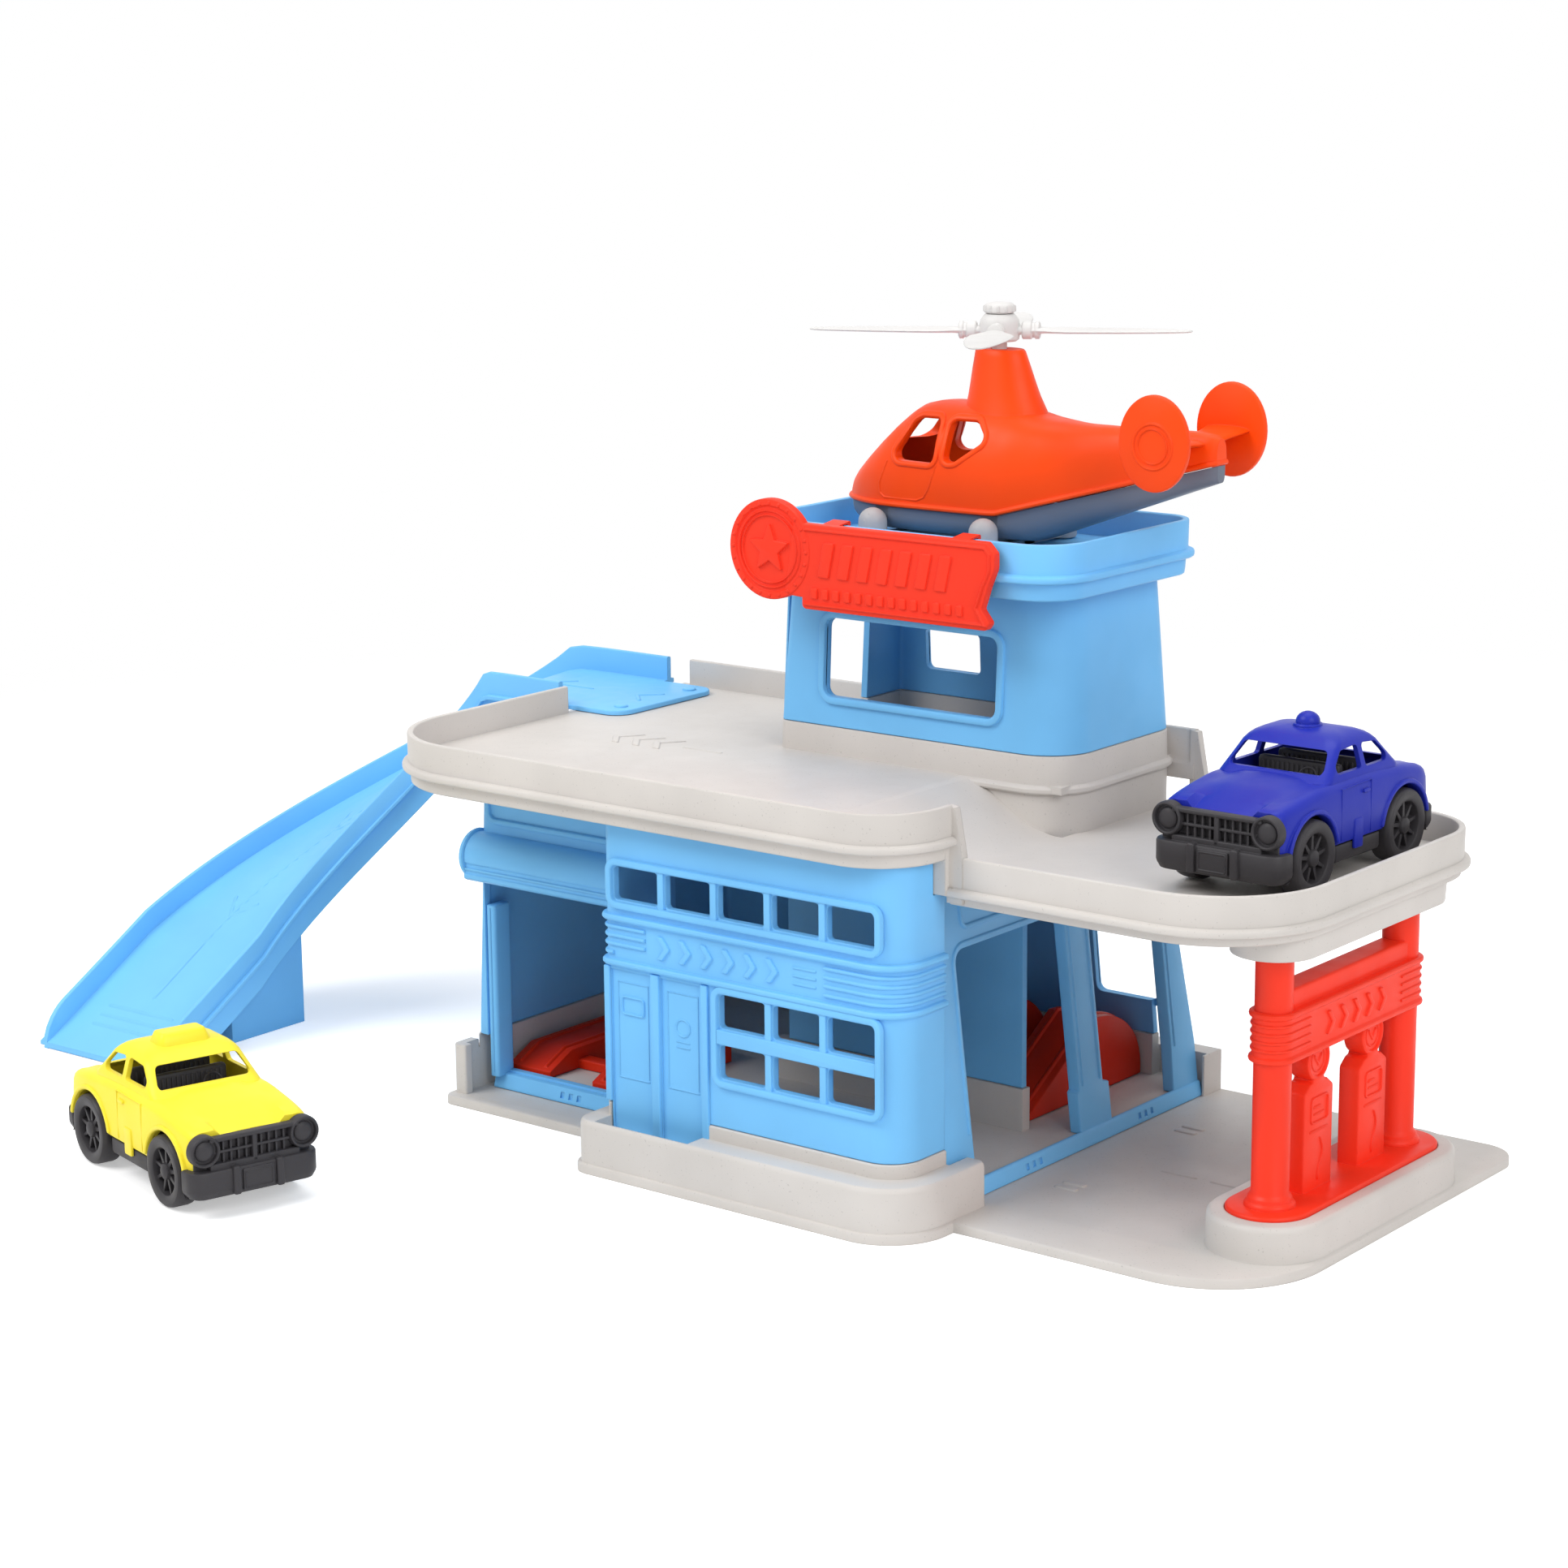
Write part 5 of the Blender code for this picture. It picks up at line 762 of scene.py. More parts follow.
@dataclass
class Studio:
    """The camera at the photograph's angle, a pale floor and soft lamps."""

    azimuth: float = 38.25
    elevation: float = 12.52
    roll: float = -0.5
    focal: float = 4400.0
    picture: float = 1932.0
    sensor: float = 36.0
    eye: tuple[float, float, float] = (800.5, -1116.1, 452.4)
    floor_reach: float = 30000.0
    world_light: float = 0.42
    shadow_reach: tuple[float, float] = (480.0, 1150.0)
    lamps: tuple = field(default_factory=lambda: (
        ("key_lamp", (-900.0, -1500.0, 1900.0), 1500.0, 32.0),
        ("fill_lamp", (1900.0, -700.0, 1300.0), 1600.0, 22.0),
        ("top_lamp", (0.0, 300.0, 2300.0), 1800.0, 19.0),
    ))

    def set_camera(self) -> None:
        """Puts the camera where the photograph was taken."""
        azimuth, elevation, roll = (math.radians(a) for a in (self.azimuth, self.elevation, self.roll))
        ahead = Vector((-math.sin(azimuth) * math.cos(elevation), math.cos(azimuth) * math.cos(elevation),
                        -math.sin(elevation)))
        level = Vector((math.cos(azimuth), math.sin(azimuth), 0.0))
        upright = level.cross(ahead)
        aside = level * math.cos(roll) + upright * math.sin(roll)
        upward = upright * math.cos(roll) - level * math.sin(roll)
        data = bpy.data.cameras.new("camera")
        data.sensor_fit = "HORIZONTAL"
        data.sensor_width = self.sensor
        data.lens = self.sensor * self.focal / self.picture
        camera = bpy.data.objects.new("camera", data)
        turn = Matrix((aside, upward, -ahead)).transposed().to_4x4()
        camera.matrix_world = Matrix.Translation(Vector(self.eye) * MM) @ turn
        bpy.context.scene.collection.objects.link(camera)
        bpy.context.scene.camera = camera

    def floor_material(self) -> bpy.types.Material:
        """White paper that keeps the object's shadow and fades to plain white away from it.

        Returns:
            The material.
        """
        material = bpy.data.materials.new("studio_paper_white")
        material.use_nodes = True
        tree = material.node_tree
        tree.nodes.clear()
        seen = add_node(tree, "ShaderNodeLightPath").outputs
        place = add_node(tree, "ShaderNodeTexCoord").outputs["Object"]
        away = add_node(tree, "ShaderNodeVectorMath", {0: place}, operation="LENGTH").outputs["Value"]
        near, far = self.shadow_reach
        fade = add_node(tree, "ShaderNodeMapRange", {"Value": away, "From Min": near * MM,
                "From Max": far * MM}, interpolation_type="SMOOTHSTEP").outputs["Result"]
        fibre = add_node(tree, "ShaderNodeTexNoise", {"Vector": place, "Scale": 900.0, "Detail": 3.0})
        bump = add_node(tree, "ShaderNodeBump", {"Height": fibre.outputs["Fac"], "Distance": 0.00002})
        paper = add_node(tree, "ShaderNodeBsdfDiffuse", {"Color": linear("#F2F2F2"),
                "Normal": bump.outputs[0]})
        glow = add_node(tree, "ShaderNodeEmission", {"Strength": 0.42})
        near_look = add_node(tree, "ShaderNodeAddShader", {0: paper.outputs[0], 1: glow.outputs[0]})
        white = add_node(tree, "ShaderNodeEmission", {"Strength": 1.0})
        look = add_node(tree, "ShaderNodeMixShader", {"Fac": fade, 1: near_look.outputs[0],
                2: white.outputs[0]})
        mirrored = add_node(tree, "ShaderNodeMath", {0: seen["Is Camera Ray"], 1: seen["Is Glossy Ray"]},
                            operation="MAXIMUM")
        shown = add_node(tree, "ShaderNodeMath", {0: mirrored.outputs[0], 1: seen["Is Transmission Ray"]},
                         operation="MAXIMUM")
        both = add_node(tree, "ShaderNodeMixShader", {"Fac": shown.outputs[0], 1: paper.outputs[0],
                2: look.outputs[0]})
        add_node(tree, "ShaderNodeOutputMaterial", {"Surface": both.outputs[0]})
        return material

    def set_floor(self) -> None:
        """Lays the floor under the playset."""
        reach = self.floor_reach
        shape = bmesh.new()
        corners = [shape.verts.new((x * reach * MM, y * reach * MM, 0)) for x, y in
                   ((-1, -1), (1, -1), (1, 1), (-1, 1))]
        shape.faces.new(corners)
        floor = held("studio_floor", to_mesh(shape))
        floor.data.materials.append(self.floor_material())

    def set_light(self) -> None:
        """Hangs the lamps and lights the world."""
        for name, place, size, power in self.lamps:
            data = bpy.data.lights.new(name, "AREA")
            data.shape = "DISK"
            data.size = size * MM
            data.energy = power
            lamp = bpy.data.objects.new(name, data)
            lamp.location = Vector(place) * MM
            lamp.rotation_euler = (-lamp.location).to_track_quat("-Z", "Y").to_euler()
            bpy.context.scene.collection.objects.link(lamp)
        world = bpy.data.worlds.new("studio_world")
        world.use_nodes = True
        tree = world.node_tree
        tree.nodes.clear()
        seen = add_node(tree, "ShaderNodeLightPath").outputs
        mirrored = add_node(tree, "ShaderNodeMath", {0: seen["Is Camera Ray"], 1: seen["Is Glossy Ray"]},
                            operation="MAXIMUM")
        shown = add_node(tree, "ShaderNodeMath", {0: mirrored.outputs[0], 1: seen["Is Transmission Ray"]},
                         operation="MAXIMUM")
        light = add_node(tree, "ShaderNodeBackground", {"Color": linear("#FFFFFF"),
                "Strength": self.world_light})
        white = add_node(tree, "ShaderNodeBackground", {"Color": linear("#FFFFFF"), "Strength": 1.0})
        both = add_node(tree, "ShaderNodeMixShader", {"Fac": shown.outputs[0], 1: light.outputs[0],
                2: white.outputs[0]})
        add_node(tree, "ShaderNodeOutputWorld", {"Surface": both.outputs[0]})
        bpy.context.scene.world = world
        bpy.context.scene.view_settings.view_transform = "Standard"

    def build(self) -> None:
        """Sets the camera, the floor and the light."""
        self.set_camera()
        self.set_floor()
        self.set_light()


@dataclass
class Ground(Assembly):
    """Light gray ground moulding: floor, kerbs and risers, door step, apron and pump island."""

    half: float = 197.0
    deep: float = 117.0
    floor: float = 4.0
    room: float = 9.5
    kerb: tuple[float, float] = (-97.0, 67.0)
    kerb_end: float = -60.0
    kerb_top: float = 21.5
    riser_top: float = 27.0
    bay_front: float = -66.0
    back_wall: float = 104.0
    left_wall: float = -193.0
    island_x: float = 172.4
    column_ys: tuple[float, float] = (-35.6, 58.0)
    island_top: float = 17.8

    def walls(self, offset: float) -> Path:
        """The outline of the walls above, moved outward by offset.

        Args:
            offset: how far outward.

        Returns:
            The outline.
        """
        return outline(moved([
                (-88.0, -104.0, 5.0), (55.0, -104.0, 14.0), (55.0, self.back_wall, 5.0),
                (self.left_wall, self.back_wall, 5.0), (self.left_wall, self.bay_front, 5.0),
                (-88.0, self.bay_front, 0)], offset), 12)

    def kerbs(self) -> list[Mesh]:
        """The front kerb, the kerb along the left and the back, and the corner post.

        Returns:
            The meshes.
        """
        near, far = self.kerb
        edge_x = -self.half + 1.5
        top_z = self.kerb_top
        front_kerb = turned(outline([(near, -self.deep, 9.0), (far, -self.deep, 26.0),
                (far, self.kerb_end, 5.0), (near, self.kerb_end, 5.0)], 16), [
                (-1.2, self.floor - 1), (-1.5, self.floor + 1.0), (-1.5, top_z - 2.4), (-1.8, top_z - 1.2),
                (-2.5, top_z - 0.3), (-3.4, top_z)])
        rear_kerb = turned(outline([
                (edge_x, self.bay_front - 3, 0), (self.left_wall + 2, self.bay_front - 3, 0),
                (self.left_wall + 2, self.back_wall - 2, 0), (60.0, self.back_wall - 2, 0),
                (60.0, self.deep - 1.5, 0), (edge_x, self.deep - 1.5, 8.0)], 10), [(0, self.floor - 1.5),
                (0, top_z - 0.6), (-0.2, top_z - 0.15), (-0.6, top_z)])
        post = turned(outline([(edge_x + 0.1, self.bay_front - 12, 3.0),
                (edge_x + 7.5, self.bay_front - 12, 1.0), (edge_x + 7.5, self.bay_front - 0.5, 0),
                (edge_x + 0.1, self.bay_front - 0.5, 0)], 6), [(0, self.floor - 2.5), (0, 24.4),
                (-0.2, 24.85), (-0.6, 25.0)])
        return [front_kerb, rear_kerb, post]

    def ground_mesh(self) -> Mesh:
        """The whole moulding.

        Returns:
            The mesh.
        """
        near, far = self.kerb
        high = 60.0
        base = turned(outline([
                (-self.half, -83.0, 5.0), (near, -83.0, 0), (near, -self.deep, 9.0),
                (far, -self.deep, 26.0), (far, -86.0, 0), (self.half, -86.0, 45.0),
                (self.half, self.deep, 14.0), (-self.half, self.deep, 10.0),
            ], 16), [(0, 0), (0, self.floor - 1.2), (-0.3, self.floor - 0.45), (-1.2, self.floor)])
        front_kerb, rear_kerb, post = self.kerbs()
        outside = self.walls(0.8)
        inside = self.walls(-4.2)
        riser = solid([ring(outside, 0, self.floor - 1.3), ring(outside, 0, self.riser_top - 0.5),
                       ring(outside, -0.5, self.riser_top), ring(inside, 0, self.riser_top),
                       ring(inside, 0, self.floor - 1.3)], loop=True)
        room_floor = turned(self.walls(-3.2), [(0, self.floor - 1.7), (0, self.room)])
        path = stadium(self.island_x, *self.column_ys, 24.6, 22)
        top_z = self.island_top
        island = turned(path, [(-1.1, self.floor - 1), (-1.5, self.floor + 1.2), (-1.5, top_z - 2.4),
                (-1.8, top_z - 1.2), (-2.6, top_z - 0.3), (-3.6, top_z)])
        recess = turned(stadium(self.island_x, *self.column_ys, 16.6, 22), [(0, 14.0), (0, high)])
        changes = [
            add(front_kerb), add(rear_kerb), cut(turned(inside, [(0, self.room - 1), (0, high)])),
            add(riser), add(room_floor),
            add(box((-88.0, 36.0), (4.5, 9.5), (self.room - 1, self.riser_top))),
            cut(box((36.0, 57.2), (-75.0, self.back_wall + 1.8), (self.room, high))),
            cut(box((55.5, 59.0), (self.kerb_end + 0.5, self.back_wall + 1.8), (self.floor, high))),
            cut(box((55.5, 59.0), (-75.0, self.kerb_end + 1), (self.kerb_top, high))),
            cut(box((self.left_wall + 7.5, -89.5), (self.bay_front - 8, self.bay_front + 8),
                (self.room, high))), add(post),
            cut(box((self.left_wall + 2, near - 0.02), (self.bay_front - 8, -57.7), (self.floor, high))),
            cut(box((-85.0, -38.0), (-self.deep + 3, -107.0), (8.0, high))),
            cut(box((-85.0, -38.0), (-107.2, -99.0), (16.0, high))), add(island), cut(recess),
            cut(together([turned(path, [(-3.2, -1.0), (-3.2, 11.5)]), turned(self.walls(-13.0),
                [(0, -1.0), (0, self.room - 3.0)])])),
            add(box((-4.0, 4.0), (-92.0, 92.0), (0, self.room - 1))),
        ]
        return moulded(base, changes, self.relief())

    def relief(self) -> list[Mesh]:
        """Low pads and dashes on the apron and a ribbed mat in front of the doors.

        Returns:
            The meshes.
        """
        face = top(self.floor)
        found = [face.slab(rectangle(74.0, 84.0, y, y + 3.2, 1.2), -0.4, 0.5, 0.3)
            for y in (-30.0, -24.0, 56.0, 62.0)]
        found.append(face.bead([(98.0, 11.0), (112.0, 11.0)], 1.0, 0.4))
        found.append(face.bead([(120.0, 11.0), (134.0, 11.0)], 1.0, 0.4))
        slat = box((-0.5, 0.5), (-113.0, -108.4), (7.8, 8.4))
        found.append(self.repeater.run(slat, 15, Finish.GRAY, (-82.0, 0, 0), (3.0, 0, 0)))
        return found

    def build(self) -> None:
        """Makes the moulding."""
        self.show("ground_moulding", self.ground_mesh(), Finish.GRAY, ["base_tray"])


def placed(at: Sequence[float], heading: float = 0.0) -> Matrix:
    """The matrix that turns a mesh by heading degrees about Z and moves it to a place in millimetres."""
    return Matrix.Translation(Vector(at) * MM) @ Matrix.Rotation(math.radians(heading), 4, "Z")


def arc(x: float, y: float, radius: float, first: float, last: float,
        steps: int = 16) -> list[tuple[float, float]]:
    """Points of an arc, from a first to a last angle in degrees."""
    angles = [math.radians(first + (last - first) * k / steps) for k in range(steps + 1)]
    return [(x + radius * math.cos(a), y + radius * math.sin(a)) for a in angles]


def eased(stations: Sequence[Sequence[float]], x: float) -> list[float]:
    """Reads a smooth curve through stations.

    Args:
        stations: tuples whose first value is where they stand, in rising order.
        x: where to read.

    Returns:
        The values at x, without x itself.
    """
    last = len(stations) - 2
    k = min(max(sum(1 for s in stations if s[0] <= x) - 1, 0), last)
    here, after = stations[k], stations[k + 1]
    span = after[0] - here[0]
    t = min(max((x - here[0]) / span, 0.0), 1.0)
    found = []
    for i in range(1, len(here)):
        rise = (after[i] - here[i]) / span
        before = (here[i] - stations[k - 1][i]) / (here[0] - stations[k - 1][0]) if k else rise
        beyond = (stations[k + 2][i] - after[i]) / (stations[k + 2][0] - after[0]) if k < last else rise
        start = 0.0 if before * rise <= 0 else 2 * before * rise / (before + rise)
        end = 0.0 if beyond * rise <= 0 else 2 * beyond * rise / (beyond + rise)
        if k == 0:
            start = rise
        if k == last:
            end = rise
        found.append((2 * t ** 3 - 3 * t ** 2 + 1) * here[i] + (t ** 3 - 2 * t ** 2 + t) * span * start
                     + (3 * t ** 2 - 2 * t ** 3) * after[i] + (t ** 3 - t ** 2) * span * end)
    return found


class RoofMark(Enum):
    """What stands on a car's roof."""

    DOME = "dome"
    BLOCK = "block"


@dataclass
class Car(Assembly):
    """A toy saloon: hollow body with open windows, dark chassis, seats and four wheels."""

    prefix: str = "blue_car"
    paint: Finish = Finish.BLUE
    mark: RoofMark = RoofMark.DOME
    at: tuple[float, float, float] = (149.5, 19.0, 130.8)
    heading: float = -91.0
    wheelbase: float = 65.7
    wheel_radius: float = 14.2
    wheel_width: float = 9.5
    wheel_inside: float = 18.0
    arch_radius: float = 16.0
    axle_radius: float = 2.0
    axle_end: float = 22.5
    half_width: float = 26.0
    sill: float = 15.5
    floor: float = 8.0
    nose: float = 53.5
    tail: float = -54.0
    wall: float = 2.0
    lamp_spacing: float = 42.0
    lamp_height: float = 27.2
    spokes: int = 9

    def place(self) -> Matrix:
        """Where the car stands."""
        return placed(self.at, self.heading)

    def stations(self) -> list[tuple[float, ...]]:
        """The body's place, half width, bottom, shoulder height and middle height from tail to nose.

        Returns:
            One tuple for each station.
        """
        return [
            (self.tail, 21.6, 18.2, 30.0, 31.0),
            (self.tail + 1.2, 23.4, 16.8, 32.4, 33.2),
            (self.tail + 3.5, 24.7, 15.8, 34.0, 34.7),
            (self.tail + 9.0, 25.5, self.sill, 35.6, 36.2),
            (-33.0, self.half_width, self.sill, 37.4, 38.2),
            (-5.0, self.half_width, self.sill, 38.8, 40.2),
            (21.0, self.half_width, self.sill, 38.6, 40.4),
            (34.0, 25.9, self.sill, 37.2, 38.4),
            (44.0, 25.6, self.sill, 35.8, 35.4),
            (49.5, 25.2, 15.7, 34.9, 33.4),
            (52.3, 24.8, 16.0, 34.4, 32.4),
            (self.nose, 24.2, 16.6, 33.8, 31.8),
        ]

    def section(self, x: float) -> Ring:
        """One section of the body: side, rounded shoulder, shallow channel and raised middle.

        Args:
            x: its place along the car.

        Returns:
            Its points from side to side.
        """
        half, bottom, shoulder, middle = eased(self.stations(), x)
        side = [
            (half - 1.2, bottom), (half - 0.3, bottom + 0.5), (half, bottom + 1.8), (half + 0.25, 24.0),
            (half - 0.1, shoulder - 3.6), (half - 0.8, shoulder - 1.6), (half - 2.1, shoulder - 0.5),
            (half - 3.8, shoulder), (half - 6.0, shoulder - 0.15), (half * 0.62, shoulder + 0.1),
            (half * 0.5, middle - 0.75), (half * 0.38, middle - 0.3), (half * 0.2, middle - 0.05),
        ]
        return ([Vector((x, y, z)) for y, z in side] + [Vector((x, 0.0, middle))]
                + [Vector((x, -y, z)) for y, z in reversed(side)])

    def cabin_ring(self, front_x: float, back_x: float, half: float, z: float, radius: float) -> Ring:
        """One level of the cabin.

        Args:
            front_x: its front.
            back_x: its back.
            half: half its width.
            z: its height.
            radius: its corners' radius.

        Returns:
            Its points.
        """
        radius = min(radius, 0.42 * (front_x - back_x), 0.84 * half)
        corners = [(back_x, -half, radius), (front_x, -half, radius), (front_x, half, radius),
            (back_x, half, radius)]
        return ring(outline(corners, 7), 0.0, z)

    def cabin(self, inset: float = 0.0, low: float = 34.0) -> Mesh:
        """The cabin with its arched roof, or the room inside it where inset isn't 0.

        Args:
            inset: how far inside the outer skin.
            low: its bottom.

        Returns:
            The mesh.
        """
        levels = [
            (low, 21.4, -33.4, 23.9), (38.6, 21.2, -33.0, 23.8), (40.4, 19.4, -31.2, 23.2),
            (43.0, 16.6, -28.6, 22.4), (46.0, 13.4, -25.6, 21.5), (49.0, 10.4, -22.8, 20.6),
            (50.6, 8.4, -20.9, 19.6), (51.9, 6.2, -18.9, 18.2), (52.9, 3.8, -16.6, 16.2),
            (53.6, 1.0, -13.8, 13.4), (54.05, -2.0, -10.9, 9.8), (54.3, -4.4, -8.6, 5.4),
        ]
        rings = []
        for z, front_x, back_x, half in levels:
            crown = min(max((z - 48.0) / 4.0, 0.0), 1.0)
            side = inset * (1 - 0.5 * crown)
            rings.append(self.cabin_ring(front_x - side, back_x + side, half - side, z - inset * crown,
                    5.0 - side))
        return solid(rings)

    def body_mesh(self) -> Mesh:
        """The painted body.

        Returns:
            The mesh.
        """
        count = 56
        xs = [self.tail + (self.nose - self.tail) * k / count for k in range(count + 1)]
        xs = sorted({*xs, self.tail + 0.5, self.nose - 0.5, self.nose - 0.2})
        shell = solid([self.section(x) for x in xs])
        room = []
        for x in (-50.0, -44.0, -33.0, 0.0, 21.0, 38.0, 50.0):
            half, _, shoulder, middle = eased(self.stations(), x)
            room.append((x, half - self.wall, -5.0, min(shoulder, middle) - self.wall))
        rises = [(15.2, 40.8, 2.0), (6.4, 48.8, 2.6), (-5.4, 49.4, 1.6), (-5.4, 40.8, 1.2)]
        falls = [(-8.4, 40.8, 1.2), (-8.4, 49.4, 1.6), (-18.4, 48.6, 2.8), (-26.8, 40.8, 2.0)]
        screen = [(-20.4, 41.0, 1.6), (20.4, 41.0, 1.6), (17.6, 49.0, 2.4), (-17.6, 49.0, 2.4)]
        side = front(0.0)
        ahead = right(0.0)
        arches = together([rod((x, 0, self.wheel_radius), "Y", [(self.arch_radius, -60),
                (self.arch_radius, 60)], 48) for x in (-self.wheelbase / 2, self.wheelbase / 2)])
        changes = [
            add(self.cabin()), cut(lofted(room, 0.38, 12)), cut(self.cabin(self.wall, low=28.0)),
            cut(together([ahead.hole(screen, 7.6, 40.0), ahead.hole(screen, -60.0, -20.4)])),
            cut(together([side.hole(list(reversed(rises)), -60.0, 60.0), side.hole(falls, -60.0, 60.0)])),
            cut(arches),
        ]
        return moulded(shell, changes, self.body_relief())

    def body_relief(self) -> list[Mesh]:
        """Flares over the wheels, door lines, handles, tail lamps and the roof mark.

        Returns:
            The meshes.
        """
        found = []
        for face, turn in ((front(-self.half_width), 1), (rear(self.half_width), -1)):
            for x in (-self.wheelbase / 2, self.wheelbase / 2):
                points = arc(x * turn, self.wheel_radius, self.arch_radius + 1.0, 12, 168)
                found.append(face.bead(points, 1.15, 0.95, sink=1.2))
            door = [(13.4, 17.2), (13.4, 36.0), (-7.6, 36.6), (-7.6, 17.2)]
            found.append(face.bead([(x * turn, z) for x, z in door], 0.22, 0.3, sink=0.5))
            found.append(face.slab(rectangle(*sorted((-5.6 * turn, -1.2 * turn)), 32.4, 33.9, 0.6), -0.4,
                    0.9, 0.35))
            skirt = sorted((-1.5 * turn, 4.5 * turn))
            found.append(face.slab(rectangle(*skirt, 12.4, 23.6, 0.8), -0.4, 0.65, 0.4))
        for side in (-1, 1):
            found.append(rod((self.tail, side * 16.4, 25.6), "X", [(3.4, 1.0), (3.4, -0.5), (2.9, -0.9),
                    (1.9, -0.9), (1.5, -0.4)], 20))
        found.append(left(self.tail).bead([(-10.0, 29.0), (10.0, 29.0)], 0.3, 0.35))
        if self.mark is RoofMark.DOME:
            dome = [(5.6, -1.0), (5.6, 0.5), (5.3, 0.9), (4.5, 1.0), (4.6, 1.5)]
            dome += [(4.6 * math.cos(math.radians(a)), 1.5 + 3.9 * math.sin(math.radians(a)))
                     for a in (15, 30, 45, 60, 75, 86)]
            found.append(rod((-5.0, 0, 54.0), "Z", dome, 28))
        else:
            block = [(0.0, -1.6), (0.0, 0.3), (-1.7, 3.7), (-2.2, 4.1), (-3.0, 4.2)]
            found.append(turned(outline(rectangle(-9.4, 2.6, -11.2, 11.2, 3.4), 4),
                    [(o, 53.8 + z) for o, z in block]))
        return found

    def bezel(self) -> list[Mesh]:
        """Grille with its surround, two hooded round lamps and a divider.

        Returns:
            The meshes.
        """
        ahead = right(self.nose + 0.3)
        bar = box((0.0, 2.0), (-0.4, 0.4), (0.0, 10.0))
        found = [
            ahead.slab(rectangle(-24.6, 24.6, 11.0, 31.2, 2.0), 0.0, 0.8, 0.3),
            ahead.slab(rectangle(-19.0, 19.0, 30.0, 31.9, 0.8), 0.5, 3.8, 0.7),
            ahead.slab(rectangle(-19.0, 19.0, 18.0, 21.6, 0.6), 0.5, 3.6, 0.5),
            ahead.slab(rectangle(-17.0, 17.0, 25.3, 26.4, 0.4), 0.5, 2.9, 0.3),
            ahead.slab(rectangle(-1.0, 1.0, 20.0, 30.8, 0.4), 0.5, 3.6, 0.4),
            self.repeater.run(bar, 9, Finish.DARK, (self.nose + 0.8, -12.8, 20.8), (0, 3.2, 0)),
        ]
        for side in (-1, 1):
            centre = (self.nose, side * self.lamp_spacing / 2, self.lamp_height)
            found.append(rod(centre, "X", [(6.3, 0.5), (6.3, 3.6), (6.0, 4.5), (5.4, 4.7), (5.0, 4.3),
                    (4.8, 2.9)], 36))
            found.append(rod(centre, "X", [(4.0, 2.5), (3.9, 3.3), (3.1, 3.9), (1.6, 4.2), (0.3, 4.3)], 28))
        return found

    def chassis_mesh(self) -> Mesh:
        """The dark chassis.

        Returns:
            The mesh.
        """
        low = self.floor
        clear = self.wheelbase / 2 + self.arch_radius
        reach = self.wheelbase / 2 - self.arch_radius - 1.0
        bumper = [(-2.6, low), (-1.4, low + 0.5), (-0.3, low + 2.4), (0.0, low + 3.4), (0.0, 18.4),
            (-0.4, 19.1), (-1.2, 19.4)]
        ahead = right(self.nose + 5.4)
        behind = left(self.tail - 3.1)
        corners = [(clear, -27.4, 0.6), (self.nose + 5.5, -27.4, 6.5), (self.nose + 5.5, 27.4, 6.5),
            (clear, 27.4, 0.6)]
        tail = [(self.tail - 3.2, -26.4, 6.0), (-clear, -26.4, 0.6), (-clear, 26.4, 0.6),
            (self.tail - 3.2, 26.4, 6.0)]
        parts = [
            box((self.tail + 2, self.nose), (-15.5, 15.5), (low, low + 3)),
            turned(outline(rectangle(-reach, reach, -25.4, 25.4, 1.0), 4),
                softened(low + 0.5, 15.2, 0.5, 1.6)), turned(outline(corners, 8), bumper),
            turned(outline(tail, 8), [(o, z - 0.6 if z > low + 4 else z + 1.0) for o, z in bumper]),
            ahead.slab(rectangle(-6.6, 6.6, 9.6, 18.4, 0.7), -1.0, 1.0, 0.4),
            ahead.border(rectangle(-5.4, 5.4, 10.9, 17.1, 0.4), 0.5, 0.6, 1.3, 3),
            behind.slab(rectangle(-7.5, 7.5, 11.4, 17.4, 0.7), -1.0, 0.7, 0.4), *self.bezel(),
        ]
        for side in (-1, 1):
            parts.append(ahead.slab(rectangle(*sorted((side * 7.6, side * 10.8)), 8.8, 20.0, 1.0), -1.6,
                    1.5, 0.7))
            parts.append(behind.slab(rectangle(*sorted((side * 11.0, side * 14.2)), 10.0, 19.4, 1.0), -1.6,
                    1.0, 0.7))
            for centre in (-self.wheelbase / 2, self.wheelbase / 2):
                for toward in (-1, 1):
                    ends = sorted((centre + toward * 2.3, centre + toward * 5.3))
                    parts.append(box(ends, sorted((side * 4.0, side * 13.4)),
                            (low + 2, self.wheel_radius + 1)))
        return together(parts)

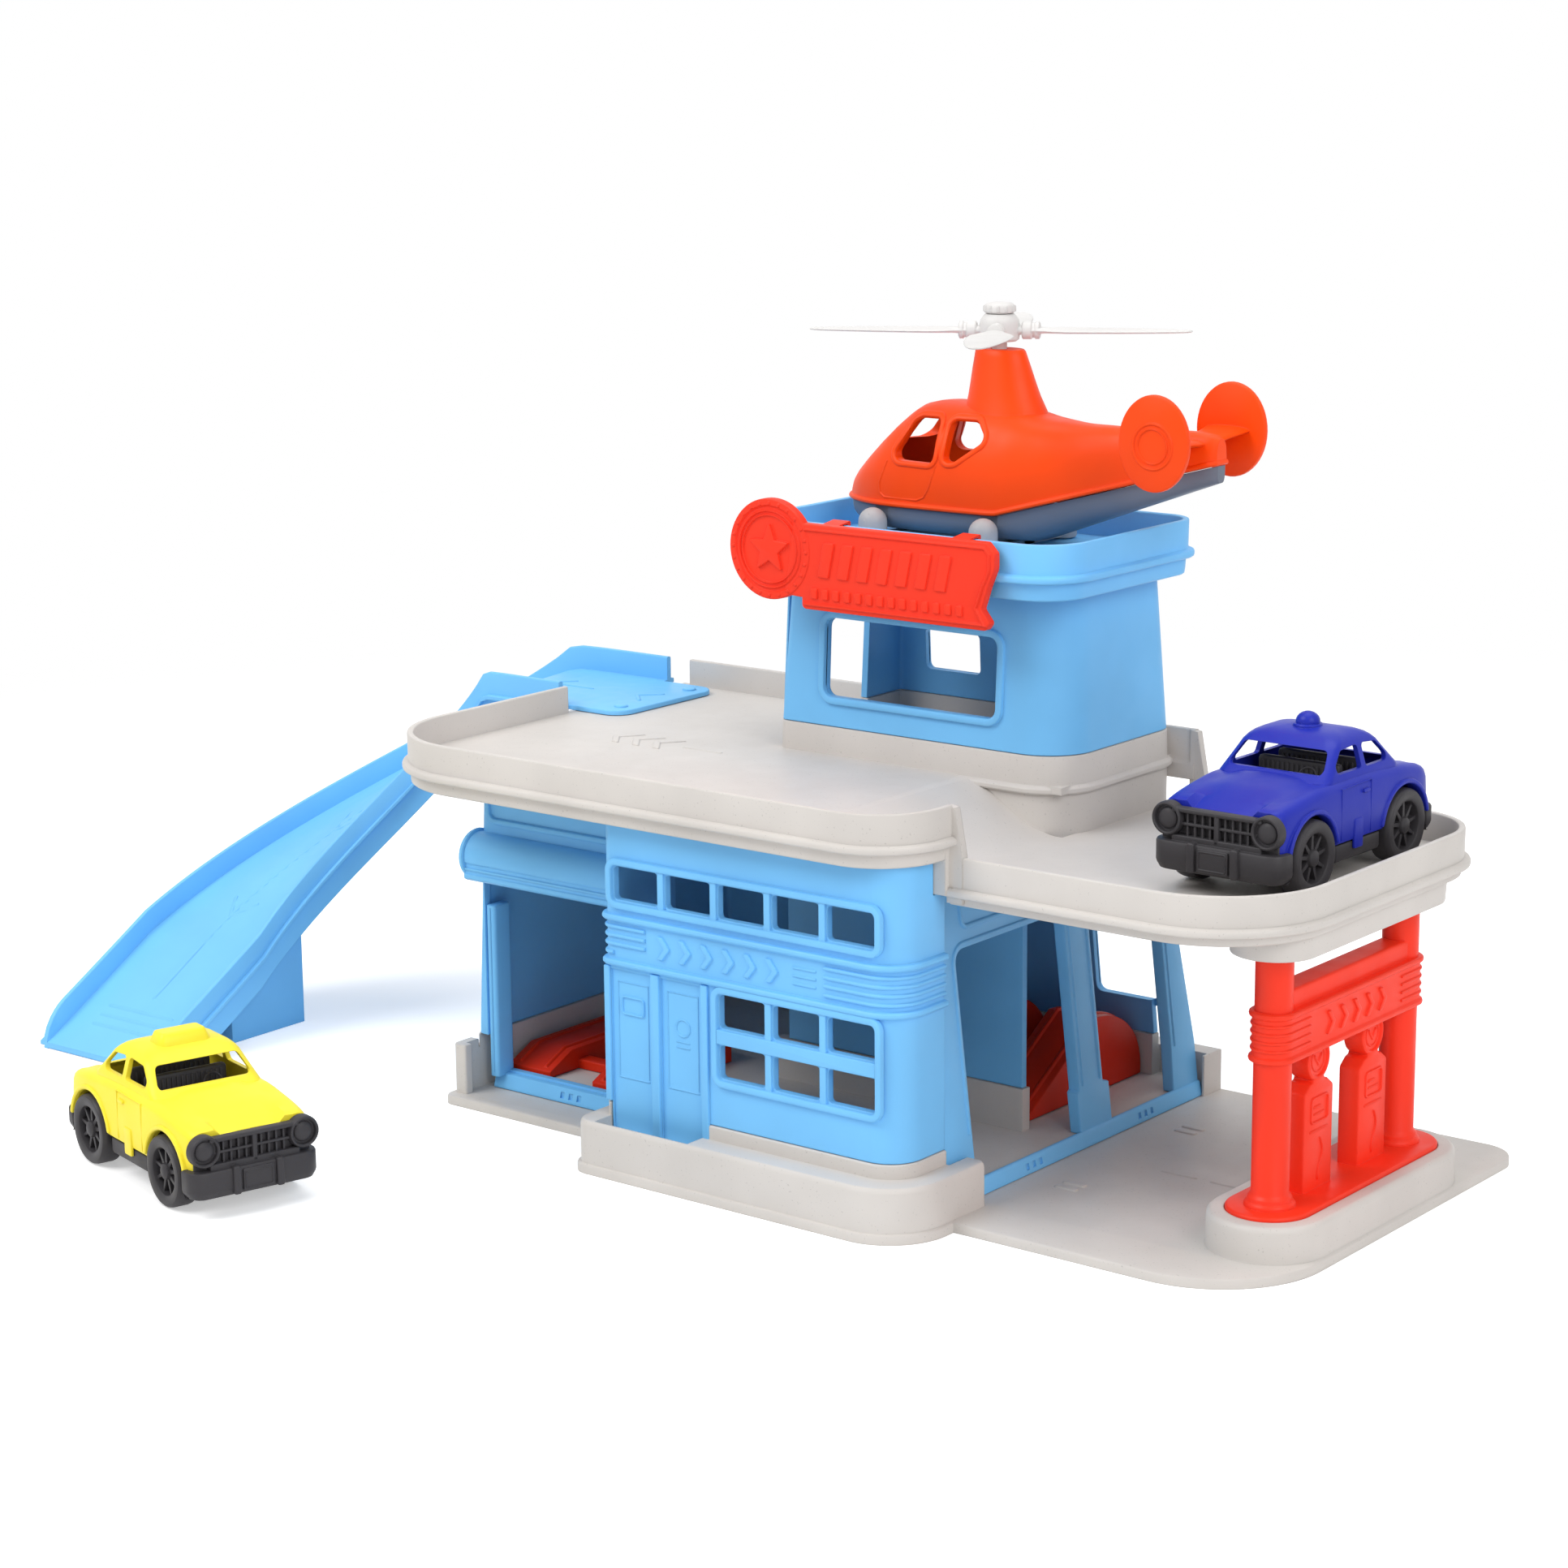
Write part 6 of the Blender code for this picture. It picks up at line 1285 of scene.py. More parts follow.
    def seats_mesh(self) -> Mesh:
        """The dark ribbed bench seats, dashboard and steering wheel.

        Returns:
            The mesh.
        """
        back = [(0.0, 0.0), (0.0, 25.0), (-0.4, 26.0), (-1.2, 26.4)]
        rib = turned(outline(rectangle(-0.45, 0.45, -0.6, 0.6, 0.3), 2),
            [(0, 9.0), (0, 23.4), (-0.2, 23.8)])
        parts = [box((-17, 13), (-18.0, 18.0), (15.5, 19.5))]
        for x in (-14.2, -0.2):
            seat = turned(outline(rectangle(x - 1.8, x + 1.8, -17.4, 17.4, 1.2), 4),
                [(o, z + 15.6) for o, z in back])
            parts.append(seat)
            parts.append(self.repeater.run(rib.copy(), 15, Finish.DARK, (x + 1.9, -14.7, 16.6),
                    (0, 2.1, 0)))
            parts.append(turned(outline(rectangle(x + 1.0, x + 8.0, -17.0, 17.0, 1.5), 4),
                    softened(18.6, 26.0, 1.2)))
        parts.append(turned(outline(rectangle(10.0, 13.6, -17.4, 17.4, 1.2), 4), softened(18.6, 36.6, 1.0)))
        wheel = rod((0, 0, 0), "X", [(3.8, -0.4), (4.3, 0.0), (3.8, 0.4), (3.3, 0.0)], 20, loop=True)
        wheel.transform(placed((8.2, 8.0, 37.4)) @ Matrix.Rotation(math.radians(-25), 4, "Y"))
        parts.append(wheel)
        return together(parts)

    def wheel_mesh(self) -> Mesh:
        """A wheel about Y: tyre, sunk dish, spokes and hub cap, with a blind bore for the axle.

        Returns:
            The mesh.
        """
        width = self.wheel_width
        big = self.wheel_radius
        tyre = rod((0, 0, 0), "Y", [
                (big - 2.2, 0.0), (big - 1.0, 0.15), (big - 0.25, 0.8), (big, 1.9), (big, width - 2.2),
                (big - 0.3, width - 0.9), (big - 1.0, width - 0.15), (big - 2.1, width),
                (big - 4.2, width - 0.3), (big - 4.8, width - 0.7), (big - 5.1, width - 1.6),
                (big - 5.4, width - 4.2),
            ], 48)
        spoke = across([(-0.9, 1.6), (0.9, 1.6), (0.5, 9.2), (-0.5, 9.2)], width - 4.6, width - 1.9, "Y")
        depth = self.axle_end - self.wheel_inside + 0.3
        bore = rod((0, 0, 0), "Y", [(self.axle_radius + 0.3, -5.0), (self.axle_radius + 0.3, depth)], 16)
        hub = rod((0, 0, 0), "Y", [(3.4, width - 4.6), (3.4, width - 1.6), (3.0, width - 0.8),
                (2.1, width - 0.3), (0.8, width - 0.05)], 24)
        spokes = self.repeater.run(spoke, self.spokes, Finish.DARK, turn=(0, 360 / self.spokes, 0))
        return moulded(tyre, [cut(bore)], [spokes, hub])

    def build(self) -> None:
        """Makes the body, chassis, seats, axles and wheels."""
        place = self.place()
        self.body = self.prefix
        self.show(f"{self.prefix}_shell", self.body_mesh(), self.paint, [f"{self.prefix}_body"], place)
        self.show(f"{self.prefix}_frame", self.chassis_mesh(), Finish.DARK, [f"{self.prefix}_chassis"],
            place)
        self.show(f"{self.prefix}_benches", self.seats_mesh(), Finish.DARK, [f"{self.prefix}_seats"], place)
        for end, x in (("front", self.wheelbase / 2), ("rear", -self.wheelbase / 2)):
            self.body = f"{self.prefix}_{end}_wheels"
            axle = rod((x, 0, self.wheel_radius), "Y", [
                (self.axle_radius - 0.4, -self.axle_end + 0.6), (self.axle_radius, -self.axle_end + 1.0),
                (self.axle_radius, self.axle_end - 1.0), (self.axle_radius - 0.4, self.axle_end - 0.6),
            ], 20)
            self.show(f"{self.prefix}_{end}_shaft", axle, Finish.DARK, [f"{self.prefix}_{end}_axle"], place)
            for letter, side, turn in (("l", 1, 0.0), ("r", -1, 180.0)):
                spot = place @ placed((x, side * self.wheel_inside, self.wheel_radius), turn)
                name = f"{self.prefix}_wheel_{end[0]}{letter}"
                self.show(name.replace("wheel", "tyre"), self.wheel_mesh(), Finish.DARK, [name], spot)


@dataclass
class CabinSkin(Surface):
    """One side of the helicopter's skin, told by its place along and its height."""

    craft: "Helicopter"
    side: int

    def point(self, x: float, z: float) -> Vector:
        """The place on the skin at a length and a height.

        Args:
            x: its place along.
            z: its height.

        Returns:
            The place.
        """
        half, low, high = self.craft.reach(x)
        share = min(max((z - low) / (high - low), 0.0), 0.999)
        angle = math.asin(share ** (1 / self.craft.squareness))
        return Vector((x, self.side * half * math.cos(angle) ** self.craft.squareness, z))

    def at(self, u: float, v: float, out: float = 0.0) -> Vector:
        """The point at length u and height v, out from the skin.

        Args:
            u: its place along.
            v: its height.
            out: how far out.

        Returns:
            The point.
        """
        here = self.point(u, v)
        ahead = self.point(u + 0.4, v) - self.point(u - 0.4, v)
        rise = self.point(u, v + 0.4) - self.point(u, v - 0.4)
        normal = ahead.cross(rise).normalized()
        if normal.y * self.side < 0:
            normal.negate()
        return here + normal * out


@dataclass
class Helicopter(Assembly):
    """Toy helicopter: hollow orange body on a slate hull with gray feet, a mast and a rotor that turns."""

    at: tuple[float, float, float] = (-9.0, 51.0, 235.8)
    squareness: float = 0.72
    belt: float = 14.7
    belt_tail: float = 39.0
    rise_start: float = 14.0
    tail: float = 103.0
    nose: float = -68.5
    wall: float = 2.0
    keel: float = 3.6
    mast_top: float = 77.7
    fin_x: float = 90.5
    fin_y: float = 28.0
    fin_z: float = 49.0
    fin_size: tuple[float, float] = (15.5, 18.5)
    foot_xs: tuple[float, float] = (-42.0, 12.0)
    foot_y: float = 28.0
    foot_radius: float = 5.8
    foot_height: float = 14.2
    hub_bottom: float = 80.5
    hub_top: float = 91.5
    blade_z: float = 85.0
    blade_angle: float = 28.0
    blades: int = 4

    def stations(self) -> list[tuple[float, float, float]]:
        """The body's place, half width and top, from nose to tail.

        Returns:
            One tuple for each station.
        """
        return [
            (self.nose, 4.0, 16.6), (-67.5, 7.5, 20.0), (-64.0, 12.5, 25.5), (-58.0, 17.5, 31.5),
            (-50.0, 21.5, 39.0), (-43.0, 23.6, 45.6), (-35.0, 24.7, 52.0), (-29.0, 25.0, 55.4),
            (-20.0, 25.0, 56.2), (-8.0, 25.0, 56.0), (6.0, 24.6, 55.4), (14.0, 23.6, 54.5),
            (28.0, 19.0, 52.0), (45.0, 13.5, 50.6), (70.0, 9.0, 50.6), (92.0, 6.8, 51.0),
            (100.0, 5.4, 50.4), (self.tail, 3.6, 48.8),
        ]

    def belt_at(self, x: float) -> float:
        """Height of the join between body and hull."""
        return self.belt + (self.belt_tail - self.belt) * max(0.0, (x - self.rise_start)
            / (self.tail - self.rise_start))

    def reach(self, x: float) -> tuple[float, float, float]:
        """Half width, bottom and top of the body at a place along it."""
        half, high = eased(self.stations(), min(max(x, self.nose), self.tail))
        return half, self.belt_at(x), high

    def lengths(self, count: int = 72) -> list[float]:
        """Places of the sections from nose to tail."""
        xs = {self.nose + (self.tail - self.nose) * k / count for k in range(count + 1)}
        return sorted(xs | {self.nose + 0.4, self.nose + 1.2, self.tail - 0.5, self.tail - 1.2})

    def body_mesh(self) -> Mesh:
        """The orange body with its mast, stabiliser and fins.

        Returns:
            The mesh.
        """
        outer = lofted([(x, *self.reach(x)) for x in self.lengths()], self.squareness, 32)
        inner = lofted([(x, half - self.wall, -5.0, high - self.wall) for x, (half, _, high) in (
                (x, self.reach(x)) for x in (-57, -50, -43, -35, -29, -20, -8, 6, 14, 28))],
            self.squareness, 20)
        levels = [
            (24.0, -15.5, 14.5, 46.0), (22.0, -14.6, 13.4, 52.0), (20.0, -13.8, 12.2, 56.0),
            (18.2, -13.1, 11.3, 59.5), (16.4, -12.4, 10.3, 64.0), (14.2, -11.6, 9.0, 70.0),
            (12.3, -10.8, 7.9, 75.0), (11.6, -10.5, 7.5, 76.9), (10.8, -9.8, 6.8, self.mast_top),
        ]
        mast = solid([[((b + f) / 2 + (b - f) / 2 * math.cos(a), half * math.sin(a), z) for a in (
            2 * math.pi * k / 36 for k in range(36))] for b, f, half, z in levels])
        bore = rod((0, 0, 0), "Z", [(3.4, self.mast_top - 11), (3.4, self.mast_top + 5)], 20)
        side = front(0.0)
        lights = [side.hole(corners, -60.0, 60.0, 7) for corners in (self.door_light(), self.rear_light())]
        screen = right(0.0).hole([(-16, 38.5, 3.0), (16, 38.5, 3.0), (12.5, 50.5, 3.5), (-12.5, 50.5, 3.5)],
            -60, -36, 6)
        tip = self.fin_x - 1.5
        rows = []
        for k in range(25):
            y = -self.fin_y + 2 * self.fin_y * k / 24
            away = abs(y) / self.fin_y
            reach = 10.5 - 3.0 * math.sin(math.pi * away) * 0.6
            lift = 2.4 * away ** 2
            rows.append([(tip + reach * math.cos(a), y, self.fin_z - 2.2 + lift + 1.7 * math.sin(a))
                for a in (2 * math.pi * j / 20 for j in range(20))])
        fins = []
        for turn in (-1, 1):
            face = Face(Vector((self.fin_x, turn * self.fin_y, self.fin_z)), Vector((turn * -1, 0, 0)) * -1,
                        Vector((0, 0, 1)))
            fins.append(face.raised(circle(0, 0, self.fin_size[0], 48, self.fin_size[1] / self.fin_size[0]),
                [(-0.9, -1.5), (-0.2, -1.1), (0.0, -0.4), (0.0, 0.4), (-0.2, 1.1), (-0.9, 1.5)]))
        changes = [add(mast), cut(inner), cut(together(lights)), cut(screen), cut(bore), add(solid(rows)),
                   add(together(fins))]
        return moulded(outer, changes, self.body_relief())

    def door_light(self) -> list[Corner]:
        """Corners of the front side window, in length and height."""
        return [(-36.6, 33.4, 3.2), (-15.2, 33.0, 3.0), (-15.2, 50.8, 3.0), (-27.0, 50.8, 4.6)]

    def rear_light(self) -> list[Corner]:
        """Corners of the rear side window, in length and height."""
        return [(-10.4, 34.0, 2.4), (-5.4, 34.4, 5.0), (8.2, 43.8, 3.0), (1.5, 50.6, 4.5),
            (-10.4, 50.6, 2.4)]

    def body_relief(self) -> list[Mesh]:
        """Window rims, door line, the lip at the belt and rings on the fins.

        Returns:
            The meshes.
        """
        found = []
        for turn in (-1, 1):
            skin = CabinSkin(self, turn)
            for corners in (self.door_light(), self.rear_light()):
                points = [tuple(p) for p, _ in outline(moved(corners, 1.1), 7)]
                found.append(skin.bead(points, 1.15, 0.8, closed=True, sink=0.9))
            door = [(-38.6, 32.6), (-42.0, 24.0), (-41.5, 19.8), (-39.0, 18.2), (-22.5, 18.2),
                (-19.2, 19.6), (-17.0, 23.0), (-13.8, 32.6)]
            found.append(skin.bead(door, 0.35, 0.35, sink=0.5))
            fin = Face(Vector((self.fin_x, turn * (self.fin_y + 1.5), self.fin_z - 1.0)),
                Vector((-turn, 0, 0)), Vector((0, 0, 1)))
            for radius, half in ((8.6, 0.55), (6.6, 0.3)):
                found.append(fin.bead([tuple(p) for p, _ in circle(0, 0, radius, 40)], half, 0.55,
                        closed=True))
        xs = self.lengths(60)[1:-1]
        lip = []
        for turn, line in ((1, xs), (-1, list(reversed(xs)))):
            for x in line:
                half, low, _ = self.reach(x)
                lip.append((Vector((x, turn * half)), low))
        rings = []
        for i, (here, z) in enumerate(lip):
            along = (lip[(i + 1) % len(lip)][0] - lip[i - 1][0]).normalized()
            out = Vector((-along.y, along.x))
            if out.y * here.y < 0:
                out.negate()
            rings.append([(here.x + out.x * a, here.y + out.y * a, z + b) for a, b in (
                (-1.2, 0.05), (0.6, 0.05), (1.1, 0.5), (1.1, 1.3), (0.6, 1.9), (-1.2, 2.2))])
        found.append(solid(rings, loop=True))
        return found

    def hull_mesh(self) -> Mesh:
        """The slate hull under the body.

        Returns:
            The mesh.
        """
        rings = []
        for x in self.lengths():
            half, low, _ = self.reach(x)
            high = low - 0.3
            reach = half - 0.9
            if x < -50:
                bottom = self.keel + (high - self.keel) * 0.5 * ((-50 - x) / 18.5) ** 1.6
            else:
                bottom = self.keel + (max(0.0, x - 24.0) * (self.belt_tail - 7 - self.keel)
                    / (self.tail - 24.0))
            row = []
            for k in range(25):
                angle = math.pi * k / 24
                row.append((x, reach * math.copysign(abs(math.cos(angle)) ** 0.6, math.cos(angle)),
                            high - (high - bottom) * math.sin(angle) ** 0.6))
            rings.append(row)
        tub = lofted([(x, self.reach(x)[0] - 4.5, self.keel + 2.5, self.belt + 12)
                for x in (-43, -30, -8, 14)], 0.3, 12)
        notches = together([rod((x, y, 0), "Z", [(self.foot_radius + 0.5, -5),
                (self.foot_radius + 0.5, self.belt + 5)]) for x in self.foot_xs
                for y in (-self.foot_y, self.foot_y)])
        return moulded(solid(rings), [cut(tub), cut(notches)])

    def gear_mesh(self) -> Mesh:
        """The gray feet with their flat frame.

        Returns:
            The mesh.
        """
        low = 0.9
        high = 3.1
        front_x, back_x = self.foot_xs
        parts = [turned(outline(rectangle(front_x - 3, back_x + 3, -5, 5, 1.5), 4),
                softened(low, high, 0.5))]
        radius = self.foot_radius
        dome = [(radius - 1.2, 0.0), (radius - 0.3, 0.35), (radius, 1.2), (radius, self.foot_height - 5.6)]
        dome += [(radius * math.cos(math.radians(a)),
            self.foot_height - 5.6 + 5.6 * math.sin(math.radians(a))) for a in (15, 30, 45, 60, 75, 86)]
        for x in self.foot_xs:
            parts.append(turned(outline(rectangle(x - 3, x + 3, -self.foot_y, self.foot_y, 1.0), 4),
                                softened(low, high, 0.5)))
            for y in (-self.foot_y, self.foot_y):
                parts.append(rod((x, y, 0), "Z", dome, 28))
                for side in (front(y - radius + 0.2), rear(y + radius - 0.2)):
                    u = x if side.along.x > 0 else -x
                    parts.append(side.bead([(u, 1.6), (u, self.foot_height - 5.0)], 0.6, 0.3, sink=0.5))
        return together(parts)

    def rotor_mesh(self) -> Mesh:
        """The hub with its shaft, knuckles and blades.

        Returns:
            The mesh.
        """
        profile = [(3.0, self.mast_top - 10), (3.0, self.hub_bottom), (6.8, self.hub_bottom + 0.2),
                   (7.8, self.hub_bottom + 1.0), (8.0, self.hub_bottom + 2.0), (8.0, self.hub_top - 4.0),
                   (7.6, self.hub_top - 2.4), (6.6, self.hub_top - 0.8), (5.6, self.hub_top)]
        hub = rod((0, 0, 0), "Z", profile, 36)
        shape = [(5.0, 3.0, 1.9), (8.0, 3.3, 1.9), (14.0, 3.4, 1.6), (18.0, 5.0, 1.2), (22.0, 7.6, 1.1),
            (27.0, 9.0, 1.1), (36.0, 9.0, 1.0), (48.0, 8.2, 0.95), (60.0, 6.6, 0.85), (69.0, 4.9, 0.75),
            (74.0, 3.3, 0.6), (75.6, 2.0, 0.45), (76.0, 1.0, 0.3)]
        rings = []
        for reach, half, thick in shape:
            rings.append([(reach, half * math.cos(a), thick * math.sin(a)) for a in (
                2 * math.pi * k / 20 for k in range(20))])
        knuckle = rod((0, 0, 0), "X", [(3.0, 9.0), (3.6, 9.5), (3.6, 12.6), (3.0, 13.1), (3.0, 14.0),
                (3.5, 14.4), (3.5, 15.8), (2.8, 16.2)], 24)
        blade = together([solid(rings), knuckle])
        step = 360 / self.blades
        blade.transform(Matrix.Rotation(math.radians(self.blade_angle), 4, "Z"))
        blades = self.repeater.run(blade, self.blades, Finish.PALE, (0, 0, self.blade_z), turn=(0, 0, step))
        bore = rod((0, 0, 0), "Z", [(2.3, self.hub_top - 6), (2.3, self.hub_top + 5)], 16)
        return moulded(hub, [cut(bore)], [blades])

    def cap_mesh(self) -> Mesh:
        """The round cap on the hub.

        Returns:
            The mesh.
        """
        high = self.hub_top
        cap = rod((0, 0, 0), "Z", [(2.0, high - 5), (2.0, high + 0.3), (5.6, high + 0.3), (6.2, high + 0.8),
                (6.2, high + 2.6), (5.8, high + 3.5), (4.9, high + 4.2), (3.0, high + 4.45)], 36)
        ribs = self.repeater.run(rod((6.1, 0, 0), "Z", [(0.45, 0.9), (0.45, 2.9), (0.2, 3.3)], 8), 12,
            Finish.PALE, (0, 0, high), turn=(0, 0, 30))
        return together([cap, ribs])

    def build(self) -> None:
        """Makes the body, hull, feet, rotor and cap."""
        place = placed(self.at)
        self.body = "helicopter"
        self.show("helicopter_body_shell", self.body_mesh(), Finish.ORANGE, ["heli_fuselage"], place)
        self.show("helicopter_lower_hull", self.hull_mesh(), Finish.SLATE, ["heli_hull"], place)
        self.show("helicopter_feet", self.gear_mesh(), Finish.SILVER, ["heli_landing_gear"], place)
        self.body = "rotor"
        self.show("helicopter_blades", self.rotor_mesh(), Finish.PALE, ["heli_rotor"], place)
        self.show("helicopter_hub_cap", self.cap_mesh(), Finish.PALE, ["heli_rotor_cap"], place)


def slope_height(x: float) -> float:
    """Height of the driving surface between the deck and the canopy."""
    share = min(max((x - 3.0) / 45.0, 0.0), 1.0)
    return 150.0 - 19.5 * share * share * (3 - 2 * share)


def rib(path: Path, height: float, half: float, proud: float, loop: bool = False) -> Mesh:
    """A rounded rib along a path, at one height.

    Args:
        path: points of a wall and the outward directions there.
        height: its middle.
        half: half its height.
        proud: how far it stands out.
        loop: True joins its end to its start.

    Returns:
        The mesh.
    """
    section = ((-0.8, -half), (proud * 0.7, -half * 0.8), (proud, -half * 0.3), (proud, half * 0.3),
               (proud * 0.7, half * 0.8), (-0.8, half))
    return solid([[(p.x + out.x * a, p.y + out.y * a, height + b) for a, b in section] for p, out in path],
        loop)


@dataclass
class GarageWalls(Assembly):
    """Sky-blue lower building: front block with windows and doors, left bay with its shutter, walls."""

    facade: float = -104.0
    back: float = 104.0
    left_wall: float = -193.0
    block_left: float = -88.0
    block_right: float = 55.0
    bay_front: float = -66.0
    side_end: float = -75.0
    bottom: float = 27.3
    top: float = 146.7
    wall: float = 3.0
    left_lean: float = 6.5
    back_lean: float = 17.5
    frame_inner: float = 36.0
    canopy_under: float = 127.2
    window_left: float = -81.5
    window_pitch: float = 26.0
    window_size: tuple[float, float] = (22.0, 13.3)
    upper_sill: float = 109.7
    lower_sills: tuple[float, float] = (46.8, 66.8)
    door_left: float = -84.0
    door_pitch: float = 25.0
    door_width: float = 20.5
    door_top: float = 81.5
    door_recess: float = 0.9
    threshold: float = 16.3
    rib_heights: tuple[float, float] = (84.5, 102.5)
    thin_ribs: tuple[float, ...] = (88.3, 91.8, 95.2, 98.7)
    line_ends: tuple[float, float] = (-66.0, 21.0)
    shutter_height: float = 105.0
    back_window: tuple[float, float, float, float] = (9.0, 38.0, 42.0, 75.0)

    def plan(self, left_lean: float = 0.0, back_lean: float = 0.0) -> Path:
        """The walls' outline; the leans move the left and the back wall inward.

        Args:
            left_lean: how far the left wall moves in.
            back_lean: the same for the back wall.

        Returns:
            The outline.
        """
        back = self.back - back_lean
        left_x = self.left_wall + left_lean
        return outline([
                (self.block_left, self.facade, 5.0), (self.block_right, self.facade, 14.0),
                (self.block_right, back, 5.0), (left_x, back, 5.0), (left_x, self.bay_front, 5.0),
                (self.block_left, self.bay_front, 0),
            ], 12)

    def windows(self) -> list[list[Corner]]:
        """Corners of every window in the front.

        Returns:
            The corners of each.
        """
        wide, tall = self.window_size
        spots = [(k, self.upper_sill) for k in range(5)] + [(k, sill) for sill in self.lower_sills
            for k in (2, 3, 4)]
        return [rectangle(self.window_left + k * self.window_pitch,
            self.window_left + k * self.window_pitch + wide, sill, sill + tall, 1.7) for k, sill in spots]

    def walls_mesh(self) -> Mesh:
        """The building's walls.

        Returns:
            The mesh.
        """
        low = self.plan()
        high = self.plan(self.left_lean, self.back_lean)
        shell = solid([ring(low, 0, self.bottom), ring(high, 0, self.top), ring(high, -self.wall, self.top),
                       ring(low, -self.wall, self.bottom)], loop=True)
        xs = [3 + 45 * k / 24 for k in range(25)]
        above = [(2.5, self.top + 10), *[(x, slope_height(x) - 3.3) for x in xs],
                 (self.block_right + 5, self.canopy_under), (self.block_right + 5, self.top + 10)]
        face = front(self.facade)
        doors = [box((x, x + self.door_width), (self.facade - 4, self.facade + self.door_recess),
                (0, self.door_top)) for x in (self.door_left, self.door_left + self.door_pitch)]
        x0, x1, z0, z1 = self.back_window
        changes = [
            cut(box((self.frame_inner, self.block_right + 10), (self.side_end, self.back + 10),
                (0, self.top + 10))), cut(across(above, -82.4, 7.6, "Y")),
            cut(box((self.left_wall + 7, self.block_left - 0.2), (self.bay_front - 3, self.bay_front + 5),
                (0, 95.0))), add(box((self.frame_inner - 6, self.block_right - 0.5),
                (self.side_end - self.wall - 0.3, self.side_end - 0.3), (self.bottom, self.canopy_under))),
            add(box((-84.5, -38.5), (self.facade + 0.1, self.facade + self.wall - 0.1),
                (self.threshold, self.bottom + 1))), cut(together(doors)),
            cut(together([face.hole(corners, -12.0, 5.0) for corners in self.windows()])),
            cut(rear(self.back).hole(rectangle(-x1, -x0, z0, z1, 3.0), -20.0, 5.0)),
        ]
        return moulded(shell, changes, [*self.window_relief(0, (self.upper_sill,)),
                *self.window_relief(2, self.lower_sills), *self.band_relief(), *self.door_relief(),
                *self.bay_relief(), *self.back_relief()])

    def window_relief(self, first: int, sills: Sequence[float]) -> list[Mesh]:
        """Border and bars of a group of windows.

        Args:
            first: its first column; the fifth is its last.
            sills: the sill heights of its rows.

        Returns:
            The meshes.
        """
        face = front(self.facade)
        wide, tall = self.window_size
        low = sills[0] - 0.5
        high = sills[-1] + tall + 0.5
        near = self.window_left + first * self.window_pitch - 0.5
        far = self.window_left + 4 * self.window_pitch + wide + 0.5
        found = [face.border(rectangle(near, far, low, high, 2.2), 3.0, -0.5, 1.9)]
        gap = self.window_pitch - wide
        for k in range(first + 1, 5):
            x = self.window_left + k * self.window_pitch
            found.append(face.slab(rectangle(x - gap + 0.5, x - 0.5, low - 0.3, high + 0.3, 0.3), -0.5, 1.1,
                    0.8))
        for sill, above in zip(sills, sills[1:]):
            found.append(face.slab(rectangle(near - 0.3, far + 0.3, sill + tall + 0.5, above - 0.5, 0.4),
                    -0.5, 1.5, 1.0))
        return found

    def band_relief(self) -> list[Mesh]:
        """Two strong ribs round the block, thin ribs at its corners and plain chevrons between them.

        Returns:
            The meshes.
        """
        low = self.plan()
        start = (Vector((self.block_left, self.bay_front - 1.0)), Vector((-1, 0)))
        end = (Vector((self.block_right, self.side_end)), Vector((1, 0)))
        near = [start, *low[:13]]
        far = [*low[13:26], end]
        found = [rib([*near, *far], height, 1.5, 2.1) for height in self.rib_heights]
        ahead = Vector((0, -1))
        for i, height in enumerate(self.thin_ribs):
            found.append(rib([(Vector((self.line_ends[1], self.facade)), ahead), *far], height, 0.85, 1.0))
            stop = self.line_ends[0] if i else self.block_left + 6
            found.append(rib([*near, (Vector((stop, self.facade)), ahead)], height, 0.85, 1.0))
        chevron = front(0.0).slab([(0, -4.6, 0.4), (2.8, -4.6, 0.4), (6.4, 0, 0.5), (2.8, 4.6, 0.4),
                (0, 4.6, 0.4), (3.6, 0, 0.4)], -0.5, 1.0, 0.35, 3)
        found.append(self.repeater.run(chevron, 6, Finish.SKY, (-60.0, self.facade, 93.5), (10.6, 0, 0)))
        dash = front(0.0).bead([(0, 0), (10, 0)], 0.6, 0.6)
        found.append(self.repeater.run(dash, 3, Finish.SKY, (6.5, self.facade, 90.4), (0, 0, 3.1)))
        return found

    def door_relief(self) -> list[Mesh]:
        """Panels on both doors, a blank plate, a plain ring mark and the pilasters beside the doors.

        Returns:
            The meshes.
        """
        face = front(self.facade + self.door_recess)
        wall = front(self.facade)
        found = []
        for x in (self.door_left, self.door_left + self.door_pitch):
            near = x + 3.0
            far = x + self.door_width - 2.4
            found.append(face.bead([(near, 76.6), (near, 38.0), (far, 38.0)], 0.3, 0.4, sink=0.3))
            found.append(face.bead([(near, 76.6), (far, 76.6), (far, 39.0)], 0.22, 0.3, sink=0.3))
        plate = rectangle(self.door_left + 5.4, self.door_left + 15.6, 64.4, 70.6, 1.0)
        found.append(face.border(plate, 0.7, -0.3, 0.8, 4))
        middle = self.door_left + self.door_pitch + 10.5
        found.append(face.bead([tuple(p) for p, _ in circle(middle, 63.0, 3.4, 24)], 0.4, 0.5, closed=True))
        for height in (57.4, 55.2):
            found.append(face.bead([(middle - 3.0, height), (middle + 3.0, height)], 0.35, 0.45))
        for near, far in ((-63.3, -59.2), (-38.3, -34.9)):
            found.append(wall.slab(rectangle(near, far, self.threshold + 0.4, 82.6, 0.4), -0.6, 1.2, 0.8))
        found.append(wall.slab(rectangle(-87.2, -84.3, self.bottom + 0.3, 82.6, 0.4), -0.6, 0.8, 0.5))
        return found

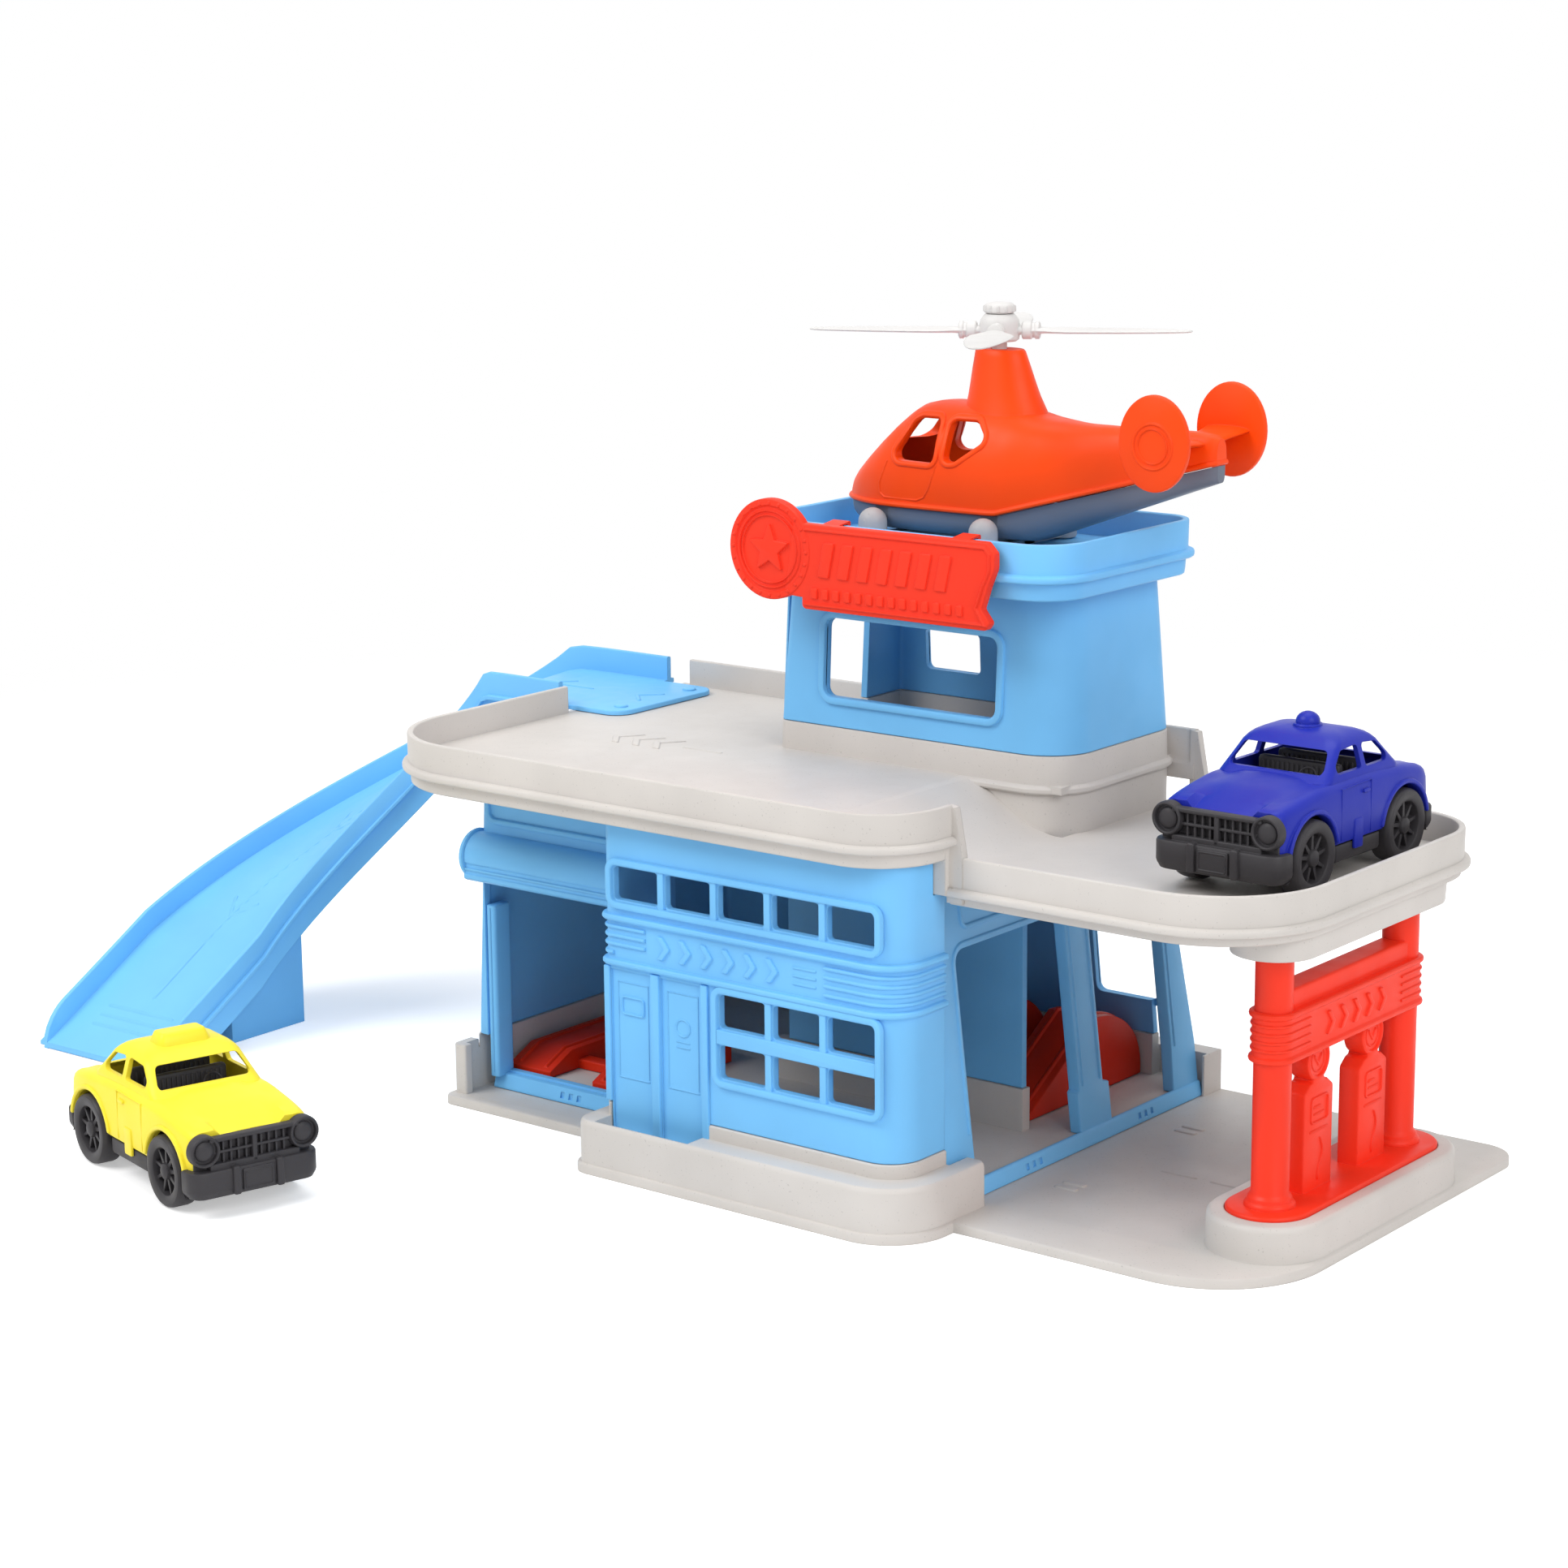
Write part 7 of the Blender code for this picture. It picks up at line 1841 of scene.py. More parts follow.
    def bay_relief(self) -> list[Mesh]:
        """The bordered lintel of the left bay with short plain marks, and the rolled shutter under it.

        Returns:
            The meshes.
        """
        face = front(self.bay_front)
        found = [face.border(rectangle(-181.0, -92.5, 121.4, 143.0, 3.0), 2.6, -0.5, 1.6)]
        mark = front(0.0).bead([(0, 0), (2.4, 4.6)], 0.5, 0.5)
        for x in (-172.0, -146.0, -120.0):
            found.append(self.repeater.run(mark.copy(), 4, Finish.SKY, (x, self.bay_front, 130.0),
                    (4.2, 0, 0)))
        y = self.bay_front
        z = self.shutter_height
        roll = arc(y, z, 9.7, 60, 190, 26)
        roll += [(y - 9.1, z - 2.2), (y - 8.7, z - 2.5), (y - 8.7, z - 3.9), (y - 9.3, z - 4.1),
            (y - 9.3, z - 5.0), (y - 8.7, z - 5.2), (y - 8.7, z - 6.4), (y - 9.2, z - 6.7),
            (y - 9.2, z - 8.4), (y - 8.6, z - 9.0), (y - 7.6, z - 9.6), (y + 1.0, z - 9.8)]
        near = self.left_wall + 2.5
        found.append(across(roll, near + 2.0, self.block_left + 1, "X"))
        found.append(rod((0, y, z), "X", [(7.9, near + 0.9), (8.3, near + 0.2), (9.6, near),
                (10.4, near + 0.4), (10.8, near + 1.2), (10.8, near + 2.2), (10.2, near + 2.6)], 40))
        return found

    def back_relief(self) -> list[Mesh]:
        """Borders on the back and the left wall, which the photograph does not show.

        Returns:
            The meshes.
        """
        rise = self.top - self.bottom
        back_tilt = self.back_lean / rise
        behind = Face(Vector((0, self.back + back_tilt * self.bottom, 0)), Vector((-1, 0, 0)),
                      Vector((0, -back_tilt, 1)))
        tilt = self.left_lean / rise
        beside = Face(Vector((self.left_wall - tilt * self.bottom, 0, 0)), Vector((0, -1, 0)),
            Vector((tilt, 0, 1)))
        x0, x1, z0, z1 = self.back_window
        return [
            behind.border(rectangle(-x1, -x0, z0, z1, 3.0), 3.0, -0.5, 1.4),
            behind.border(rectangle(14.0, 178.0, 44.0, 128.0, 6.0), 2.4, -0.5, 1.0),
            beside.border(rectangle(-84.0, 50.0, 44.0, 128.0, 6.0), 2.4, -0.5, 1.0),
        ]

    def build(self) -> None:
        """Makes the walls."""
        self.show("lower_walls", self.walls_mesh(), Finish.SKY, ["garage_walls"])


@dataclass
class Bays(Assembly):
    """Sky-blue frames of the bays: the leaning one on the right with two openings, and the left one."""

    outer: float = 57.5
    lean: float = 0.12
    floor: float = 4.0
    depth: float = 5.5
    high: float = 98.5
    foot: float = 9.8
    step: float = 27.0
    top: float = 126.9
    sill_edge: float = 58.7
    sill_top: float = 10.5

    def right_mesh(self) -> Mesh:
        """The right-hand frame and its sill.

        Returns:
            The mesh.
        """
        foot, step, high, top_z = self.foot, self.step, self.high, self.top
        path = outline([
            (-74.7, foot, 0), (-56.0, foot, 0), (-56.0, high, 5.0), (17.0, high, 5.0), (17.0, step, 0),
            (15.5, step - 1, 0), (15.5, foot, 0), (38.0, foot, 0), (38.0, step - 1, 0), (34.0, step, 0),
            (34.0, high, 5.0), (85.0, high, 5.0), (85.0, step, 0), (84.0, foot, 0), (103.0, foot, 0),
            (103.0, step, 3.0), (91.5, top_z, 1.0), (-74.7, top_z, 0),
        ], 6)
        plane = self.outer + self.lean * self.floor
        rings = []
        for offset, depth in ((-0.8, 0.0), (-0.25, 0.2), (0.0, 0.8), (0.0, self.depth - 0.5),
                (-0.5, self.depth)):
            rings.append([(plane - self.lean * (p.y + out.y * offset) - depth, p.x + out.x * offset,
                           p.y + out.y * offset) for p, out in path])
        face = right(plane, self.lean)
        relief = []
        for near, far in ((-56.0, 17.0), (34.0, 85.0)):
            points = [(near - 2.4, 29.0), *arc(near + 5, high - 5, 7.4, 180, 90, 8),
                *arc(far - 5, high - 5, 7.4, 90, 0, 8), (far + 2.4, 29.0)]
            relief.append(face.bead(points, 0.6, 0.7))
        relief.append(face.border(rectangle(-50.0, 84.0, 107.5, 121.0, 2.5), 1.8, -0.4, 0.9))
        sill = across([(55.8, 4.3), (self.sill_edge, 4.3), (self.sill_edge, 5.0), (57.6, 9.6), (57.2, 10.2),
                       (56.6, self.sill_top), (55.8, self.sill_top)], -59.0, 103.0, "Y")
        slit = box((57.4, 60.0), (-1.0, 1.0), (-1.2, 1.2))
        slits = [self.repeater.run(slit.copy(), 3, Finish.SKY, (0, y, 7.2), (0, 4.5, 0))
            for y in (-24.0, 56.0)]
        return moulded(solid(rings), [add(sill), cut(together(slits))], relief)

    def left_mesh(self) -> Mesh:
        """The left-hand sill, threshold and posts.

        Returns:
            The mesh.
        """
        near = -185.7
        far = -89.8
        sill = across([(-63.5, 4.3), (-58.0, 4.3), (-58.0, self.sill_top), (-61.0, self.sill_top),
                (-61.8, 10.2), (-63.2, 6.0), (-63.5, 5.2)], near, -97.3, "X")
        posts = [turned(outline(rectangle(x, x + 5.0, -65.9, -55.7, 1.6), 5),
                softened(self.foot, 83.5, 0.6)) for x in (near, far - 5.0)]
        threshold = box((near + 1, far - 1), (-58.7, -55.8), (self.foot, self.foot + 1.5))
        slit = box((-1.0, 1.0), (-65.0, -62.2), (-1.2, 1.2))
        slits = self.repeater.run(slit, 3, Finish.SKY, (-148.0, 0, 7.2), (4.5, 0, 0))
        guide = front(-65.9)
        relief = [guide.bead([(x, 12.0), (x, 82.0)], 0.5, 0.5) for x in (near + 2.5, far - 2.5)]
        return moulded(sill, [add(together(posts)), add(threshold), cut(slits)], relief)

    def build(self) -> None:
        """Makes both frames and dresses the wall between the right-hand bays."""
        self.show("right_bay_surround", self.right_mesh(), Finish.SKY, ["bay_frame"])
        self.show("left_bay_surround", self.left_mesh(), Finish.SKY, ["left_bay_frame"])
        self.dress("partition_wall", Finish.SKY)


@dataclass
class Tower(Assembly):
    """Sky-blue tower with its landing tray, and the red-orange sign that hooks on the tray."""

    left: float = -88.0
    right: float = 51.5
    front: float = 8.0
    back: float = 90.9
    lean: float = 3.8
    base: float = 161.8
    top: float = 232.2
    wall: float = 3.0
    door: tuple[float, float, float] = (14.8, 64.0, 224.0)
    window: tuple[float, float, float, float] = (-64.4, 19.6, 174.0, 206.0)
    back_window: tuple[float, float, float, float] = (-71.0, -43.0, 172.5, 190.0)
    tray: tuple[float, float, float, float] = (-91.0, 59.5, -8.0, 94.0)
    tray_surface: float = 235.5
    rim_height: float = 11.5
    sign: tuple[float, float, float, float] = (-58.0, 34.6, 213.4, 247.5)
    sign_back: float = -10.8
    badge: tuple[float, float, float] = (-73.9, 235.9, 20.2)

    def plan(self, lean: float) -> Path:
        """The tower's outline; the lean moves every side inward.

        Args:
            lean: how far every side moves in.

        Returns:
            The outline.
        """
        return outline([
            (self.left + lean, self.front + lean, 4.5), (self.right - lean, self.front + lean, 20.0),
            (self.right - lean, self.back - lean, 12.0), (self.left + lean, self.back - lean, 4.5),
        ], 14)

    def walls_mesh(self) -> Mesh:
        """The leaning walls with two windows and the doorway from the deck.

        Returns:
            The mesh.
        """
        low = self.plan(0.0)
        high = self.plan(self.lean)
        shell = solid([ring(low, 0, self.base), ring(high, 0, self.top), ring(high, -self.wall, self.top),
                       ring(low, -self.wall, self.base)], loop=True)
        tilt = self.lean / (self.top - self.base)
        shift = tilt * self.base
        ahead = Face(Vector((0, self.front - shift, 0)), Vector((1, 0, 0)), Vector((0, tilt, 1)))
        behind = Face(Vector((0, self.back + shift, 0)), Vector((-1, 0, 0)), Vector((0, -tilt, 1)))
        beside = Face(Vector((self.left - shift, 0, 0)), Vector((0, -1, 0)), Vector((tilt, 0, 1)))
        x0, x1, z0, z1 = self.window
        window = rectangle(x0, x1, z0, z1, 4.0)
        b0, b1, c0, c1 = self.back_window
        light = rectangle(-b1, -b0, c0, c1, 2.5)
        y0, y1, door_top = self.door
        changes = [
            cut(box((self.left - 5, self.left + 12), (y0, y1), (0, door_top))),
            cut(together([ahead.hole(window, -9.0, 6.0), behind.hole(light, -9.0, 6.0)])),
        ]
        relief = [
            ahead.border(window, 3.2, -0.5, 1.7, 8), behind.border(light, 2.6, -0.5, 1.3),
            beside.bead([(-y1 - 2.4, self.base + 2), (-y1 - 2.4, door_top + 2.4),
                (-y0 + 2.2, door_top + 2.4), (-y0 + 2.2, self.base + 2)], 0.8, 0.9),
        ]
        return moulded(shell, changes, relief)

    def tray_mesh(self) -> Mesh:
        """The landing tray: skirt, rib and rim like the deck's.

        Returns:
            The mesh.
        """
        x0, x1, y0, y1 = self.tray
        path = outline([(x0, y0, 20.0), (x1, y0, 20.0), (x1, y1, 14.0), (x0, y1, 14.0)], 18)
        level = self.tray_surface
        tall = level + self.rim_height
        return turned(path, [
                (-4.0, level - 3.0), (-4.0, level - 10.2), (-3.6, level - 10.5), (-1.9, level - 10.5),
                (-1.4, level - 10.1), (-1.1, level - 8.0), (-0.8, level - 3.9), (1.6, level - 3.6),
                (2.3, level - 3.1), (2.5, level - 2.4), (2.5, level - 1.5), (2.2, level - 0.9),
                (1.4, level - 0.5), (0.1, level - 0.2), (0.0, level + 0.6), (0.2, tall - 0.7),
                (0.0, tall - 0.2), (-0.5, tall), (-1.8, tall), (-2.3, tall - 0.3), (-2.5, tall - 0.9),
                (-2.5, level),
            ])

    def sign_mesh(self) -> Mesh:
        """The board with its raised border, plain marks, ringed badge and hooks.

        Returns:
            The mesh.
        """
        x0, x1, low, high = self.sign
        face_y = self.sign_back - 4.0
        board = [
            (x0, low, 2.0), (x1 - 4, low, 2.5), (x1 - 2, low + 3, 1.5), (x1 - 6, low + 8, 1.5),
            (x1 - 3, low + 17, 6.0), (x1, low + 24, 6.0), (x1, high - 4, 2.0), (x1 - 4, high, 2.0),
            (x0 - 4, high, 0), (x0 - 9, low + 5, 2.0), (x0, low + 4.5, 0),
        ]
        face = front(face_y)
        base = face.raised(outline(board, 6), [(-0.4, -4.0), (0.0, -3.6), (0.0, -0.7), (-0.2, -0.2),
                (-0.7, 0.0)])
        bx, bz, radius = self.badge
        disc = rod((bx, 0, bz), "Y", [
            (radius - 0.5, self.sign_back), (radius, self.sign_back - 0.5), (radius, face_y + 0.2),
            (radius - 0.3, face_y - 0.3), (radius - 0.9, face_y - 0.4), (radius - 2.6, face_y - 0.4),
            (radius - 3.0, face_y + 0.2), (radius - 3.2, face_y + 0.4),
        ], 64)
        rim_top = self.tray_surface + self.rim_height
        back = self.sign_back
        y0 = self.tray[2]
        hook = [(back - 1, rim_top - 4), (y0 - 0.5, rim_top - 4), (y0 - 0.5, rim_top + 0.3),
            (y0 + 2.8, rim_top + 0.3), (y0 + 2.8, rim_top - 5), (y0 + 4.5, rim_top - 5),
            (y0 + 4.5, rim_top + 0.9), (y0 + 3.9, rim_top + 1.5), (back - 1, rim_top + 0.4)]
        hooks = [across(hook, x, x + 8, "X") for x in (x0 + 8, x1 - 22)]
        return moulded(base, [add(disc), add(together(hooks))], self.sign_relief())

    def sign_relief(self) -> list[Mesh]:
        """Border lines, chevrons and bars on the board, and a star in two rings on the badge.

        Returns:
            The meshes.
        """
        x0, x1, low, high = self.sign
        face_y = self.sign_back - 4.0
        face = front(face_y)
        inner = [(x0 + 2, high - 2.2), (x1 - 4.4, high - 2.2), (x1 - 2.2, high - 4.4),
            (x1 - 2.2, low + 23.6), (x1 - 5.2, low + 17.2), (x1 - 8.4, low + 8.4), (x1 - 4.6, low + 2.2),
            (x0 + 2, low + 2.2)]
        found = [face.bead(inner, 0.7, 0.9, sink=0.5)]
        slant = front(0.0).slab([(0, 0, 0.4), (5.2, 0, 0.4), (8.2, 14.0, 0.4), (3.0, 14.0, 0.4)], -0.5, 1.0,
            0.3, 3)
        found.append(self.repeater.run(slant, 7, Finish.SIGN, (x0 + 8.5, face_y, low + 13.4), (9.4, 0, 0)))
        block = front(0.0).slab(rectangle(0, 3.0, 0, 4.2, 0.5), -0.5, 0.9, 0.3, 3)
        found.append(self.repeater.run(block, 14, Finish.SIGN, (x0 + 5.0, face_y, low + 4.6), (5.4, 0, 0)))
        bx, bz, radius = self.badge
        inside = front(face_y + 0.4)
        for reach, half in ((radius - 4.8, 0.5), (radius - 6.6, 0.35)):
            found.append(inside.bead([tuple(p) for p, _ in circle(bx, bz, reach, 48)], half, 0.9,
                    closed=True))
        star = []
        for k in range(10):
            angle = math.radians(90 + 36 * k)
            reach = 10.6 if k % 2 == 0 else 4.6
            star.append((bx + reach * math.cos(angle), bz + reach * math.sin(angle), 0.4))
        found.append(inside.slab(star, -0.5, 1.3, 0.5, 3))
        notch = front(0.0).slab(rectangle(-0.6, 0.6, radius - 2.5, radius - 1.1, 0.3), -0.5, 0.6, 0.3, 3)
        found.append(self.repeater.run(notch, 24, Finish.SIGN, (bx, face_y - 0.3, bz), turn=(0, 15, 0)))
        return found

    def build(self) -> None:
        """Makes the walls, the tray and the sign."""
        self.show("upper_walls", self.walls_mesh(), Finish.SKY, ["tower_walls"])
        self.show("landing_tray", self.tray_mesh(), Finish.SKY, ["helipad_tray"])
        self.show("front_sign", self.sign_mesh(), Finish.SIGN, ["sign_board"])


@dataclass
class PumpFrame(Assembly):
    """Red-orange frame: foot plate, two columns into the canopy, ribbed band, beam and two pumps."""

    x: float = 172.4
    column_ys: tuple[float, float] = (-35.6, 58.0)
    column_radius: float = 7.0
    plate_radius: float = 16.3
    plate: tuple[float, float] = (14.3, 19.3)
    column_top: float = 120.5
    band: tuple[float, float] = (74.0, 93.0)
    beam_top: float = 100.0
    pump_ys: tuple[float, float] = (-9.0, 31.4)
    pump_half: float = 10.5
    pump_depth: float = 4.5
    pump_top: float = 60.0
    head: tuple[float, float] = (68.5, 8.2)

    def frame_mesh(self) -> Mesh:
        """The whole moulding.

        Returns:
            The mesh.
        """
        low, high = self.plate
        base = turned(stadium(self.x, *self.column_ys, self.plate_radius, 22), softened(low, high, 1.0))
        profile = [(9.5, high - 1), (9.5, high + 0.7), (9.1, high + 1.5), (8.4, high + 2.0),
            (8.2, high + 3.4), (7.5, high + 4.2), (self.column_radius, high + 5.0),
            (self.column_radius, self.column_top)]
        columns = [rod((self.x, y, 0), "Z", profile, 36) for y in self.column_ys]
        bottom, top_z = self.band
        path = stadium(self.x, *self.column_ys, self.column_radius, 22)
        band = turned(path, [
                (1.2, bottom), (1.8, bottom + 0.4), (2.0, bottom + 1.1), (1.8, bottom + 1.9),
                (0.9, bottom + 2.6), (0.8, bottom + 3.2), (0.8, top_z - 3.2), (0.9, top_z - 2.6),
                (1.8, top_z - 1.9), (2.0, top_z - 1.1), (1.8, top_z - 0.4), (1.2, top_z),
            ])
        beam = turned(outline(rectangle(self.x - 5.5, self.x + 5.5, *self.column_ys, 1.6), 3),
                      softened(top_z - 1, self.beam_top, 1.2))
        changes = [add(together(columns)), add(band), add(beam)]
        relief = self.band_relief()
        for y in self.pump_ys:
            changes.append(add(self.pump_mesh(y)))
            relief += self.pump_relief(y)
        return moulded(base, changes, relief)

    def band_relief(self) -> list[Mesh]:
        """Thin ribs round both ends of the band, speed lines and plain chevrons on both its faces.

        Returns:
            The meshes.
        """
        found = []
        near, far = self.column_ys
        path = stadium(self.x, near, far, self.column_radius + 0.8, 22)
        back_end = path[:23]
        front_end = path[23:]
        for height in (78.9, 82.0, 85.1, 88.2):
            for end, y in ((back_end, far), (front_end, near)):
                step = -13.0 if y == far else 13.0
                first = (Vector((end[0][0].x, y + step)), end[0][1])
                last = (Vector((end[-1][0].x, y + step)), end[-1][1])
                found.append(rib([first, *end, last], height, 0.6, 0.6))
        edge = self.column_radius + 0.8
        for turn in (0.0, 180.0):
            unit = right(0.0).slab([(0, -4.4, 0.4), (2.6, -4.4, 0.4), (6.0, 0, 0.5), (2.6, 4.4, 0.4),
                    (0, 4.4, 0.4), (3.4, 0, 0.4)], -0.5, 0.9, 0.3, 3)
            unit.transform(Matrix.Rotation(math.radians(turn), 4, "Z"))
            side = 1 if turn == 0 else -1
            found.append(self.repeater.run(unit, 5, Finish.SIGN,
                    (self.x + side * edge, 11.2 - side * 22.5, 83.5), (0, side * 9.6, 0)))
        return found

    def pump_mesh(self, y: float) -> Mesh:
        """One pump: body with sloped shoulders, neck and round head.

        Args:
            y: its middle.

        Returns:
            The mesh.
        """
        half = self.pump_half
        top_z = self.pump_top
        height, radius = self.head
        corners = [
            (y - half, self.plate[1] - 1, 0), (y + half, self.plate[1] - 1, 0), (y + half, top_z - 3, 2.0),
            (y + half - 4, top_z, 1.2), (y + 4.2, top_z + 0.6, 1.0), (y + 3.5, height - 6.2, 0),
            (y - 3.5, height - 6.2, 0), (y - 4.2, top_z + 0.6, 1.0), (y - half + 4, top_z, 1.2),
            (y - half, top_z - 3, 2.0),
        ]
        deep = self.pump_depth
        body = right(self.x).raised(outline(corners, 5), [(-0.9, -deep), (-0.3, -deep + 0.3),
                (0.0, -deep + 0.9), (0.0, deep - 0.9), (-0.3, deep - 0.3), (-0.9, deep)])
        disc = rod((self.x, y, height), "X", [
                (radius - 2.0, -deep + 1.0), (radius - 1.7, -deep + 0.3), (radius - 1.2, -deep + 0.1),
                (radius - 0.3, -deep + 0.5), (radius, -deep + 1.2), (radius, deep - 1.2),
                (radius - 0.3, deep - 0.5), (radius - 1.2, deep - 0.1), (radius - 1.7, deep - 0.3),
                (radius - 2.0, deep - 1.0),
            ], 48)
        return moulded(body, [add(disc)])

    def pump_relief(self, y: float) -> list[Mesh]:
        """Framed blank meter, marks under it, the hose line and a plain dial, front and back.

        Args:
            y: the pump's middle.

        Returns:
            The meshes.
        """
        found = []
        deep = self.pump_depth
        height = self.head[0]
        for face, middle in ((right(self.x + deep), y), (left(self.x - deep), -y)):
            found.append(face.border(rectangle(middle - 5.6, middle + 5.6, 45.5, 54.0, 1.0), 0.9, -0.4, 0.7,
                    4))
            found.append(face.bead([(middle - 3.6, 50.8), (middle + 0.6, 50.8)], 0.6, 0.5))
            found.append(face.bead([(middle - 3.6, 48.2), (middle + 3.4, 48.2)], 0.4, 0.4))
            found.append(face.bead([(middle - 6.2, 41.8), (middle + 6.2, 41.8)], 0.5, 0.5))
            hose = [(middle + 1.0 + 1.6 * math.sin((38.0 - z) / 2.9), z)
                for z in (38.0 - 0.8 * k for k in range(20))]
            found.append(face.bead(hose, 0.55, 0.7))
            dial = (right(self.x + deep - 1.0) if middle == y and face.along.y > 0
                else left(self.x - deep + 1.0))
            found.append(dial.bead([(middle - 2.4, height + 1.4), (middle, height - 1.8),
                    (middle + 2.4, height + 1.4)], 0.55, 0.6))
            found.append(dial.bead([tuple(p) for p, _ in circle(middle, height, 4.6, 32)], 0.35, 0.45,
                    closed=True))
        return found

    def build(self) -> None:
        """Makes the frame."""
        self.show("pump_island_frame", self.frame_mesh(), Finish.SIGN, ["pump_frame"])


@dataclass
class Deck(Assembly):
    """Light gray upper deck: rim, slope to the canopy, plinth under the tower and boss over the pump frame.
    """

    left: float = -207.5
    right: float = 61.0
    front: float = -113.0
    back: float = 91.5
    corner_radii: tuple[float, float] = (45.0, 28.0)
    surface: float = 150.0
    canopy: float = 130.5
    canopy_front: float = -79.0
    canopy_right: float = 192.5
    canopy_radii: tuple[float, float] = (45.0, 30.0)
    plate: float = 3.0
    rim: float = 11.5
    inset: float = 1.2
    slope: tuple[float, float] = (3.0, 48.0)
    ramp_gap: float = 10.0
    plinth_wall: float = 3.6
    tower: tuple[float, float, float, float] = (-88.0, 51.5, 8.0, 90.9)
    door_back: float = 64.0
    frame_x: float = 172.4
    column_ys: tuple[float, float] = (-35.6, 58.0)
    boss_bottom: float = 114.5

    def edge(self, route: Sequence[tuple[Vector, Vector, float]], surface: float, skirt: float) -> Mesh:
        """The deck's edge along a route.

        Args:
            route: a point, the outward direction and the rim's height at each place.
            surface: height of the deck there.
            skirt: how far the skirt hangs below it.

        Returns:
            The mesh.
        """
        under = surface - self.plate
        rings = []
        for point, out, rim in route:
            soft = min(0.7, rim * 0.4)
            tall = surface + rim
            section = (
                (-3.5, surface - skirt), (-1.5, surface - skirt), (-1.0, surface - skirt + 0.4),
                (-0.7, under - 0.8), (1.6, under - 0.5), (2.3, under - 0.1), (2.5, under + 0.5),
                (2.5, surface - 1.5), (2.2, surface - 0.9), (1.3, surface - 0.4), (0.1, surface - 0.1),
                (0.2, tall - soft), (0.0, tall - soft * 0.3), (-0.5, tall), (-1.8, tall),
                (-2.3, tall - soft * 0.3), (-2.5, tall - soft), (-2.5, surface - 1), (-3.5, under),
            )
            rings.append([(point.x + out.x * a, point.y + out.y * a, z) for a, z in section])
        return solid(rings)

    def edges(self) -> list[Mesh]:
        """The edge round the deck, open where the exit ramp joins, and the edge round the canopy.

        Returns:
            The meshes.
        """
        leftward, backward = Vector((-1, 0)), Vector((0, 1))
        route = [
            (Vector((self.right, self.back)), backward, self.rim),
            (Vector((self.left + 5, self.back)), backward, self.rim),
            (Vector((self.left + 4.9, self.back)), backward, 0.2),
            (Vector((self.left, self.back)), leftward + backward, 0.2),
            (Vector((self.left, self.ramp_gap + 0.1)), leftward, 0.2),
            (Vector((self.left, self.ramp_gap)), leftward, self.rim),
        ]
        path = outline([(self.left, self.front, self.corner_radii[0]),
                (self.right, self.front, self.corner_radii[1]), (self.right, self.back, 0),
                (self.left, self.back, 0)], 20)[:-2]
        route += [(point, out, self.rim) for point, out in path]
        route.append((Vector((self.right, self.canopy_front)), Vector((1, 0)), self.rim))
        path = outline([(self.right, self.canopy_front, 0), (self.canopy_right, self.canopy_front,
                self.canopy_radii[0]), (self.canopy_right, self.back, self.canopy_radii[1]),
                (self.right, self.back, 0)], 20)[1:-1]
        low = [(Vector((self.right - 1.6, self.canopy_front)), Vector((0, -1)), self.rim)]
        low += [(point, out, self.rim) for point, out in path]
        low.append((Vector((self.right - 1.4, self.back)), backward, self.rim))
        return [self.edge(route, self.surface, 9.0), self.edge(low, self.canopy, 7.0)]

    def corner_front(self, x: float) -> float:
        """The front edge of the deck's plate, along its two round corners.

        Args:
            x: a place along the front.

        Returns:
            The edge's Y there.
        """
        first, second = self.corner_radii
        if x < self.left + first:
            radius = first
            centre = self.left + first
        elif x > self.right - second:
            radius = second
            centre = self.right - second
        else:
            return self.front + self.inset
        return self.front + radius - math.sqrt(max((radius - self.inset) ** 2 - (x - centre) ** 2, 0.0))

    def strip(self, stations: Sequence[tuple[float, float, float, float]]) -> Mesh:
        """A plate along X of (x, front, back, surface height) stations."""
        return solid([[(x, a, z - self.plate), (x, b, z - self.plate), (x, b, z), (x, a, z)] for x, a, b,
                z in stations])

    def plates(self) -> list[Mesh]:
        """The flat deck, the strip beside the slope, the slope and the canopy's plate.

        Returns:
            The meshes.
        """
        back = self.back - self.inset
        first, second = self.corner_radii
        start, end = self.slope
        quarter = [math.radians(6 * k) for k in range(16)]
        xs = [self.left + first - (first - self.inset) * math.cos(a) for a in quarter]
        flat = [(x, self.corner_front(x), back, self.surface) for x in [*xs, start]]
        xs = [self.right - second + (second - self.inset) * math.sin(a) for a in quarter[:15]]
        beside = [(x, self.corner_front(x), self.canopy_front, self.surface) for x in [start - 1, *xs]]
        xs = [start - 1, *[start + (end - start) * k / 24 for k in range(25)], self.right + 1]
        slope = [(x, self.canopy_front - 1.5, self.tower[2] + self.plinth_wall - 1.5,
                slope_height(x) - 0.01) for x in xs]
        near, far = self.canopy_radii
        centre = self.canopy_right - near
        reach = near - self.inset
        low = []
        for x in [self.tower[1] - 1.5, centre, *[centre + reach * math.sin(a) for a in quarter[1:15]]]:
            front_reach = math.sqrt(reach ** 2 - max(x - centre, 0.0) ** 2)
            back_reach = math.sqrt(max((far - self.inset) ** 2 - max(x - self.canopy_right + far, 0.0) ** 2,
                    1.0))
            low.append((x, self.canopy_front + near - front_reach, self.back - far + back_reach,
                    self.canopy))
        low.append((self.canopy_right - self.inset, self.canopy_front + near, self.back - far, self.canopy))
        return [self.strip(part) for part in (flat, beside, slope, low)]

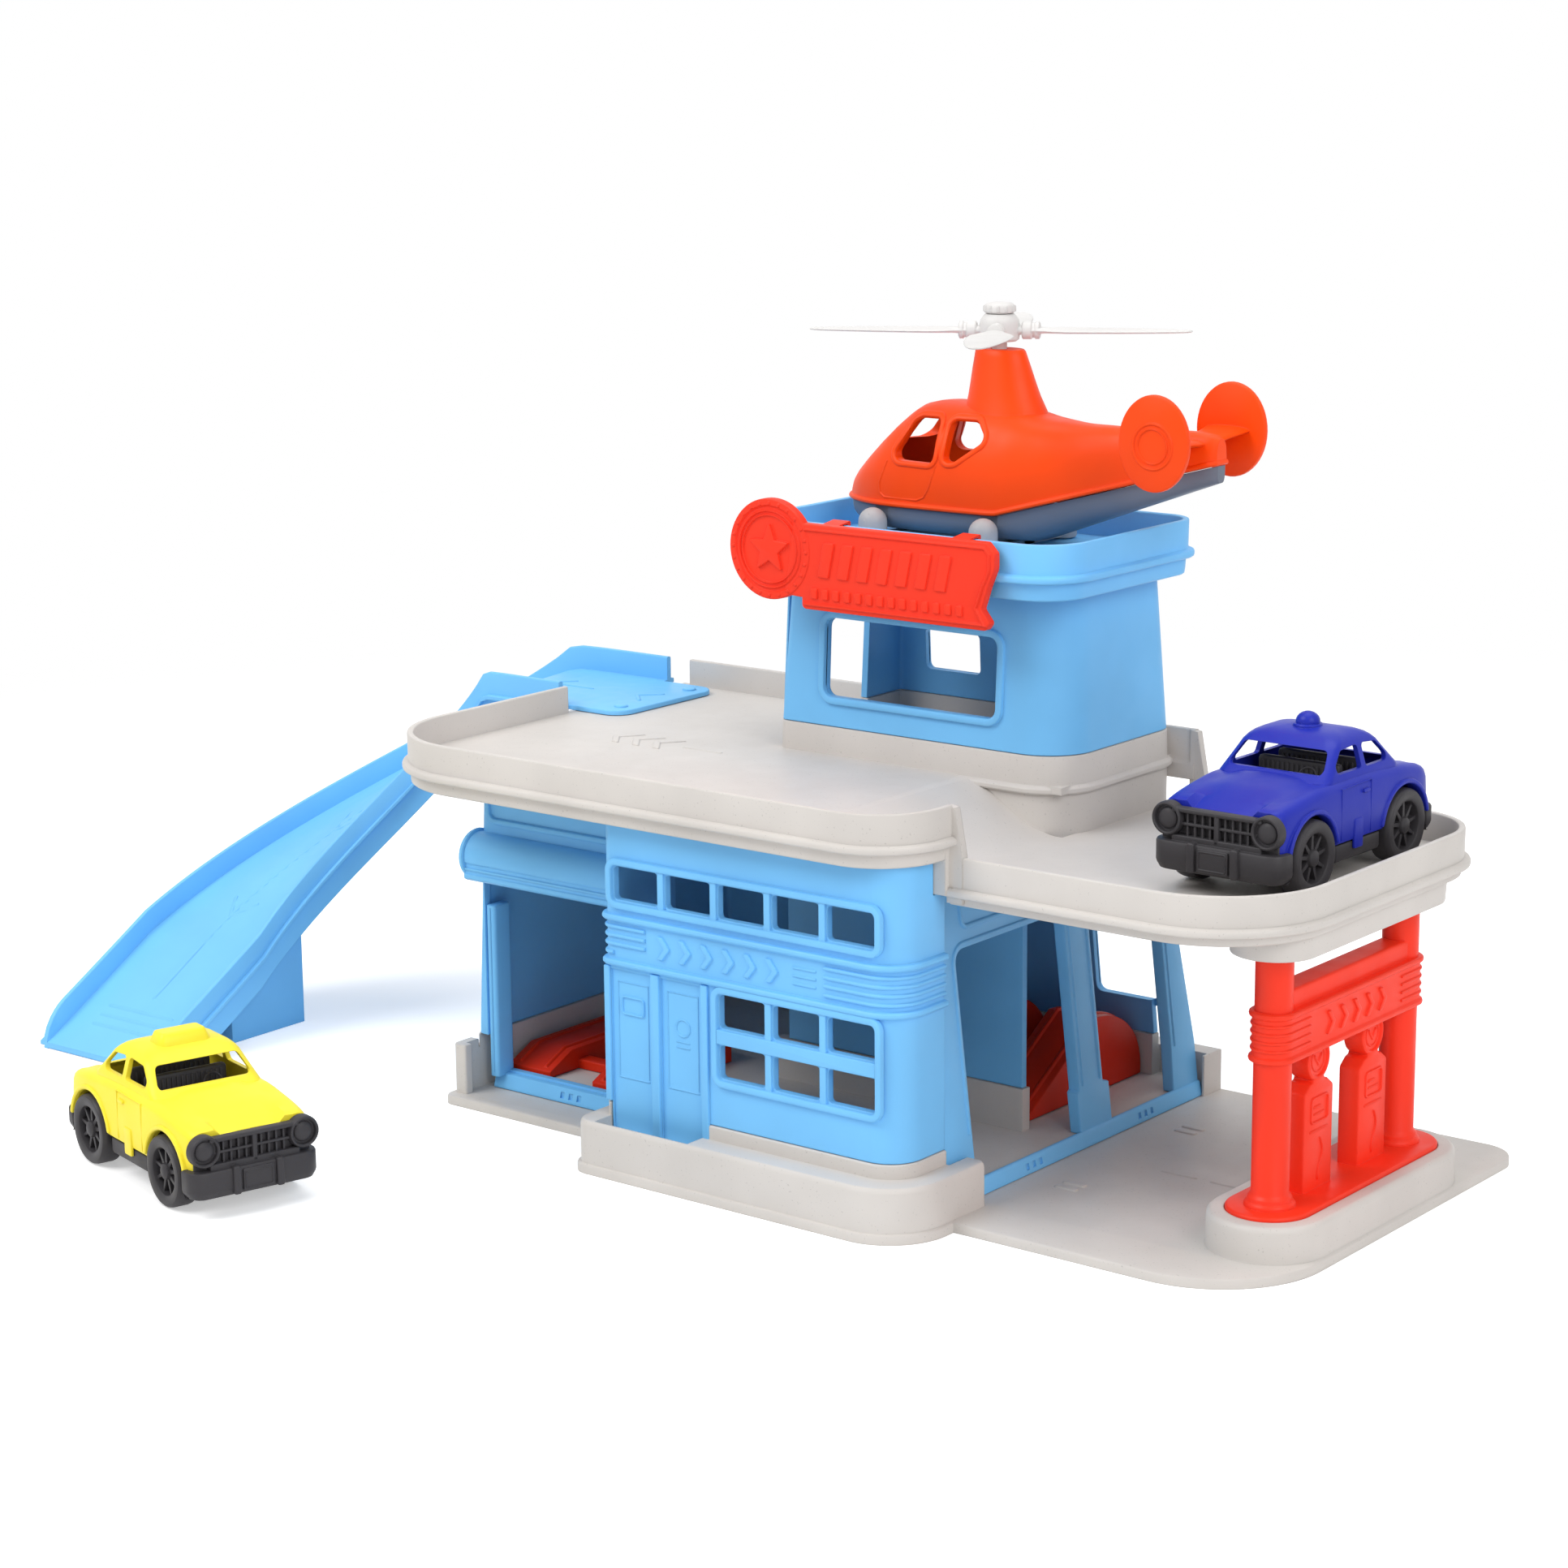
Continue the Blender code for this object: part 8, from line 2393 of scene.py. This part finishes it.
    def deck_mesh(self) -> Mesh:
        """The whole moulding.

        Returns:
            The mesh.
        """
        flat, beside, slope, canopy = self.plates()
        start, end = self.slope
        under = self.canopy - self.plate
        top_z = self.surface + self.rim
        xs = [start + (end - start) * k / 24 for k in range(25)]
        side = across([(start, self.surface - 0.5), *[(x, slope_height(x) - self.plate + 0.1) for x in xs],
                       (self.right - 0.8, under + 0.1), (self.right - 0.8, self.surface - 0.5)],
                      self.canopy_front - 3.0, self.canopy_front - 0.2, "Y")
        posts = [across([(self.right - 2, under - 3), (self.right + 5, under - 3),
                (self.right + 5, self.canopy + self.rim), (self.right + 1.5, top_z - 1 + high),
                (self.right - 2, top_z - 0.3 + high)], a, b, "Y") for a, b,
            high in ((self.canopy_front - 0.5, self.canopy_front + 3, 0.0),
                (self.back - 3, self.back + 0.4, 0.1))]
        x0, x1, y0, y1 = self.tower
        path = outline([(x0, y0, 4.5), (x1, y0, 20.0), (x1, y1, 12.0), (x0, y1, 4.5)], 16)
        plinth = turned(path, [(0.6, self.surface - 2.0), (0.3, top_z - 0.6), (0.1, top_z - 0.15),
                (-0.3, top_z), (-self.plinth_wall, top_z), (-self.plinth_wall, self.surface - 2.0)],
            loop=True)
        doorway = box((x0 - 5, x0 + self.plinth_wall + 1), (y0 + self.plinth_wall, self.door_back),
                      (self.surface, top_z + 60))
        tower_floor = box((start - 1, x1 - 2), (y0 + 2, y1 - 1.5),
            (self.surface - self.plate, self.surface))
        low_wall = [pair for pair in path if pair[0].x > end - 40 and pair[0].x > 0]
        rings = []
        for point, out in [(Vector((start, y0)), Vector((0, -1))), *low_wall]:
            section = ((-3.3, under + 0.4), (0.5, under + 0.4), (0.5, self.surface - 3.8),
                (1.8, self.surface - 3.5), (2.5, self.surface - 2.8), (2.5, self.surface - 1.4),
                (1.8, self.surface - 0.5), (0.5, self.surface), (-3.3, self.surface - 0.5))
            rings.append([(point.x + out.x * a, point.y + out.y * a, z) for a, z in section])
        boss = turned(stadium(self.frame_x, *self.column_ys, 16.3, 20), [
                (-0.7, self.boss_bottom), (-0.2, self.boss_bottom + 0.2), (0.0, self.boss_bottom + 0.7),
                (0.8, under + 1)])
        sockets = [rod((self.frame_x, y, 0), "Z", [(7.3, self.boss_bottom - 5),
                (7.3, self.boss_bottom + 6.3)], 32) for y in self.column_ys]
        changes = [add(beside), add(side), add(slope), add(canopy), add(tower_floor), add(solid(rings)),
            add(plinth), *[add(edge) for edge in self.edges()], *[add(post) for post in posts],
            cut(doorway), add(boss), cut(together(sockets))]
        return moulded(flat, changes, self.relief())

    def relief(self) -> list[Mesh]:
        """Faint arrows that lead to the exit ramp.

        Returns:
            The meshes.
        """
        face = top(self.surface)
        unit = top(0.0).slab([(0, -9, 0.4), (3.4, -9, 0.4), (-3.6, 0, 0.6), (3.4, 9, 0.4), (0, 9, 0.4),
                (-7, 0, 0.6)], -0.4, 0.5, 0.3, 3)
        arrows = self.repeater.run(unit, 3, Finish.GRAY, (-128.0, -16.0, self.surface), (-11.0, 0, 0))
        line = face.bead([(-118.0, -16.0), (-100.0, -16.0)], 1.2, 0.4)
        return [arrows, line]

    def build(self) -> None:
        """Makes the deck."""
        self.show("deck_and_canopy", self.deck_mesh(), Finish.GRAY, ["upper_deck"])


@dataclass
class ExitRamp(Assembly, Surface):
    """Sky-blue ramp, a quarter turn down from the deck, with a tongue on the deck and a leg."""

    start: float = -210.6
    centre: float = 48.0
    straight: float = 30.0
    radius: float = 116.0
    run_out: float = 62.0
    flat: float = 0.18
    ease: float = 0.87
    high: float = 152.3
    low: float = 2.8
    half: float = 37.5
    rail: float = 10.5
    nose: float = 12.0
    plate: float = 2.5
    skirt: float = 14.0
    wall: float = 2.5
    lip: float = 2.0
    tongue_end: float = -180.0
    tongue_half: float = 33.0
    leg: tuple[float, float, float, float] = (-356.6, 25.5, -76.0, -32.0)

    def lengths(self) -> tuple[float, float]:
        """Lengths of the bend and of the whole ramp along its middle."""
        bend = self.radius * math.pi / 2
        return bend, self.straight + bend + self.run_out

    def point(self, reach: float) -> tuple[Vector, Vector, float]:
        """Place, heading and height of the middle line, reach millimetres from its top.

        Args:
            reach: how far down the ramp.

        Returns:
            Place, heading and height.
        """
        bend, length = self.lengths()
        if reach < self.straight:
            place = Vector((self.start - reach, self.centre))
            heading = Vector((-1.0, 0.0))
        elif reach < self.straight + bend:
            angle = (reach - self.straight) / self.radius
            place = Vector((self.start - self.straight - self.radius * math.sin(angle),
                            self.centre - self.radius * (1 - math.cos(angle))))
            heading = Vector((-math.cos(angle), -math.sin(angle)))
        else:
            place = Vector((self.leg[0], self.centre - self.radius - (reach - self.straight - bend)))
            heading = Vector((0.0, -1.0))
        share = max(0.0, (reach / length - self.flat) / (1 - self.flat))
        return place, heading, self.low + (self.high - self.low) * (1 - share ** self.ease)

    def at(self, u: float, v: float, out: float = 0.0) -> Vector:
        """The point u sideways and v down the ramp, out above its track."""
        place, heading, height = self.point(v)
        return Vector((place.x + heading.y * u, place.y - heading.x * u, height + out))

    def section(self, reach: float) -> Ring:
        """Track, rails, lips and skirts at one place; the rails round off toward the foot.

        Args:
            reach: how far down the ramp.

        Returns:
            Its points from side to side.
        """
        height = self.point(reach)[2]
        length = self.lengths()[1]
        into = max(0.0, (reach - (length - self.nose)) / self.nose)
        tall = max(1.0, self.rail * math.sqrt(max(0.0, 1 - into ** 2)))
        soft = min(0.8, (tall - 0.6) * 0.5)
        half = self.half
        inner = half - 0.5 - self.wall
        skirt = max(0.0, height - self.skirt) - height
        lip_low = max(height - 1.5, 0.2) - height
        side = [
            (half - self.wall, 0.0), (half - self.wall, tall - soft), (half - self.wall + soft * 0.3,
                tall - soft * 0.3), (half - self.wall + soft, tall), (half - soft, tall),
            (half - soft * 0.3, tall - soft * 0.3), (half, tall - soft), (half, 0.6),
            (half + self.lip - 0.4, 0.5), (half + self.lip, 0.1), (half + self.lip, lip_low),
            (half - 0.5, lip_low), (half - 0.5, skirt), (inner, skirt), (inner, -self.plate),
        ]
        return [self.at(u, reach, z) for u, z in [*side, *[(-a, b) for a, b in reversed(side)]]]

    def ramp_mesh(self) -> Mesh:
        """The track with its tongue and leg.

        Returns:
            The mesh.
        """
        bend, length = self.lengths()
        reaches = [0.0, self.straight * 0.5, *[self.straight + bend * k / 36 for k in range(37)]]
        reaches += [length - self.run_out * k for k in (0.85, 0.7, 0.55, 0.4, 0.25, 0.19, 0.15, 0.11, 0.07,
                0.03, 0.0)]
        body = solid([self.section(reach) for reach in reaches])
        middle, leg_half, leg_front, leg_back = self.leg
        rings = []
        for shrink, at_top in ((0, False), (0, True), (3.0, True), (3.0, False)):
            ys = [leg_front + shrink, self.centre - self.radius, (leg_front + leg_back) / 2,
                leg_back - shrink]
            row = [(middle - leg_half + shrink, y) for y in ys]
            row += [(middle + leg_half - shrink, y) for y in reversed(ys)]
            rings.append([(x, y, self.height_over(x, y) - self.plate / 2 if at_top else 0) for x, y in row])
        tongue = turned(outline([
                (self.start - 2, self.centre - self.tongue_half, 0),
                (self.tongue_end, self.centre - self.tongue_half, 9.0),
                (self.tongue_end, self.centre + self.tongue_half, 9.0),
                (self.start - 2, self.centre + self.tongue_half, 0),
            ], 12), softened(self.high - 2.0, self.high, 0.5))
        return moulded(body, [add(tongue), add(solid(rings, loop=True))], self.relief())

    def height_over(self, x: float, y: float) -> float:
        """Height of the track over a place.

        Args:
            x: the place's X.
            y: the place's Y.

        Returns:
            The height.
        """
        centre_y = self.centre - self.radius
        if y < centre_y:
            return self.point(self.straight + self.lengths()[0] + centre_y - y)[2]
        return self.point(self.straight + self.radius
            * math.atan2(self.start - self.straight - x, y - centre_y))[2]

    def relief(self) -> list[Mesh]:
        """Middle line with arrowheads, ribs at the foot, and an arrow and two pegs on the tongue.

        Returns:
            The meshes.
        """
        length = self.lengths()[1]
        found = [self.bead([(0.0, v) for v in range(14, int(length) - 30, 6)], 0.8, 0.5, sink=0.8)]
        for v in range(40, int(length) - 30, 52):
            found.append(self.bead([(-9.0, v - 9.0), (0.0, v), (9.0, v - 9.0)], 0.8, 0.6, sink=0.8))
        for v in (24.0, 19.0, 14.0):
            found.append(self.bead([(-20.0, length - v), (20.0, length - v)], 0.6, 0.5, sink=0.8))
        face = top(self.high)
        x = self.start + 12.0
        found.append(face.bead([(x + 8, self.centre - 8), (x, self.centre), (x + 8, self.centre + 8)], 0.9,
                0.6))
        for y in (self.centre - 23.0, self.centre + 23.0):
            found.append(rod((self.tongue_end - 8.0, y, self.high), "Z", [(3.0, -0.5), (3.0, 0.5),
                    (2.5, 0.9), (1.5, 1.0)], 20))
        return found

    def build(self) -> None:
        """Makes the ramp."""
        self.show("curved_ramp", self.ramp_mesh(), Finish.SKY, ["exit_ramp"])


@dataclass
class ServiceRamps(Assembly):
    """Red drive-on ramps in two bays: each has two tracks with ridges, tied by cross bars."""

    low: float = 9.8
    half: float = 11.5
    spacing: float = 46.0

    def ramp_mesh(self, first: float, profile: Sequence[tuple[float, float]],
            ridge: Sequence[tuple[float, float]], bars: Sequence[float]) -> Mesh:
        """One ramp.

        Args:
            first: X of its first track.
            profile: (y, height) points of a track's side.
            ridge: the part of the profile that has ridges, front to back.
            bars: Y of the cross bars.

        Returns:
            The mesh.
        """
        tracks = []
        ridges = []
        soft = 0.7
        for x in (first, first + self.spacing):
            flat = [(y, self.low + height) for y, height in profile]
            middle_y = sum(y for y, _ in flat) / len(flat)
            middle_z = sum(z for _, z in flat) / len(flat)
            ends = []
            for shrink, reach in ((0.985, -self.half), (1.0, -self.half + soft), (1.0, self.half - soft),
                    (0.985, self.half)):
                ends.append([(x + reach, middle_y + (y - middle_y) * shrink,
                              max(self.low, middle_z + (z - middle_z) * shrink)) for y, z in flat])
            tracks.append(solid(ends))
            for shift in (-7.2, 7.2):
                rings = []
                for y, height in ridge:
                    rings.append([(x + shift + a, y, self.low + height + b) for a, b in (
                        (-1.1, -0.8), (-0.8, 0.5), (-0.3, 0.9), (0.3, 0.9), (0.8, 0.5), (1.1, -0.8))])
                ridges.append(solid(rings))
        beams = [turned(outline(rectangle(first, first + self.spacing, y, y + 7.0, 0)),
                softened(self.low, self.low + 4.0, 0.6)) for y in bars]
        return moulded(together(tracks), [add(together(beams))], ridges)

    def build(self) -> None:
        """Makes both ramps."""
        left_side = [(-54.0, 0.0), (10.0, 0.0), (10.0, 9.0), (-40.0, 9.0), (-54.0, 2.5)]
        self.show("left_bay_ramp", self.ramp_mesh(-174.0, left_side, [(-52.0, 3.4), (-40.4, 8.8),
                (-39.6, 9.0), (8.0, 9.0)], (-36.0, -4.0)), Finish.LIFT, ["service_ramp_left"])
        crest, back, high = 64.0, 99.0, 32.0
        crown = [(crest + (back - crest) * math.sin(math.radians(5 * k)),
                high * math.cos(math.radians(14 * k / 3))) for k in range(18, -1, -1)]
        right_side = [(16.0, 0.0), (back, 0.0), *crown, (16.0, 2.5)]
        ridge = [(18.0, 3.7), (crest - 0.5, 31.7), *reversed(crown[6:])]
        self.show("right_bay_ramp", self.ramp_mesh(-26.5, right_side, ridge, (crest - 20.0, crest + 16.0)),
                  Finish.LIFT, ["service_ramp_right"])


def main() -> None:
    """Builds the studio and every sub-assembly."""
    logging.basicConfig(level=logging.INFO, format="%(message)s")
    Studio().build()
    repeater = Repeater()
    for assembly in (
        Ground(repeater=repeater),
        Car(repeater=repeater),
        Car(repeater=repeater, prefix="yellow_car", paint=Finish.YELLOW, mark=RoofMark.BLOCK,
            at=(-215.5, -208.0, 0.0), heading=-16.0),
        Helicopter(repeater=repeater),
        GarageWalls(repeater=repeater),
        Bays(repeater=repeater),
        Tower(repeater=repeater),
        PumpFrame(repeater=repeater),
        Deck(repeater=repeater),
        ExitRamp(repeater=repeater),
        ServiceRamps(repeater=repeater),
    ):
        assembly.build()


if __name__ == "__main__":
    main()
